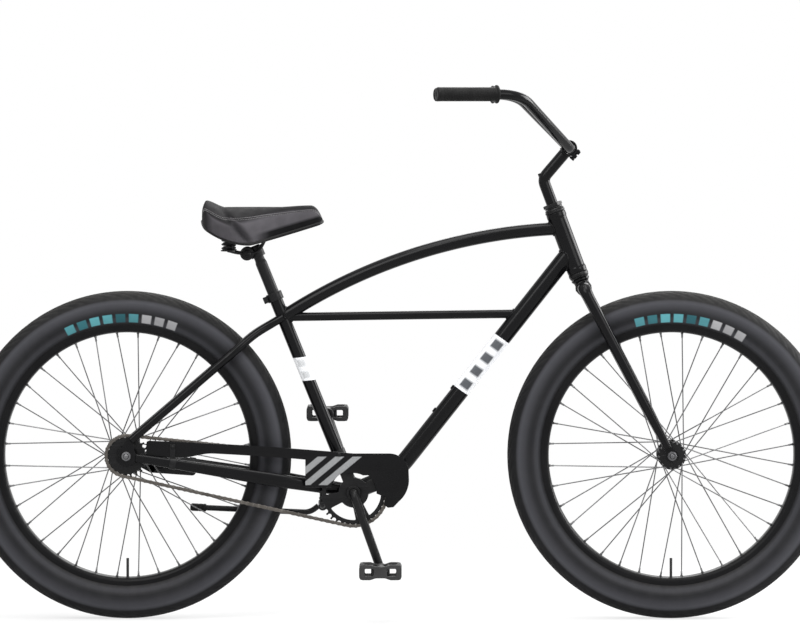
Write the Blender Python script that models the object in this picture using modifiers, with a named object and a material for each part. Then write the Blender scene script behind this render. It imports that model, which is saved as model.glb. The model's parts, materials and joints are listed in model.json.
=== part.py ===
"""Cruiser bicycle with fat tyres, one gear and a coaster brake.

Metres. +X is forward, +Y is the rider's left, +Z is up. The origin is on the ground, midway
between the two wheels. The bicycle stands upright with its kickstand folded.
"""

from math import asin, atan2, ceil, cos, degrees, pi, radians, sin, sqrt

import bmesh
import bpy
import numpy as np
from mathutils import Matrix, Vector

# Clearances
GAP = 0.0003
RUNNING_GAP = 0.0005

# Facets
TUBE_SIDES = 10
TURNED_SIDES = 12
SMALL_SIDES = 8

# Wheels
WHEELBASE = 1.188
WHEEL_SIDES = 32
TYRE_WIDTH = 0.086
TYRE_HEIGHT = 0.0785
TREAD_WIDTH = 0.028
TYRE_WALL = 0.0055
TYRE_SHOULDER = 0.0125
BEAD_RADIUS = 0.2795
RIM_FLANGE = 0.006
RIM_DEPTH = 0.013
RIM_WIDTH = 0.052
RIM_WALL = 0.003
VALVE_RADIUS = 0.003
VALVE_LENGTH = 0.040

# Spokes and hubs
SPOKE_COUNT = 36
SPOKE_RADIUS = 0.001
SPOKE_CROSSINGS = 3
AXLE_RADIUS = 0.00475
AXLE_OVERHANG = 0.017
HUB_BORE = AXLE_RADIUS + RUNNING_GAP
FRONT_HUB_WIDTH = 0.120
FRONT_FLANGE_RADIUS = 0.031
FRONT_FLANGE_SPACING = 0.076
FRONT_BARREL_RADIUS = 0.014
REAR_HUB_WIDTH = 0.135
REAR_FLANGE_RADIUS = 0.033
REAR_FLANGE_RIGHT = 0.030
REAR_FLANGE_LEFT = 0.033
REAR_BARREL_RADIUS = 0.024
FLANGE_THICKNESS = 0.0034
LOCKNUT_RADIUS = 0.009
AXLE_NUT_ACROSS = 0.017
AXLE_NUT_HEIGHT = 0.010
DROPOUT_THICKNESS = 0.005
DRIVER_RADIUS = 0.0165
REAR_HUB_RIGHT = 0.046
REAR_HUB_LEFT = 0.055
FRONT_HUB_END = 0.047
RIM_HOLE_OFFSET = 0.006

# Drive
CHAIN_PITCH = 0.0127
CHAIN_LINKS = 108
CHAINRING_TEETH = 36
SPROCKET_TEETH = 22
TOOTH_THICKNESS = 0.0028
TOOTH_HEIGHT = 0.0034
CHAINLINE = 0.054
ROLLER_RADIUS = 0.0042
PLATE_THICKNESS = 0.0011
PLATE_HEIGHT = 0.0084
PLATE_WAIST = 0.0064
BB_DROP = 0.080
BB_SHELL_WIDTH = 0.073
BB_SHELL_RADIUS = 0.0285
BB_SHELL_WALL = 0.0026
CRANK_LENGTH = 0.175
CRANK_ANGLE = radians(-70.4)
CRANK_ROD_RADIUS = 0.0095
CRANK_ARM_OFFSET = 0.078
CRANK_EYE_RADIUS = 0.0135
CRANK_EYE_HALF = 0.010
SPINDLE_RADIUS = 0.006
PEDAL_LENGTH = 0.092
PEDAL_WIDTH = 0.096
PEDAL_HEIGHT = 0.033
PEDAL_BARREL_RADIUS = 0.012
ROLLER_HALF = 0.0036
DRIVE_PIN_OFFSET = 0.024
DRIVE_PIN_RADIUS = 0.004

# Frame
SEAT_ANGLE = radians(22.05)
SEAT_TUBE_LENGTH = 0.468
SEAT_TUBE_RADIUS = 0.0143
SEATPOST_RADIUS = 0.0127
CLUSTER_BELOW_TOP = 0.057
HEAD_ANGLE = radians(20.5)
FORK_OFFSET = 0.052
HEAD_TUBE_FOOT = 0.4443
HEAD_TUBE_LENGTH = 0.140
HEAD_TUBE_RADIUS = 0.0205
HEAD_TUBE_WALL = 0.0033
TOP_TUBE_RADIUS = 0.0143
TOP_TUBE_BELOW_TOP = 0.037
TOP_TUBE_ARC_RADIUS = 1.190
MID_TUBE_RADIUS = 0.0095
DOWN_TUBE_RADIUS = 0.01905
DOWN_TUBE_FOOT_RUN = 0.0953
DOWN_TUBE_FOOT_ANGLE = radians(22)
DOWN_TUBE_ABOVE_BOTTOM = 0.048
BOSS_RADIUS = 0.0055
BOSS_HEIGHT = 0.0025
BOSS_SPACING = 0.064
BOSS_DISTANCE = 0.166
STAY_DROPOUT_OFFSET = 0.070
CHAINSTAY_HEIGHT = 0.030
CHAINSTAY_WIDTH = 0.017
SEATSTAY_RADIUS = 0.0092
SEATSTAY_ANGLE = radians(40.6)
STAY_FRONT = 0.016
STAY_BESIDE_TYRE = 0.185
STAY_ROOT_OFFSET = 0.026
SEATSTAY_LEAD = 0.0196
SEATSTAY_START = 0.030
SEATSTAY_KNEE_RUN = 0.3842
SEATSTAY_SPREAD_LENGTH = 0.088
SEATSTAY_TOP_OFFSET = 0.0105
SEATSTAY_CAP = 0.007
REAR_DROPOUT_EYE = 0.022
DOWN_TUBE_BEND = 0.045
MID_TUBE_ANGLE = radians(0.8)
HEAD_TUBE_FLARE = 0.0015
BRAKE_ARM_THICKNESS = 0.0025

# Fork and headset
STEERER_RADIUS = 0.0143
QUILL_RADIUS = 0.0127
BLADE_RADIUS = 0.0115
BLADE_OFFSET = 0.0625
BLADE_TAPER_LENGTH = 0.10
CROWN_BELOW_HEAD_TUBE = 0.0363
CROWN_RADIUS = 0.0155
CROWN_HALF_WIDTH = 0.027
HEADSET_RADIUS = 0.022
LOWER_STACK = 0.0135
UPPER_STACK = 0.0105
LOCKNUT_HEIGHT = 0.0105
FRONT_DROPOUT_EYE = 0.015

# Stem, handlebar and grips
STEM_RISE = 0.0577
QUILL_INSERTION = 0.085
STEM_REACH = 0.088
STEM_ANGLE = radians(49.5)
CLAMP_RADIUS = 0.0175
CLAMP_WIDTH = 0.046
BAR_RADIUS = 0.0111
BAR_SHIM_RADIUS = 0.0127
BAR_RISE = 0.117
BAR_PULLBACK = 0.111
BAR_BEND_WIDTH = 0.540
BAR_GRIP_WIDENING = 0.060
BAR_GRIP_SWEEP = radians(18.7)
GRIP_LENGTH = 0.135
GRIP_RADIUS = 0.0155
BAR_BEND = 0.048
BOLT_SEAT = 0.006
BOLT_RADIUS = 0.003
BOLT_HEAD_RADIUS = 0.007

# Saddle and post
POST_ABOVE_TUBE = 0.111
POST_INSERTION = 0.150
SADDLE_LENGTH = 0.264
SADDLE_WIDTH = 0.214
SADDLE_NOSE_WIDTH = 0.052
SADDLE_TOP_RISE = 0.0953
SADDLE_LIP = 0.015
SADDLE_BASE_THICKNESS = 0.005
RAIL_RADIUS = 0.0035
RAIL_NOSE_RUN = 0.030
RAIL_NOSE_GAP = 0.0021
RAIL_STRAIGHT = 0.062
RAIL_SPREAD = 0.048
SPRING_RADIUS = 0.0125
SPRING_WIRE_RADIUS = 0.0021
SPRING_CURLS = 4
SPRING_SPREAD = 0.112
POST_NECK_RADIUS = 0.011
CLAMP_BELOW_TOP = 0.014
CLAMP_BEHIND_POST = 0.0205
CLAMP_DROP = 0.004
CLAMP_BARREL_RADIUS = 0.011
CLAMP_BOLT_RADIUS = 0.004
CLAMP_BARREL_WIDTH = 0.029
CHEEK_RADIUS = 0.015
SADDLE_SKIRT_RISE = 0.0223
SKIRT_NOSE_RISE = 0.046
SKIRT_TAIL_RISE = 0.040
NOSE_DROP = 0.030
NOSE_RISE = 0.004
TAIL_DROP = 0.012
CROWN_DROP = 0.018
SADDLE_HOLLOW = 0.022
TAIL_BEHIND_CLAMP = 0.0983
SPRING_SHARE = 0.22
SPRING_SEAT_RADIUS = 0.0155
EYELET_RISE = 0.0088
EYELET_RADIUS = 0.016
RAIL_RISE = 0.0008
SPRING_STEPS = 8
EYELET_THICKNESS = 0.003
RAIL_NOSE_SHARE = 0.78

# Kickstand
KICKSTAND_BEHIND = 0.0684
KICKSTAND_BELOW = 0.028
KICKSTAND_OFFSET = 0.0535
KICKSTAND_LENGTH = 0.286
KICKSTAND_RADIUS = 0.0062
KICKSTAND_LEAN = radians(32)
KICKSTAND_FOOT_RADIUS = 0.0085
HINGE_PIN_RADIUS = 0.0035
HINGE_EYE_RADIUS = 0.0095
HINGE_EYE_HALF = 0.004

# Chain guard
GUARD_THICKNESS = 0.002
GUARD_INNER_RADIUS = 0.070
GUARD_LENGTH = 0.440
GUARD_REAR_HEIGHT = 0.1135
GUARD_FRONT_HEIGHT = 0.086
GUARD_BOW = 0.003
GUARD_FRONT_REACH = 0.1207
GUARD_CORNER = 0.043
GUARD_BAR = 0.022
GUARD_WING_FOOT = 0.012
GUARD_CLEARANCE = 0.0085
GUARD_CLIP_HEIGHT = 0.0895
GUARD_BAND_HEIGHT = 0.014
GUARD_STRAP_FROM_TAIL = 0.0414
GUARD_FRONT_CURL = 0.0616

# Places worked out from the sizes above
WHEEL_RADIUS = BEAD_RADIUS + TYRE_HEIGHT
CROWN_HEIGHT = HEAD_TUBE_FOOT - CROWN_BELOW_HEAD_TUBE
REAR_AXLE = Vector((-WHEELBASE / 2, 0, WHEEL_RADIUS))
FRONT_AXLE = Vector((WHEELBASE / 2, 0, WHEEL_RADIUS))
ROUNDNESS = 1 / cos(pi / WHEEL_SIDES)
RIM_RADIUS = BEAD_RADIUS + RIM_FLANGE
RIM_INNER_RADIUS = BEAD_RADIUS - RIM_DEPTH
STEERING_DOWN = Vector((sin(HEAD_ANGLE), 0, -cos(HEAD_ANGLE)))
STEERING_FOOT = FRONT_AXLE - FORK_OFFSET * Vector((cos(HEAD_ANGLE), 0, sin(HEAD_ANGLE)))
Y_AXIS = Vector((0, 1, 0))
Z_AXIS = Vector((0, 0, 1))


def chain_geometry(centre_distance):
    """Half spread angle, straight run in pitches and links in the whole loop."""
    half_spread = asin((CHAINRING_RADIUS - SPROCKET_RADIUS) / centre_distance)
    run = centre_distance * cos(half_spread) / CHAIN_PITCH
    ring_arc = CHAINRING_TEETH * (pi + 2 * half_spread) / (2 * pi)
    sprocket_arc = SPROCKET_TEETH * (pi - 2 * half_spread) / (2 * pi)
    return half_spread, run, ring_arc, sprocket_arc


def centre_distance():
    """The distance between the axles at which the loop has a whole number of links."""
    distance = 0.5
    for _ in range(20):
        _, run, ring_arc, sprocket_arc = chain_geometry(distance)
        links = 2 * run + ring_arc + sprocket_arc
        distance += (CHAIN_LINKS - links) * CHAIN_PITCH / 2
    return distance


CHAINRING_RADIUS = CHAIN_PITCH / (2 * sin(pi / CHAINRING_TEETH))
SPROCKET_RADIUS = CHAIN_PITCH / (2 * sin(pi / SPROCKET_TEETH))
CENTRE_DISTANCE = centre_distance()
BB = REAR_AXLE + Vector((sqrt(CENTRE_DISTANCE**2 - BB_DROP**2), 0, -BB_DROP))
SEAT_UP = Vector((-sin(SEAT_ANGLE), 0, cos(SEAT_ANGLE)))
SEAT_CLUSTER = BB + (SEAT_TUBE_LENGTH - CLUSTER_BELOW_TOP) * SEAT_UP
POST_TOP = SEAT_TUBE_LENGTH + POST_ABOVE_TUBE
KICKSTAND_PIVOT = BB + Vector((-KICKSTAND_BEHIND, KICKSTAND_OFFSET, -KICKSTAND_BELOW))


def on_steering(height):
    """The point of the steering axis this far up from the foot of the axis."""
    return STEERING_FOOT - height * STEERING_DOWN


def remove_everything():
    for item in list(bpy.data.objects):
        bpy.data.objects.remove(item, do_unlink=True)


remove_everything()
scene = bpy.context.scene
parts = bpy.data.collections.new("fat_tire_bike")
cutters = bpy.data.collections.new("cutters")
scene.collection.children.link(parts)
scene.collection.children.link(cutters)


def finish(name, colour, roughness, metallic=0.0):
    """A material with one plain Principled shader."""
    material = bpy.data.materials.new(name)
    material.use_nodes = True
    shader = material.node_tree.nodes["Principled BSDF"]
    shader.inputs["Base Color"].default_value = (*colour, 1)
    shader.inputs["Roughness"].default_value = roughness
    shader.inputs["Metallic"].default_value = metallic
    material.diffuse_color = (*colour, 1)
    return material


def black_paint(name):
    return finish(name, (0.012, 0.012, 0.013), 0.3)


def black_steel(name):
    return finish(name, (0.02, 0.02, 0.021), 0.4, 0.6)


def bright_steel(name):
    return finish(name, (0.6, 0.6, 0.61), 0.3, 1.0)


def black_rubber(name):
    return finish(name, (0.02, 0.02, 0.021), 0.8)


def piece(name, mesh, look):
    """An object of the bicycle, with a material of its own."""
    item = bpy.data.objects.new(name, mesh)
    parts.objects.link(item)
    mesh.name = name
    mesh.materials.clear()
    mesh.materials.append(look(name))
    return item


def tool(name, mesh):
    """A cutter or a guide, which is hidden in the render."""
    item = bpy.data.objects.new(name, mesh)
    cutters.objects.link(item)
    item.hide_render = True
    item.display_type = "WIRE"
    return item


def cut(item, *tools):
    for knife in tools:
        modifier = item.modifiers.new("cut " + knife.name, "BOOLEAN")
        modifier.operation = "DIFFERENCE"
        modifier.solver = "EXACT"
        modifier.object = knife


def join(item, *tools):
    for extra in tools:
        modifier = item.modifiers.new("join " + extra.name, "BOOLEAN")
        modifier.operation = "UNION"
        modifier.solver = "EXACT"
        modifier.object = extra


def mesh_of(bm, name):
    bmesh.ops.recalc_face_normals(bm, faces=bm.faces)
    mesh = bpy.data.meshes.new(name)
    bm.to_mesh(mesh)
    bm.free()
    mesh.shade_smooth()
    mesh.set_sharp_from_angle(angle=radians(35))
    return mesh


def frame_along(start, end):
    """A matrix at start whose Z axis points at end."""
    turn = Z_AXIS.rotation_difference(end - start).to_matrix().to_4x4()
    return Matrix.Translation(start) @ turn


def rod_mesh(start, end, radius, sides=12, end_radius=None):
    """A straight round bar from start to end."""
    length = (end - start).length
    bm = bmesh.new()
    bmesh.ops.create_cone(
        bm,
        cap_ends=True,
        segments=sides,
        radius1=radius,
        radius2=radius if end_radius is None else end_radius,
        depth=length,
        matrix=frame_along(start, end) @ Matrix.Translation((0, 0, length / 2)),
    )
    return mesh_of(bm, "rod")


def around(radius, sides):
    """The corner radius of a polygon whose flats touch a circle of this radius."""
    return radius / cos(pi / sides)


def bore_mesh(start, end, radius, sides=12):
    """A straight cutter whose flats clear a round bar of this radius."""
    return rod_mesh(start, end, around(radius, sides), sides)


def round_hole(x, y, radius, sides):
    """A flat hole whose flats clear a circle of this radius."""
    return arc((x, y), around(radius, sides), 0, 360 - 360 / sides, sides)


def box_mesh(size, place):
    """A box of this size, whose middle is the origin of the matrix place."""
    bm = bmesh.new()
    bmesh.ops.create_cube(bm, size=1, matrix=place @ Matrix.Diagonal((*size, 1)))
    return mesh_of(bm, "box")


def loft_mesh(rings, closed=False):
    """A skin over rings of points, all with the same count, capped unless it closes on itself."""
    bm = bmesh.new()
    made = [[bm.verts.new(point) for point in ring] for ring in rings]
    pairs = list(zip(made, made[1:]))
    if closed:
        pairs.append((made[-1], made[0]))
    for first, second in pairs:
        for i in range(len(first)):
            k = (i + 1) % len(first)
            bm.faces.new((first[i], first[k], second[k], second[i]))
    if not closed:
        bm.faces.new(made[0])
        bm.faces.new(list(reversed(made[-1])))
    return mesh_of(bm, "loft")


def turned_mesh(profile, sides, start, towards, half_turn=False):
    """A ring turned round the line from start to towards.

    The profile is a closed loop of (radius, height) points, down its outer side first. Its facets
    can be turned by half a step, so that one of them faces straight down.
    """
    mesh = bpy.data.meshes.new("profile")
    count = len(profile)
    mesh.from_pydata(
        [(radius, 0, height) for radius, height in profile],
        [(i, (i + 1) % count) for i in range(count)],
        [],
    )
    return turned(mesh, sides, frame_along(start, towards), half_turn)


def turned(mesh, sides, place, half_turn=False):
    lathe = bpy.data.objects.new("lathe", mesh)
    cutters.objects.link(lathe)
    screw = lathe.modifiers.new("turn", "SCREW")
    screw.axis = "Z"
    screw.steps = sides
    screw.render_steps = sides
    screw.use_merge_vertices = True
    screw.merge_threshold = 0.00001
    bpy.context.view_layer.update()
    made = bpy.data.meshes.new_from_object(lathe.evaluated_get(bpy.context.evaluated_depsgraph_get()))
    bpy.data.objects.remove(lathe)
    if half_turn:
        made.transform(Matrix.Rotation(pi / sides, 4, "Z"))
    made.transform(place)
    made.shade_smooth()
    made.set_sharp_from_angle(angle=radians(35))
    return made


def curve_mesh(curve):
    """The solid of a curve, with its caps welded on."""
    item = bpy.data.objects.new("curve", curve)
    cutters.objects.link(item)
    bpy.context.view_layer.update()
    mesh = bpy.data.meshes.new_from_object(item.evaluated_get(bpy.context.evaluated_depsgraph_get()))
    bpy.data.objects.remove(item)
    bm = bmesh.new()
    bm.from_mesh(mesh)
    bmesh.ops.remove_doubles(bm, verts=bm.verts, dist=0.00001)
    return mesh_of(bm, "tube")


def tube_mesh(points, radius, sides=10, radii=None):
    """A round tube along the points, with filled ends."""
    curve = bpy.data.curves.new("tube", "CURVE")
    curve.dimensions = "3D"
    curve.bevel_depth = radius
    curve.bevel_resolution = (sides - 4) // 2
    curve.use_fill_caps = True
    spline = curve.splines.new("POLY")
    spline.points.add(len(points) - 1)
    for i, (place, point) in enumerate(zip(spline.points, points)):
        place.co = (*point, 1)
        place.radius = 1 if radii is None else radii[i] / radius
    return curve_mesh(curve)


def plate_mesh(outline, thickness, place, holes=()):
    """A flat outline, with holes, as a plate whose middle plane is the XY plane of place."""
    curve = bpy.data.curves.new("plate", "CURVE")
    curve.dimensions = "2D"
    curve.fill_mode = "BOTH"
    curve.extrude = thickness / 2
    for loop in (outline, *holes):
        spline = curve.splines.new("POLY")
        spline.points.add(len(loop) - 1)
        spline.use_cyclic_u = True
        for point, (x, y) in zip(spline.points, loop):
            point.co = (x, y, 0, 1)
    mesh = curve_mesh(curve)
    mesh.transform(place)
    return mesh


def side_plane(y, centre=Vector((0, 0, 0))):
    """A matrix whose XY plane is the bicycle's side view at this y, with Y as world up."""
    columns = Matrix(((1, 0, 0, centre.x), (0, 0, -1, y), (0, 1, 0, centre.z), (0, 0, 0, 1)))
    return columns


def arc(centre, radius, start, end, count):
    """Points of a flat arc from one angle to another, in degrees."""
    angles = np.radians(np.linspace(start, end, count))
    return [(centre[0] + radius * cos(a), centre[1] + radius * sin(a)) for a in angles]


def rounded_path(points, bend, count=4):
    """The points with each inner corner replaced by a curve that starts one bend before it."""
    path = [points[0]]
    for before, corner, after in zip(points, points[1:], points[2:]):
        start = corner + bend * (before - corner).normalized()
        end = corner + bend * (after - corner).normalized()
        for t in np.linspace(0, 1, count):
            path.append((1 - t) ** 2 * start + 2 * t * (1 - t) * corner + t**2 * end)
    path.append(points[-1])
    return path


def oval_rings(path, heights, widths, sides):
    """Oval sections square to a path, each with its height in the side view and its width."""
    rings = []
    for i, point in enumerate(path):
        before = path[max(i - 1, 0)]
        after = path[min(i + 1, len(path) - 1)]
        along = (after - before).normalized()
        across = (Y_AXIS - Y_AXIS.dot(along) * along).normalized()
        up = along.cross(across)
        ring = []
        for k in range(sides):
            turn = 2 * pi * (k + 0.5) / sides
            ring.append(point + across * widths[i] / 2 * cos(turn) + up * heights[i] / 2 * sin(turn))
        rings.append(ring)
    return rings


def group(name, place):
    """An empty on a joint's axis, which carries the pieces that move with it."""
    empty = bpy.data.objects.new(name, None)
    empty.location = place
    empty.empty_display_size = 0.05
    parts.objects.link(empty)
    return empty


def carry(parent, *items):
    for item in items:
        item.parent = parent
        item.matrix_parent_inverse = Matrix.Translation(-parent.location)


def mirrored(point, side):
    return Vector((point[0], side * point[1], point[2]))


SIDES = (("left", 1), ("right", -1))


def ring_profile(outer, inner):
    """A closed profile from its half above the middle plane: down the outer side, up the inner.

    Both halves are given from the edge: outer from the edge to the crown, inner from the crown
    back to the edge.
    """
    below_outer = [(radius, -y) for radius, y in reversed(outer)]
    below_inner = [(radius, -y) for radius, y in reversed(inner)]
    return outer + below_outer + below_inner + inner


def make_tyre(name, axle):
    """A slick carcass with a flat crown, open towards the rim."""
    half = TYRE_WIDTH / 2
    bead = RIM_WIDTH / 2 - RIM_WALL - GAP
    widest = (WHEEL_RADIUS + RIM_RADIUS) / 2
    outer = [
        (BEAD_RADIUS + GAP, bead),
        (RIM_RADIUS + 2 * GAP, RIM_WIDTH / 2 + GAP),
        (widest, half),
        (WHEEL_RADIUS - TYRE_SHOULDER, half * 0.8),
        (WHEEL_RADIUS, TREAD_WIDTH / 2),
    ]
    inner = [
        (WHEEL_RADIUS - TYRE_WALL, TREAD_WIDTH / 2 - 0.002),
        (widest, half - TYRE_WALL),
        (BEAD_RADIUS + GAP, bead - TYRE_WALL),
    ]
    profile = [(radius * ROUNDNESS, y) for radius, y in ring_profile(outer, inner)]
    mesh = turned_mesh(profile, WHEEL_SIDES, axle, axle + Y_AXIS, half_turn=True)
    return piece(name, mesh, black_rubber)


def make_rim(name, axle):
    half = RIM_WIDTH / 2
    well = half - RIM_WALL
    floor = RIM_WIDTH / 3
    shoulder = BEAD_RADIUS - RIM_DEPTH / 2
    profile = [
        (RIM_RADIUS, half),
        (BEAD_RADIUS, well),
        (BEAD_RADIUS, -well),
        (RIM_RADIUS, -half),
        (shoulder, -half),
        (RIM_INNER_RADIUS, -floor),
        (RIM_INNER_RADIUS, floor),
        (shoulder, half),
    ]
    profile = [(radius * ROUNDNESS, y) for radius, y in profile]
    mesh = turned_mesh(profile, WHEEL_SIDES, axle, axle + Y_AXIS, half_turn=True)
    rim = piece(name, mesh, black_paint)
    drill = bore_mesh(
        axle - Z_AXIS * (RIM_INNER_RADIUS - RIM_DEPTH),
        axle - Z_AXIS * (RIM_RADIUS + RIM_FLANGE),
        VALVE_RADIUS + GAP,
        8,
    )
    cut(rim, tool(name + "_valve_hole", drill))
    return rim


def make_inner_tube(name, axle):
    """The air tube, laid against the rim and the tyre's crown, with its valve at the bottom."""
    steps = WHEEL_SIDES // 2
    roundness = 1 / cos(pi / steps)
    low = (BEAD_RADIUS + 2 * GAP) * ROUNDNESS * roundness
    high = WHEEL_RADIUS - TYRE_WALL - 2 * GAP
    middle = (low + high) / 2
    half = TYRE_WIDTH / 2 - TYRE_WALL - 0.008
    throat = RIM_WIDTH / 2 - RIM_WALL - TYRE_WALL - 3 * GAP
    profile = [
        (high, TREAD_WIDTH / 2 - 0.005),
        (high, -TREAD_WIDTH / 2 + 0.005),
        (middle, -half),
        (low, -throat),
        (low, throat),
        (middle, half),
    ]
    mesh = turned_mesh(profile, steps, axle, axle + Y_AXIS, half_turn=True)
    tube = piece(name, mesh, black_rubber)
    stem = rod_mesh(
        axle - Z_AXIS * (RIM_INNER_RADIUS - VALVE_LENGTH),
        axle - Z_AXIS * (low + 0.01),
        VALVE_RADIUS,
        8,
    )
    join(tube, tool(name + "_valve", stem))
    return tube


def spoke_ends(axle, flange_y, flange_radius, first_hole):
    """Hub and rim ends of one flange's spokes, half of them led forwards and half trailing."""
    per_flange = SPOKE_COUNT // 2
    step = 2 * pi / per_flange
    hole_radius = flange_radius - 0.003
    side = 1 if flange_y > 0 else -1
    for i in range(per_flange):
        lead = 1 if i % 2 else -1
        hole = first_hole + i * step
        target = hole + lead * SPOKE_CROSSINGS * step
        y = flange_y + lead * FLANGE_THICKNESS * 0.45
        start = axle + Vector((hole_radius * cos(hole), y, hole_radius * sin(hole)))
        end_radius = RIM_INNER_RADIUS - GAP
        end_y = side * RIM_HOLE_OFFSET + lead * FLANGE_THICKNESS * 0.45
        yield start, axle + Vector((end_radius * cos(target), end_y, end_radius * sin(target)))


def spoke_mesh(axle, flanges, flange_radius):
    """All the spokes of a wheel as three-sided wires."""
    bm = bmesh.new()
    half_step = pi / SPOKE_COUNT
    for n, flange_y in enumerate(flanges):
        first_hole = half_step + n * 2 * half_step
        for start, end in spoke_ends(axle, flange_y, flange_radius, first_hole):
            length = (end - start).length
            bmesh.ops.create_cone(
                bm,
                cap_ends=True,
                segments=3,
                radius1=SPOKE_RADIUS * 1.25,
                radius2=SPOKE_RADIUS * 1.25,
                depth=length,
                matrix=frame_along(start, end) @ Matrix.Translation((0, 0, length / 2)),
            )
    return mesh_of(bm, "spokes")


def make_hub(name, axle, ends, flanges, flange_radius, barrel, collar):
    """A hub shell with two flanges, and the spokes that it carries."""
    right, left = ends
    half = FLANGE_THICKNESS / 2
    low, high = flanges
    profile = [
        (collar, left),
        (collar, high + half),
        (flange_radius, high + half),
        (flange_radius, high - half),
        (barrel, high - half - 0.006),
        (barrel, low + half + 0.006),
        (flange_radius, low + half),
        (flange_radius, low - half),
        (collar, low - half),
        (collar, right),
        (HUB_BORE, right),
        (HUB_BORE, left),
    ]
    hub = piece(name, turned_mesh(profile, TURNED_SIDES, axle, axle + Y_AXIS), black_steel)
    join(hub, tool(name + "_spokes", spoke_mesh(axle, flanges, flange_radius)))
    return hub


def make_axle(name, axle, hub_width, cones):
    """A threaded axle with its cones and locknuts, up to the inner faces of the dropouts."""
    half = hub_width / 2 - GAP
    end = hub_width / 2 + DROPOUT_THICKNESS + AXLE_OVERHANG
    right, left = cones
    profile = [
        (AXLE_RADIUS, end),
        (AXLE_RADIUS, half),
        (LOCKNUT_RADIUS, half),
        (LOCKNUT_RADIUS, left),
        (AXLE_RADIUS, left),
        (AXLE_RADIUS, right),
        (LOCKNUT_RADIUS, right),
        (LOCKNUT_RADIUS, -half),
        (AXLE_RADIUS, -half),
        (AXLE_RADIUS, -end),
    ]
    mesh = bpy.data.meshes.new("axle")
    points = [(0, 0, end), *[(radius, 0, y) for radius, y in profile], (0, 0, -end)]
    mesh.from_pydata(points, [(i, i + 1) for i in range(len(points) - 1)], [])
    made = turned(mesh, SMALL_SIDES, frame_along(axle, axle + Y_AXIS))
    return piece(name, made, bright_steel)


def make_axle_nut(name, axle, hub_width, side):
    inner = hub_width / 2 + DROPOUT_THICKNESS + GAP
    start = axle + side * inner * Y_AXIS
    end = start + side * AXLE_NUT_HEIGHT * Y_AXIS
    nut = piece(name, rod_mesh(start, end, AXLE_NUT_ACROSS / sqrt(3), 6), bright_steel)
    drill = bore_mesh(start - side * 0.002 * Y_AXIS, end + side * 0.002 * Y_AXIS, AXLE_RADIUS + GAP, SMALL_SIDES)
    cut(nut, tool(name + "_thread", drill))
    return nut


def chain_point(pitches, half_spread, run, ring_arc, sprocket_arc):
    """Where the chain's path is after this many pitches, and its direction of travel.

    The path starts where it meets the chainring from above, goes round the ring's front, back
    along the lower run, round the sprocket and forward along the upper run.
    """
    tilt = atan2(REAR_AXLE.z - BB.z, REAR_AXLE.x - BB.x)
    ring_start = tilt - pi / 2 + half_spread
    along_ring = 2 * pi / CHAINRING_TEETH
    along_sprocket = 2 * pi / SPROCKET_TEETH
    sprocket_start = ring_start - ring_arc * along_ring
    if pitches < ring_arc:
        angle = ring_start - pitches * along_ring
        return polar(BB, CHAINRING_RADIUS, angle), angle - pi / 2
    pitches -= ring_arc
    if pitches < run:
        place = polar(BB, CHAINRING_RADIUS, sprocket_start)
        direction = sprocket_start - pi / 2
        return polar(place, pitches * CHAIN_PITCH, direction), direction
    pitches -= run
    if pitches < sprocket_arc:
        angle = sprocket_start - pitches * along_sprocket
        return polar(REAR_AXLE, SPROCKET_RADIUS, angle), angle - pi / 2
    pitches -= sprocket_arc
    place = polar(REAR_AXLE, SPROCKET_RADIUS, ring_start)
    direction = ring_start - pi / 2
    return polar(place, pitches * CHAIN_PITCH, direction), direction


def polar(centre, radius, angle):
    return centre + Vector((radius * cos(angle), 0, radius * sin(angle)))


def make_chain():
    """A roller chain: waisted inner links between straight outer ones, joined by rollers."""
    geometry = chain_geometry(CENTRE_DISTANCE)
    inner = TOOTH_THICKNESS / 2 + GAP
    bm = bmesh.new()
    rows = []
    for i in range(0, CHAIN_LINKS, 2):
        for pitches in (i, i + 0.5, i + 1):
            place, direction = chain_point(pitches, *geometry)
            pin = pitches != i + 0.5
            half = PLATE_HEIGHT / 2 if pin else PLATE_WAIST / 2
            outer = inner + PLATE_THICKNESS * (2 if pin else 1)
            rows.append(chain_row(bm, place, direction, half, inner, outer, pin))
    for i, row in enumerate(rows):
        after = rows[(i + 1) % len(rows)]
        for side in (-1, 1):
            strip_faces(bm, row, after, side)
        if (1, "roller") in row:
            roller_faces(bm, row)
    return piece("chain", mesh_of(bm, "chain"), black_steel)


def chain_row(bm, place, direction, half, inner, outer, pin):
    """The corners of both side plates at one place, and at a pin the sides of its roller."""
    along = Vector((cos(direction), 0, sin(direction)))
    across = Vector((-along.z, 0, along.x))
    row = {}
    for side in (-1, 1):
        for depth, y in (("in", inner), ("out", outer)):
            for edge in (-1, 1):
                point = place + edge * half * across + Y_AXIS * (side * y - CHAINLINE)
                row[side, depth, edge] = bm.verts.new(point)
        if pin:
            point = place + ROLLER_HALF * along + Y_AXIS * (side * inner - CHAINLINE)
            row[side, "roller"] = bm.verts.new(point)
    return row


def strip_faces(bm, row, after, side):
    """The skin of one piece of plate: its outer face, both edges and the face towards the rollers."""
    bm.faces.new([row[side, "out", -1], row[side, "out", 1], after[side, "out", 1], after[side, "out", -1]])
    for edge in (-1, 1):
        bm.faces.new(
            [row[side, "in", edge], row[side, "out", edge], after[side, "out", edge], after[side, "in", edge]]
        )
    inner = [row[side, "in", -1]]
    if (side, "roller") in row:
        inner.append(row[side, "roller"])
    inner += [row[side, "in", 1], after[side, "in", 1], after[side, "in", -1]]
    bm.faces.new(inner)


def roller_faces(bm, row):
    """The roller between the plates, as a three-sided bar."""
    corners = [("in", -1), ("roller",), ("in", 1)]
    for first, second in zip(corners, corners[1:] + corners[:1]):
        bm.faces.new([row[-1, *first], row[-1, *second], row[1, *second], row[1, *first]])


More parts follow.
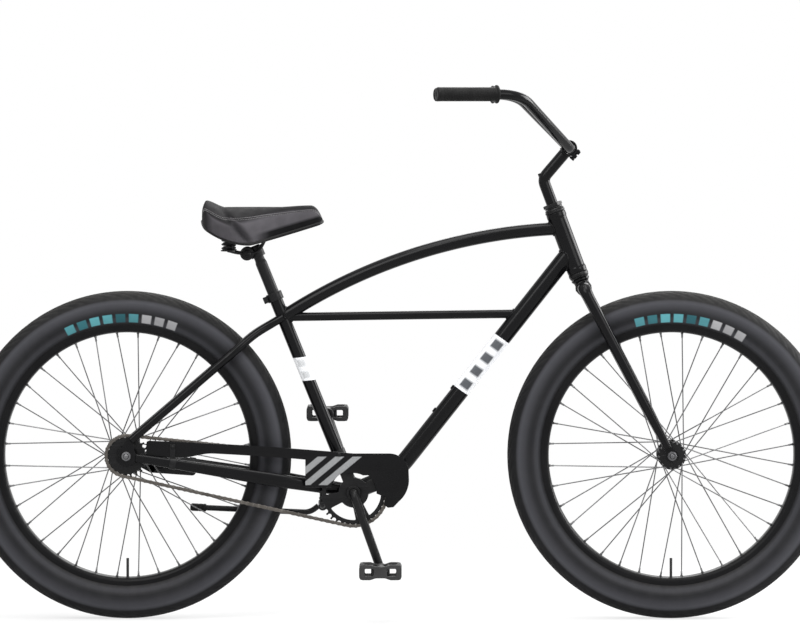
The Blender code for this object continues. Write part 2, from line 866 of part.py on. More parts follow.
def toothed_outline(teeth, radius, first_pin):
    """A sprocket's edge: a seat for each roller and a tooth between them."""
    root = radius - ROLLER_RADIUS - 0.0004
    tip = radius + TOOTH_HEIGHT
    outline = []
    for i in range(teeth):
        pin = first_pin + 2 * pi * i / teeth
        tooth = pin + pi / teeth
        for line, out, across in (
            (pin, root, -0.0026),
            (pin, root, 0.0026),
            (tooth, tip, 0),
        ):
            outline.append((out * cos(line) - across * sin(line), out * sin(line) + across * cos(line)))
    return outline


def kidney(inner, outer, middle, half_angle, count=4):
    """A hole between two radii, with its ends drawn in."""
    far = arc((0, 0), outer, middle - half_angle, middle + half_angle, count)
    near = arc((0, 0), inner, middle + half_angle * 0.8, middle - half_angle * 0.8, count - 1)
    return far + near


def make_chainring():
    """The toothed ring on its four arms, with a drive-pin hole in the arm under the crank."""
    _, _, ring_arc, _ = chain_geometry(CENTRE_DISTANCE)
    _, heading = chain_point(0, *chain_geometry(CENTRE_DISTANCE))
    outline = toothed_outline(CHAINRING_TEETH, CHAINRING_RADIUS, heading + pi / 2)
    holes = [round_hole(0, 0, CRANK_ROD_RADIUS + 2 * GAP, 16)]
    for i in range(4):
        middle = degrees(CRANK_ANGLE) + 45 + 90 * i
        holes.append(kidney(CHAINRING_RADIUS * 0.45, CHAINRING_RADIUS * 0.82, middle, 30))
    pin = polar(Vector((0, 0, 0)), DRIVE_PIN_OFFSET, CRANK_ANGLE)
    holes.append(round_hole(pin.x, pin.z, DRIVE_PIN_RADIUS + GAP, 8))
    mesh = plate_mesh(outline, TOOTH_THICKNESS, side_plane(-CHAINLINE, BB), holes)
    return piece("chainring", mesh, black_steel)


def make_sprocket():
    """The rear sprocket with the driver barrel that takes it into the hub."""
    half_spread, run, ring_arc, sprocket_arc = chain_geometry(CENTRE_DISTANCE)
    first = ceil(ring_arc + run)
    place, heading = chain_point(first, half_spread, run, ring_arc, sprocket_arc)
    outline = toothed_outline(SPROCKET_TEETH, SPROCKET_RADIUS, heading + pi / 2)
    bore = HUB_BORE + GAP
    holes = [round_hole(0, 0, bore, 10)]
    mesh = plate_mesh(outline, TOOTH_THICKNESS, side_plane(-CHAINLINE, REAR_AXLE), holes)
    sprocket = piece("rear_sprocket", mesh, black_steel)
    outer, inner = -(REAR_HUB_WIDTH / 2 - 0.005), -REAR_HUB_RIGHT - RUNNING_GAP
    profile = [
        (DRIVER_RADIUS, inner),
        (DRIVER_RADIUS, outer),
        (bore, outer),
        (bore, inner),
    ]
    barrel = turned_mesh(profile, TURNED_SIDES, REAR_AXLE, REAR_AXLE + Y_AXIS)
    join(sprocket, tool("sprocket_driver", barrel))
    return sprocket


def meet(first, first_angle, second, second_angle):
    """Where two lines of the side view cross, each given by a point and its angle."""
    along = Vector((cos(first_angle), 0, sin(first_angle)))
    other = Vector((cos(second_angle), 0, sin(second_angle)))
    between = second - first
    reach = (between.x * other.z - between.z * other.x) / (along.x * other.z - along.z * other.x)
    return first + reach * along


def along_line(angle):
    return Vector((cos(angle), 0, sin(angle)))


HEAD_TUBE_TOP = HEAD_TUBE_FOOT + HEAD_TUBE_LENGTH
HEAD_TUBE_BORE = HEAD_TUBE_RADIUS - HEAD_TUBE_WALL
STEERER_TOP = HEAD_TUBE_TOP + UPPER_STACK + LOCKNUT_HEIGHT
STEM_TOP = STEERER_TOP + STEM_RISE
HEADSET_BORE = around(STEERER_RADIUS + RUNNING_GAP, TURNED_SIDES)
DOWN_TUBE_HEAD = on_steering(HEAD_TUBE_FOOT + DOWN_TUBE_ABOVE_BOTTOM)
DOWN_TUBE_KNEE = BB + DOWN_TUBE_FOOT_RUN * along_line(DOWN_TUBE_FOOT_ANGLE)
DOWN_TUBE_ANGLE = atan2(DOWN_TUBE_HEAD.z - DOWN_TUBE_KNEE.z, DOWN_TUBE_HEAD.x - DOWN_TUBE_KNEE.x)


def seat_tube_clearance(name):
    start = BB - 0.05 * SEAT_UP
    end = BB + (SEAT_TUBE_LENGTH + 0.05) * SEAT_UP
    return tool(name + "_meets_seat_tube", bore_mesh(start, end, SEAT_TUBE_RADIUS + GAP, 24))


def head_tube_clearance(name):
    start = on_steering(HEAD_TUBE_FOOT)
    end = on_steering(HEAD_TUBE_TOP)
    return tool(name + "_meets_head_tube", bore_mesh(start, end, HEAD_TUBE_RADIUS + 2 * GAP, 24))


def shell_clearance(name):
    reach = BB_SHELL_WIDTH * Y_AXIS
    mesh = bore_mesh(BB - reach, BB + reach, BB_SHELL_RADIUS + GAP, 24)
    return tool(name + "_meets_shell", mesh)


def top_tube_path():
    """Points of the arc from the seat cluster up to the head tube."""
    start = SEAT_CLUSTER
    end = on_steering(HEAD_TUBE_TOP - TOP_TUBE_BELOW_TOP)
    chord = end - start
    below = Vector((chord.z, 0, -chord.x)).normalized()
    depth = sqrt(TOP_TUBE_ARC_RADIUS**2 - (chord.length / 2) ** 2)
    centre = (start + end) / 2 + depth * below
    first = atan2(start.z - centre.z, start.x - centre.x)
    last = atan2(end.z - centre.z, end.x - centre.x)
    return [polar(centre, TOP_TUBE_ARC_RADIUS, angle) for angle in np.linspace(first, last, 9)]


def down_tube_path():
    return rounded_path([BB, DOWN_TUBE_KNEE, DOWN_TUBE_HEAD], DOWN_TUBE_BEND, 5)


def make_head_tube():
    collar = HEAD_TUBE_RADIUS + HEAD_TUBE_FLARE
    length = HEAD_TUBE_LENGTH
    profile = [
        (collar, length),
        (collar, length - 0.010),
        (HEAD_TUBE_RADIUS, length - 0.015),
        (HEAD_TUBE_RADIUS, 0.015),
        (collar, 0.010),
        (collar, 0),
        (HEAD_TUBE_BORE, 0),
        (HEAD_TUBE_BORE, length),
    ]
    start = on_steering(HEAD_TUBE_FOOT)
    return piece("head_tube", turned_mesh(profile, TURNED_SIDES, start, on_steering(HEAD_TUBE_TOP)), black_paint)


def make_seat_tube():
    bore = around(SEATPOST_RADIUS + GAP, TURNED_SIDES)
    bottom = BB_SHELL_RADIUS * 0.5
    profile = [
        (SEAT_TUBE_RADIUS, SEAT_TUBE_LENGTH),
        (SEAT_TUBE_RADIUS, bottom),
        (bore, bottom),
        (bore, SEAT_TUBE_LENGTH),
    ]
    tube = piece("seat_tube", turned_mesh(profile, TURNED_SIDES, BB, BB + SEAT_UP), black_paint)
    cut(tube, shell_clearance("seat_tube"))
    return tube


def make_top_tube():
    tube = piece("top_tube", tube_mesh(top_tube_path(), TOP_TUBE_RADIUS, TUBE_SIDES), black_paint)
    cut(tube, seat_tube_clearance("top_tube"), head_tube_clearance("top_tube"))
    return tube


def make_mid_tube():
    """The thin straight tube under the arched one."""
    end = meet(SEAT_CLUSTER, MID_TUBE_ANGLE, DOWN_TUBE_HEAD, DOWN_TUBE_ANGLE)
    tube = piece("mid_tube", tube_mesh([SEAT_CLUSTER, end], MID_TUBE_RADIUS, SMALL_SIDES), black_paint)
    top = tube_mesh(top_tube_path()[:4], TOP_TUBE_RADIUS + GAP, TUBE_SIDES)
    down = tube_mesh([DOWN_TUBE_KNEE, DOWN_TUBE_HEAD], DOWN_TUBE_RADIUS + GAP, TUBE_SIDES)
    cut(tube, seat_tube_clearance("mid_tube"))
    cut(tube, tool("mid_tube_meets_top_tube", top), tool("mid_tube_meets_down_tube", down))
    return tube


def make_down_tube():
    tube = piece("down_tube", tube_mesh(down_tube_path(), DOWN_TUBE_RADIUS, TUBE_SIDES), black_paint)
    up = along_line(DOWN_TUBE_ANGLE)
    out = Vector((-up.z, 0, up.x))
    for i in range(2):
        foot = DOWN_TUBE_KNEE + (BOSS_DISTANCE + i * BOSS_SPACING) * up
        start = foot + DOWN_TUBE_RADIUS * 0.8 * out
        end = foot + (DOWN_TUBE_RADIUS + BOSS_HEIGHT) * out
        join(tube, tool(f"bottle_boss_{i}", rod_mesh(start, end, BOSS_RADIUS, SMALL_SIDES)))
    cut(tube, head_tube_clearance("down_tube"), shell_clearance("down_tube"))
    return tube


def make_shell():
    half = BB_SHELL_WIDTH / 2
    bore = BB_SHELL_RADIUS - BB_SHELL_WALL
    profile = [(BB_SHELL_RADIUS, half), (BB_SHELL_RADIUS, -half), (bore, -half), (bore, half)]
    return piece("bottom_bracket_shell", turned_mesh(profile, 16, BB, BB + Y_AXIS), black_paint)


def smooth(value):
    clamped = min(max(value, 0), 1)
    return clamped * clamped * (3 - 2 * clamped)


STAY_REAR = CENTRE_DISTANCE - 0.021
STAY_AT_TYRE = TYRE_WIDTH / 2 + 0.005 + CHAINSTAY_WIDTH / 2
STAY_LINE = (REAR_AXLE - BB).normalized()


def chainstay_offset(distance):
    """How far out the chainstay's centre is, this far behind the bottom bracket."""
    if distance < STAY_BESIDE_TYRE:
        share = (distance - STAY_FRONT) / (STAY_BESIDE_TYRE - STAY_FRONT)
        return STAY_ROOT_OFFSET + (STAY_AT_TYRE - STAY_ROOT_OFFSET) * smooth(share)
    share = min((distance - STAY_BESIDE_TYRE) / (STAY_REAR - STAY_BESIDE_TYRE), 1)
    return STAY_AT_TYRE + (STAY_DROPOUT_OFFSET - STAY_AT_TYRE) * share


def chainstay_size(distance):
    """The stay's height and width, which taper towards the dropout."""
    share = max((distance - STAY_BESIDE_TYRE) / (STAY_REAR - STAY_BESIDE_TYRE), 0)
    front = min(1, 0.85 + 0.15 * distance / STAY_BESIDE_TYRE)
    return (
        CHAINSTAY_HEIGHT * front * (1 - 0.4 * share),
        CHAINSTAY_WIDTH * (1 - 0.3 * share),
    )


def stay_point(distance, side):
    return BB + distance * STAY_LINE + side * chainstay_offset(distance) * Y_AXIS


def stay_rings(distances, side, spare, sides):
    path = [stay_point(d, side) for d in distances]
    heights = [chainstay_size(d)[0] + 2 * spare for d in distances]
    widths = [chainstay_size(d)[1] + 2 * spare for d in distances]
    return oval_rings(path, heights, widths, sides)


def dropout_outline(eye, slot, tab, start, end):
    """An eye with an open slot, and a tab whose end has the two given corners."""
    width = AXLE_RADIUS + 2 * GAP
    mouth = sqrt(eye**2 - width**2)
    lip = degrees(asin(width / eye))
    points = [turned_point(mouth, width, slot)]
    points += arc((0, 0), eye, slot + lip + 8, start, 5)
    points += tab
    points += arc((0, 0), eye, end, slot + 360 - lip - 8, 5)
    points.append(turned_point(mouth, -width, slot))
    points += arc((0, 0), width, slot + 270, slot + 90, 6)
    return points


def turned_point(x, y, angle):
    turn = radians(angle)
    return (x * cos(turn) - y * sin(turn), x * sin(turn) + y * cos(turn))


def seatstay_foot():
    """The foot of the seatstay's line beside the axle, and its direction up."""
    up = along_line(SEATSTAY_ANGLE)
    return REAR_AXLE + SEATSTAY_LEAD * Vector((-up.z, 0, up.x)), up


def make_chainstay(name, side):
    """One stay with its dropout plate, whose slot opens to the rear."""
    distances = [STAY_FRONT, 0.05, 0.085, 0.115, 0.15, STAY_BESIDE_TYRE, 0.33, STAY_REAR]
    stay = piece(name, loft_mesh(stay_rings(distances, side, 0, TUBE_SIDES)), black_paint)
    cut(stay, shell_clearance(name))
    foot, up = seatstay_foot()
    end = foot + SEATSTAY_START * up - REAR_AXLE
    across = SEATSTAY_RADIUS * Vector((-up.z, 0, up.x))
    tab = [((end + side_way * across).x, (end + side_way * across).z) for side_way in (-1, 1)]
    outline = dropout_outline(REAR_DROPOUT_EYE, 180, tab, 395, 475)
    offset = side * (REAR_HUB_WIDTH + DROPOUT_THICKNESS) / 2
    plate = plate_mesh(outline, DROPOUT_THICKNESS, side_plane(offset, REAR_AXLE))
    join(stay, tool(name + "_dropout", plate))
    return stay


def make_seatstay(name, side):
    """One stay: up beside the tyre, then bent forwards and drawn in to the seat tube."""
    foot, up = seatstay_foot()
    bottom = foot + (SEATSTAY_START + GAP) * up
    knee = foot + SEATSTAY_KNEE_RUN * up
    forward = (SEAT_CLUSTER - knee).normalized()
    lower = (knee - bottom).length
    upper = (SEAT_CLUSTER - knee).length - SEATSTAY_CAP
    straight = lower - SEATSTAY_SPREAD_LENGTH
    points = []
    for distance in (0, straight * 0.5, straight, straight + 0.03, straight + 0.06, lower):
        offset = seatstay_offset(distance, straight, lower + upper)
        points.append(bottom + distance * up + side * offset * Y_AXIS)
    for distance in (upper * 0.5, upper):
        offset = seatstay_offset(lower + distance, straight, lower + upper)
        points.append(knee + distance * forward + side * offset * Y_AXIS)
    stay = piece(name, tube_mesh(points, SEATSTAY_RADIUS, SMALL_SIDES), black_paint)
    cut(stay, seat_tube_clearance(name))
    return stay


def seatstay_offset(distance, straight, total):
    """How far out the seatstay's centre is: beside the tyre, then drawn in to the seat tube."""
    at_tyre = TYRE_WIDTH / 2 + 0.006 + SEATSTAY_RADIUS
    if distance <= straight:
        return STAY_DROPOUT_OFFSET + (at_tyre - STAY_DROPOUT_OFFSET) * distance / straight
    share = (distance - straight) / (total - straight)
    return at_tyre + (SEATSTAY_TOP_OFFSET - at_tyre) * smooth(share)


def make_seat_clamp():
    """The collar round the seat tube's mouth, with its split ears at the back."""
    height = 0.018
    start = BB + (SEAT_TUBE_LENGTH - height) * SEAT_UP
    outer = SEAT_TUBE_RADIUS + 0.0035
    inner = around(SEAT_TUBE_RADIUS + GAP, TURNED_SIDES)
    profile = [(outer, height), (outer, 0), (inner, 0), (inner, height)]
    collar = piece("seat_clamp", turned_mesh(profile, TURNED_SIDES, start, start + SEAT_UP), black_steel)
    turn = Matrix.Rotation(-SEAT_ANGLE, 4, "Y")
    middle = start + height / 2 * SEAT_UP - (outer + 0.003) * Vector((cos(SEAT_ANGLE), 0, sin(SEAT_ANGLE)))
    ears = box_mesh((0.011, 0.016, height * 0.8), Matrix.Translation(middle) @ turn)
    split = box_mesh((0.024, 0.0022, height * 2), Matrix.Translation(middle) @ turn)
    join(collar, tool("seat_clamp_ears", ears))
    cut(collar, tool("seat_clamp_split", split))
    bore = rod_mesh(start - 0.01 * SEAT_UP, start + 0.04 * SEAT_UP, inner, TURNED_SIDES)
    cut(collar, tool("seat_clamp_bore", bore))
    return collar


def make_headset():
    """A cup pressed into each end of the head tube."""
    skirt = HEAD_TUBE_BORE * cos(pi / TURNED_SIDES) - GAP
    upper = [
        (HEADSET_RADIUS - 0.003, UPPER_STACK),
        (HEADSET_RADIUS, UPPER_STACK - 0.004),
        (HEADSET_RADIUS, GAP),
        (skirt, GAP),
        (skirt, -0.008),
        (HEADSET_BORE, -0.008),
        (HEADSET_BORE, UPPER_STACK),
    ]
    top = on_steering(HEAD_TUBE_TOP)
    foot = on_steering(HEAD_TUBE_FOOT)
    cup = turned_mesh(upper, TURNED_SIDES, top, top - STEERING_DOWN)
    lower = [(r, h if h < GAP * 2 else h + LOWER_STACK - UPPER_STACK) for r, h in upper]
    flipped = turned_mesh(lower, TURNED_SIDES, foot, foot + STEERING_DOWN)
    return [piece("headset_cup_upper", cup, black_steel), piece("headset_cup_lower", flipped, black_steel)]


def make_locknut():
    start = on_steering(HEAD_TUBE_TOP + UPPER_STACK + GAP)
    end = on_steering(STEERER_TOP)
    nut = piece("headset_locknut", rod_mesh(start, end, HEADSET_RADIUS * 0.96, 6), black_steel)
    drill = rod_mesh(start + 0.01 * STEERING_DOWN, end - 0.01 * STEERING_DOWN, HEADSET_BORE, TURNED_SIDES)
    cut(nut, tool("headset_locknut_thread", drill))
    return nut


def make_steerer():
    """The steerer tube with the crown race, on the cross tube that carries both blades."""
    crown = on_steering(CROWN_HEIGHT)
    race = HEAD_TUBE_FOOT - LOWER_STACK - GAP - CROWN_HEIGHT
    top = STEERER_TOP - CROWN_HEIGHT
    bore = around(QUILL_RADIUS + GAP, TURNED_SIDES)
    profile = [
        (STEERER_RADIUS, top),
        (STEERER_RADIUS, race),
        (HEADSET_RADIUS - 0.002, race),
        (HEADSET_RADIUS - 0.002, race - 0.004),
        (CROWN_RADIUS + 0.001, race - 0.007),
        (CROWN_RADIUS + 0.001, 0),
        (bore, 0),
        (bore, top),
    ]
    steerer = piece("fork_steerer", turned_mesh(profile, TURNED_SIDES, crown, crown - STEERING_DOWN), black_paint)
    across = CROWN_HALF_WIDTH * Y_AXIS
    join(steerer, tool("fork_crown", rod_mesh(crown - across, crown + across, CROWN_RADIUS, TURNED_SIDES)))
    return steerer


def make_blade(name, side):
    """A blade that bends out of the crown and runs straight to its dropout."""
    crown = on_steering(CROWN_HEIGHT)
    down = (FRONT_AXLE - crown).normalized()
    start = crown + side * (CROWN_HALF_WIDTH + GAP) * Y_AXIS
    corner = crown + side * BLADE_OFFSET * Y_AXIS
    end = FRONT_AXLE - 0.020 * down + side * BLADE_OFFSET * Y_AXIS
    path = rounded_path([start, corner, end], BLADE_OFFSET - CROWN_HALF_WIDTH - 0.003, 4)
    path.insert(-1, end - BLADE_TAPER_LENGTH * down)
    radii = [CROWN_RADIUS - 0.001] + [BLADE_RADIUS + 0.001] * (len(path) - 3) + [BLADE_RADIUS, BLADE_RADIUS - 0.003]
    blade = piece(name, tube_mesh(path, BLADE_RADIUS, TUBE_SIDES, radii), black_paint)
    angle = degrees(atan2(-down.z, -down.x))
    half = BLADE_RADIUS * 0.75
    tab = [turned_point(0.034, -half, angle), turned_point(0.034, half, angle)]
    outline = dropout_outline(FRONT_DROPOUT_EYE, angle - 180, tab, angle - 40, angle + 40)
    plate = plate_mesh(outline, DROPOUT_THICKNESS, side_plane(side * BLADE_OFFSET, FRONT_AXLE))
    join(blade, tool(name + "_dropout", plate))
    return blade


def stem_clamp_centre():
    return on_steering(STEM_TOP) + STEM_REACH * along_line(STEM_ANGLE)


def make_stem():
    """A quill stem: the quill turns forwards into the arm that holds the bar clamp."""
    top = on_steering(STEM_TOP)
    centre = stem_clamp_centre()
    bottom = on_steering(STEERER_TOP - QUILL_INSERTION)
    stem = piece("stem", tube_mesh(rounded_path([bottom, top, centre], 0.014, 4), QUILL_RADIUS, TUBE_SIDES), black_paint)
    half = CLAMP_WIDTH / 2 * Y_AXIS
    join(stem, tool("stem_clamp", rod_mesh(centre - half, centre + half, CLAMP_RADIUS, 14)))
    turn = Matrix.Rotation(-STEM_ANGLE, 4, "Y")
    below = centre + (CLAMP_RADIUS + 0.001) * along_line(STEM_ANGLE - pi / 2)
    join(stem, tool("stem_ears", box_mesh((0.020, CLAMP_WIDTH * 0.7, 0.014), Matrix.Translation(below) @ turn)))
    split = box_mesh((0.0025, CLAMP_WIDTH * 2, 0.040), Matrix.Translation(below) @ turn)
    cut(stem, tool("stem_split", split))
    cut(stem, tool("stem_bar_bore", bore_mesh(centre - 2 * half, centre + 2 * half, BAR_SHIM_RADIUS + GAP, TURNED_SIDES)))
    seat = on_steering(STEM_TOP + BOLT_SEAT)
    cut(stem, tool("stem_bolt_seat", rod_mesh(seat, seat - 0.03 * STEERING_DOWN, 0.0085, SMALL_SIDES)))
    hole = bore_mesh(bottom + 0.01 * STEERING_DOWN, seat - 0.01 * STEERING_DOWN, BOLT_RADIUS + GAP, 8)
    cut(stem, tool("stem_bolt_hole", hole))
    return stem


def make_expander():
    """The long bolt down the quill, and the wedge that it draws up under it."""
    seat = on_steering(STEM_TOP + BOLT_SEAT + GAP)
    bottom = on_steering(STEERER_TOP - QUILL_INSERTION - GAP)
    end = bottom + 0.022 * STEERING_DOWN
    bolt = rod_mesh(seat - 0.0005 * STEERING_DOWN, end - 0.005 * STEERING_DOWN, BOLT_RADIUS, 8)
    expander = piece("stem_expander", bolt, black_steel)
    join(expander, tool("expander_head", rod_mesh(seat, seat - 0.007 * STEERING_DOWN, BOLT_HEAD_RADIUS, 6)))
    join(expander, tool("expander_wedge", rod_mesh(end, bottom, QUILL_RADIUS, TUBE_SIDES)))
    return expander


def handlebar_path():
    centre = stem_clamp_centre()
    corner = centre + 0.040 * Y_AXIS
    bend = centre + Vector((-BAR_PULLBACK, BAR_BEND_WIDTH / 2, BAR_RISE))
    sweep = Vector((-cos(BAR_GRIP_SWEEP), sin(BAR_GRIP_SWEEP), 0))
    reach = BAR_GRIP_WIDENING / sin(BAR_GRIP_SWEEP)
    end = bend + reach * sweep
    left = rounded_path([corner - 0.012 * Y_AXIS, corner, bend], 0.010, 3)[:-1]
    left += rounded_path([corner, bend, end], BAR_BEND, 5)[1:]
    shim = [centre + 0.0255 * Y_AXIS, centre + 0.0265 * Y_AXIS]
    return shim + left, end, sweep


def make_handlebar():
    left, _, _ = handlebar_path()
    right = [mirrored(point, -1) for point in reversed(left)]
    radii = [BAR_SHIM_RADIUS] + [BAR_RADIUS] * (len(left) - 1)
    mesh = tube_mesh(right + left, BAR_RADIUS, SMALL_SIDES, radii[::-1] + radii)
    return piece("handlebar", mesh, black_paint)


def make_grip(name, side):
    """A rubber sleeve, closed at its outer end, with a flange at the thumb."""
    _, end, sweep = handlebar_path()
    end = mirrored(end, side)
    sweep = mirrored(sweep, side)
    bore = around(BAR_RADIUS + GAP, TURNED_SIDES)
    length = GRIP_LENGTH
    points = [
        (0, length + 0.004),
        (GRIP_RADIUS - 0.003, length + 0.004),
        (GRIP_RADIUS, length),
        (GRIP_RADIUS, 0.004),
        (GRIP_RADIUS + 0.005, 0.004),
        (GRIP_RADIUS + 0.005, 0),
        (bore, 0),
        (bore, length + GAP),
        (0, length + GAP),
    ]
    mesh = bpy.data.meshes.new("grip")
    edges = [(i, i + 1) for i in range(len(points) - 1)]
    mesh.from_pydata([(radius, 0, height) for radius, height in points], edges, [])
    start = end - length * sweep
    return piece(name, turned(mesh, TURNED_SIDES, frame_along(start, end)), black_rubber)


def make_cup(name, side):
    """A bearing cup pressed into one end of the bottom bracket shell."""
    outer = (BB_SHELL_RADIUS - BB_SHELL_WALL) * cos(pi / 16) - GAP
    bore = around(CRANK_ROD_RADIUS + RUNNING_GAP, TURNED_SIDES)
    flange = BB_SHELL_RADIUS - 0.001
    profile = [
        (flange - 0.002, 0.0033),
        (flange, 0.002),
        (flange, GAP),
        (outer, GAP),
        (outer, -0.010),
        (bore, -0.010),
        (bore, 0.0033),
    ]
    start = BB + side * BB_SHELL_WIDTH / 2 * Y_AXIS
    return piece(name, turned_mesh(profile, TURNED_SIDES, start, start + side * Y_AXIS), black_steel)


def crank_eye(side):
    """The middle of the pedal eye: the right arm points down, the left one up."""
    angle = CRANK_ANGLE if side < 0 else CRANK_ANGLE + pi
    return polar(BB, CRANK_LENGTH, angle) + side * CRANK_ARM_OFFSET * Y_AXIS


def make_crank():
    """A one-piece crank: arm, spindle and arm bent from one bar, with an eye at each end."""
    corners = [BB + side * CRANK_ARM_OFFSET * Y_AXIS for side in (-1, 1)]
    route = [crank_eye(-1), *corners, crank_eye(1)]
    path = rounded_path(route, 0.017, 4)
    crank = piece("crank", tube_mesh(path, CRANK_ROD_RADIUS, SMALL_SIDES), black_steel)
    for side in (-1, 1):
        eye = crank_eye(side)
        half = side * CRANK_EYE_HALF * Y_AXIS
        join(crank, tool(f"crank_eye_{side}", rod_mesh(eye - half, eye + half, CRANK_EYE_RADIUS, TURNED_SIDES)))
        cut(crank, tool(f"crank_thread_{side}", bore_mesh(eye - 2 * half, eye + 2 * half, SPINDLE_RADIUS + GAP, SMALL_SIDES)))
    pin = polar(BB, DRIVE_PIN_OFFSET, CRANK_ANGLE)
    start = pin - CRANK_ARM_OFFSET * Y_AXIS
    end = pin - (CHAINLINE - TOOTH_THICKNESS / 2 - 0.001) * Y_AXIS
    join(crank, tool("crank_drive_pin", rod_mesh(start, end, DRIVE_PIN_RADIUS, 8)))
    return crank


PEDAL_INNER = CRANK_ARM_OFFSET + 0.0155


def make_spindle(name, side):
    """The pedal's axle: its thread in the crank's eye, its flats, and its journal."""
    eye = crank_eye(side)
    inner = eye - side * 0.008 * Y_AXIS
    outer = eye + side * (PEDAL_INNER + PEDAL_WIDTH * 0.85 - CRANK_ARM_OFFSET) * Y_AXIS
    spindle = piece(name, rod_mesh(inner, outer, SPINDLE_RADIUS, SMALL_SIDES), bright_steel)
    start = eye + side * (CRANK_EYE_HALF + GAP) * Y_AXIS
    end = eye + side * (PEDAL_INNER - CRANK_ARM_OFFSET - RUNNING_GAP) * Y_AXIS
    join(spindle, tool(name + "_flats", rod_mesh(start, end, SPINDLE_RADIUS + 0.003, 6)))
    return spindle


def make_pedal(name, side):
    """A block pedal: a barrel between two tread blocks, waisted over the spindle."""
    half = PEDAL_LENGTH / 2
    tall = PEDAL_HEIGHT / 2
    corner = 0.007
    waist = tall - 0.004
    quarter = [(0.010, waist), (0.022, tall), (half - corner, tall), (half - 0.002, tall - 0.002), (half, tall - corner)]
    right = quarter + [(x, -z) for x, z in reversed(quarter)]
    outline = right + [(-x, z) for x, z in reversed(right)]
    middle = (PEDAL_INNER + PEDAL_WIDTH / 2 - CRANK_ARM_OFFSET) * side
    eye = crank_eye(side)
    mesh = plate_mesh(outline[::-1], PEDAL_WIDTH, side_plane(eye.y + middle, eye))
    pedal = piece(name, mesh, black_rubber)
    window = (half - PEDAL_BARREL_RADIUS) * 0.5
    for way in (-1, 1):
        place = Matrix.Translation((eye.x + way * (PEDAL_BARREL_RADIUS + window / 2 + 0.002), eye.y + middle, eye.z))
        box = box_mesh((window, PEDAL_WIDTH * 0.74, PEDAL_HEIGHT * 2), place)
        cut(pedal, tool(f"{name}_window_{way}", box))
    start = eye + side * (PEDAL_INNER - CRANK_ARM_OFFSET - 0.01) * Y_AXIS
    end = eye + side * (PEDAL_INNER + PEDAL_WIDTH * 0.85 + GAP - CRANK_ARM_OFFSET) * Y_AXIS
    cut(pedal, tool(name + "_bore", bore_mesh(start, end, SPINDLE_RADIUS + RUNNING_GAP, SMALL_SIDES)))
    return pedal


GUARD_OFFSET = CHAINLINE + GUARD_CLEARANCE


def guard_top(reach):
    """Height of the guard's top edge above the bottom bracket, this far in front of it."""
    share = max(min(-reach / GUARD_LENGTH, 1), 0)
    slope = (GUARD_REAR_HEIGHT - GUARD_FRONT_HEIGHT) * share
    return GUARD_FRONT_HEIGHT + slope + GUARD_BOW * sin(pi * share)


def make_guard():
    """A bar over the upper run, which widens into a hood round the chainring's front."""
    corner = GUARD_CORNER
    ahead = GUARD_FRONT_REACH
    top = [(reach, guard_top(reach)) for reach in (ahead - corner, 0, *GUARD_LENGTH * np.array([-0.3, -0.6, -0.85, -1]))]
    tail = arc((-GUARD_LENGTH, guard_top(-GUARD_LENGTH) - GUARD_BAR / 2), GUARD_BAR / 2, 110, 250, 5)
    under = [(reach, guard_top(reach) - GUARD_BAR) for reach in GUARD_LENGTH * np.array([-0.85, -0.6, -0.3])]
    wing = GUARD_INNER_RADIUS * 1.5
    wings = [(-wing, guard_top(-wing) - GUARD_BAR - GAP), (-wing, GUARD_WING_FOOT), (-wing * 0.8, GUARD_WING_FOOT)]
    inside = arc((0, 0), GUARD_INNER_RADIUS, 172, -21, 14)
    hook = [(ahead * 0.62, -ahead * 0.27), (ahead * 0.72, -ahead * 0.26)]
    bow = GUARD_FRONT_CURL
    front = arc((ahead - bow, bow * 0.46), bow, -50, 0, 5)
    nose = arc((ahead - corner, guard_top(0) - corner), corner, 15, 90, 5)
    outline = top + tail + under + wings + inside + hook + front + nose[:-1]
    mesh = plate_mesh(outline, GUARD_THICKNESS, side_plane(-GUARD_OFFSET, BB))
    return piece("chain_guard", mesh, black_paint)


def make_guard_brackets():
    """A clip from the seat tube over the chain, and a band on the chainstay at the rear."""
    inner_face = GUARD_OFFSET - GUARD_THICKNESS / 2 - GAP
    height = GUARD_CLIP_HEIGHT
    band_height = GUARD_BAND_HEIGHT
    outer = SEAT_TUBE_RADIUS + 0.003
    inner = around(SEAT_TUBE_RADIUS + GAP, TURNED_SIDES)
    start = BB + (height - band_height / 2) * SEAT_UP
    profile = [(outer, band_height), (outer, 0), (inner, 0), (inner, band_height)]
    front = piece("guard_bracket_front", turned_mesh(profile, TURNED_SIDES, start, start + SEAT_UP), black_steel)
    reach = inner_face - inner - 0.0006
    middle = BB + height * SEAT_UP + Vector((0.0022, -inner_face + reach / 2, 0.0011))
    tab = box_mesh((0.018, reach, 0.0024), Matrix.Translation(middle))
    join(front, tool("guard_bracket_tab", tab))

    distance = GUARD_LENGTH - GUARD_STRAP_FROM_TAIL
    outer_face = GUARD_OFFSET + GUARD_THICKNESS / 2 + GAP
    rear = stay_band("guard_bracket_rear", distance, -1, 0.014)
    low = stay_point(distance, -1)
    top = BB.z + guard_top(low.x - BB.x) - 0.006
    bottom = low.z + 0.002
    place = Matrix.Translation((low.x, -outer_face - 0.00125, (top + bottom) / 2))
    strip = box_mesh((0.012, 0.0025, top - bottom), place)
    join(rear, tool("guard_bracket_strip", strip))
    cut(rear, tool("guard_bracket_stay", loft_mesh(stay_rings([distance - 0.02, distance + 0.02], -1, GAP, TUBE_SIDES))))
    return [front, rear]


def stay_band(name, distance, side, length):
    """A strap round one chainstay."""
    ends = [distance - length / 2, distance + length / 2]
    band = piece(name, loft_mesh(stay_rings(ends, side, 0.003, TUBE_SIDES)), black_steel)
    return band


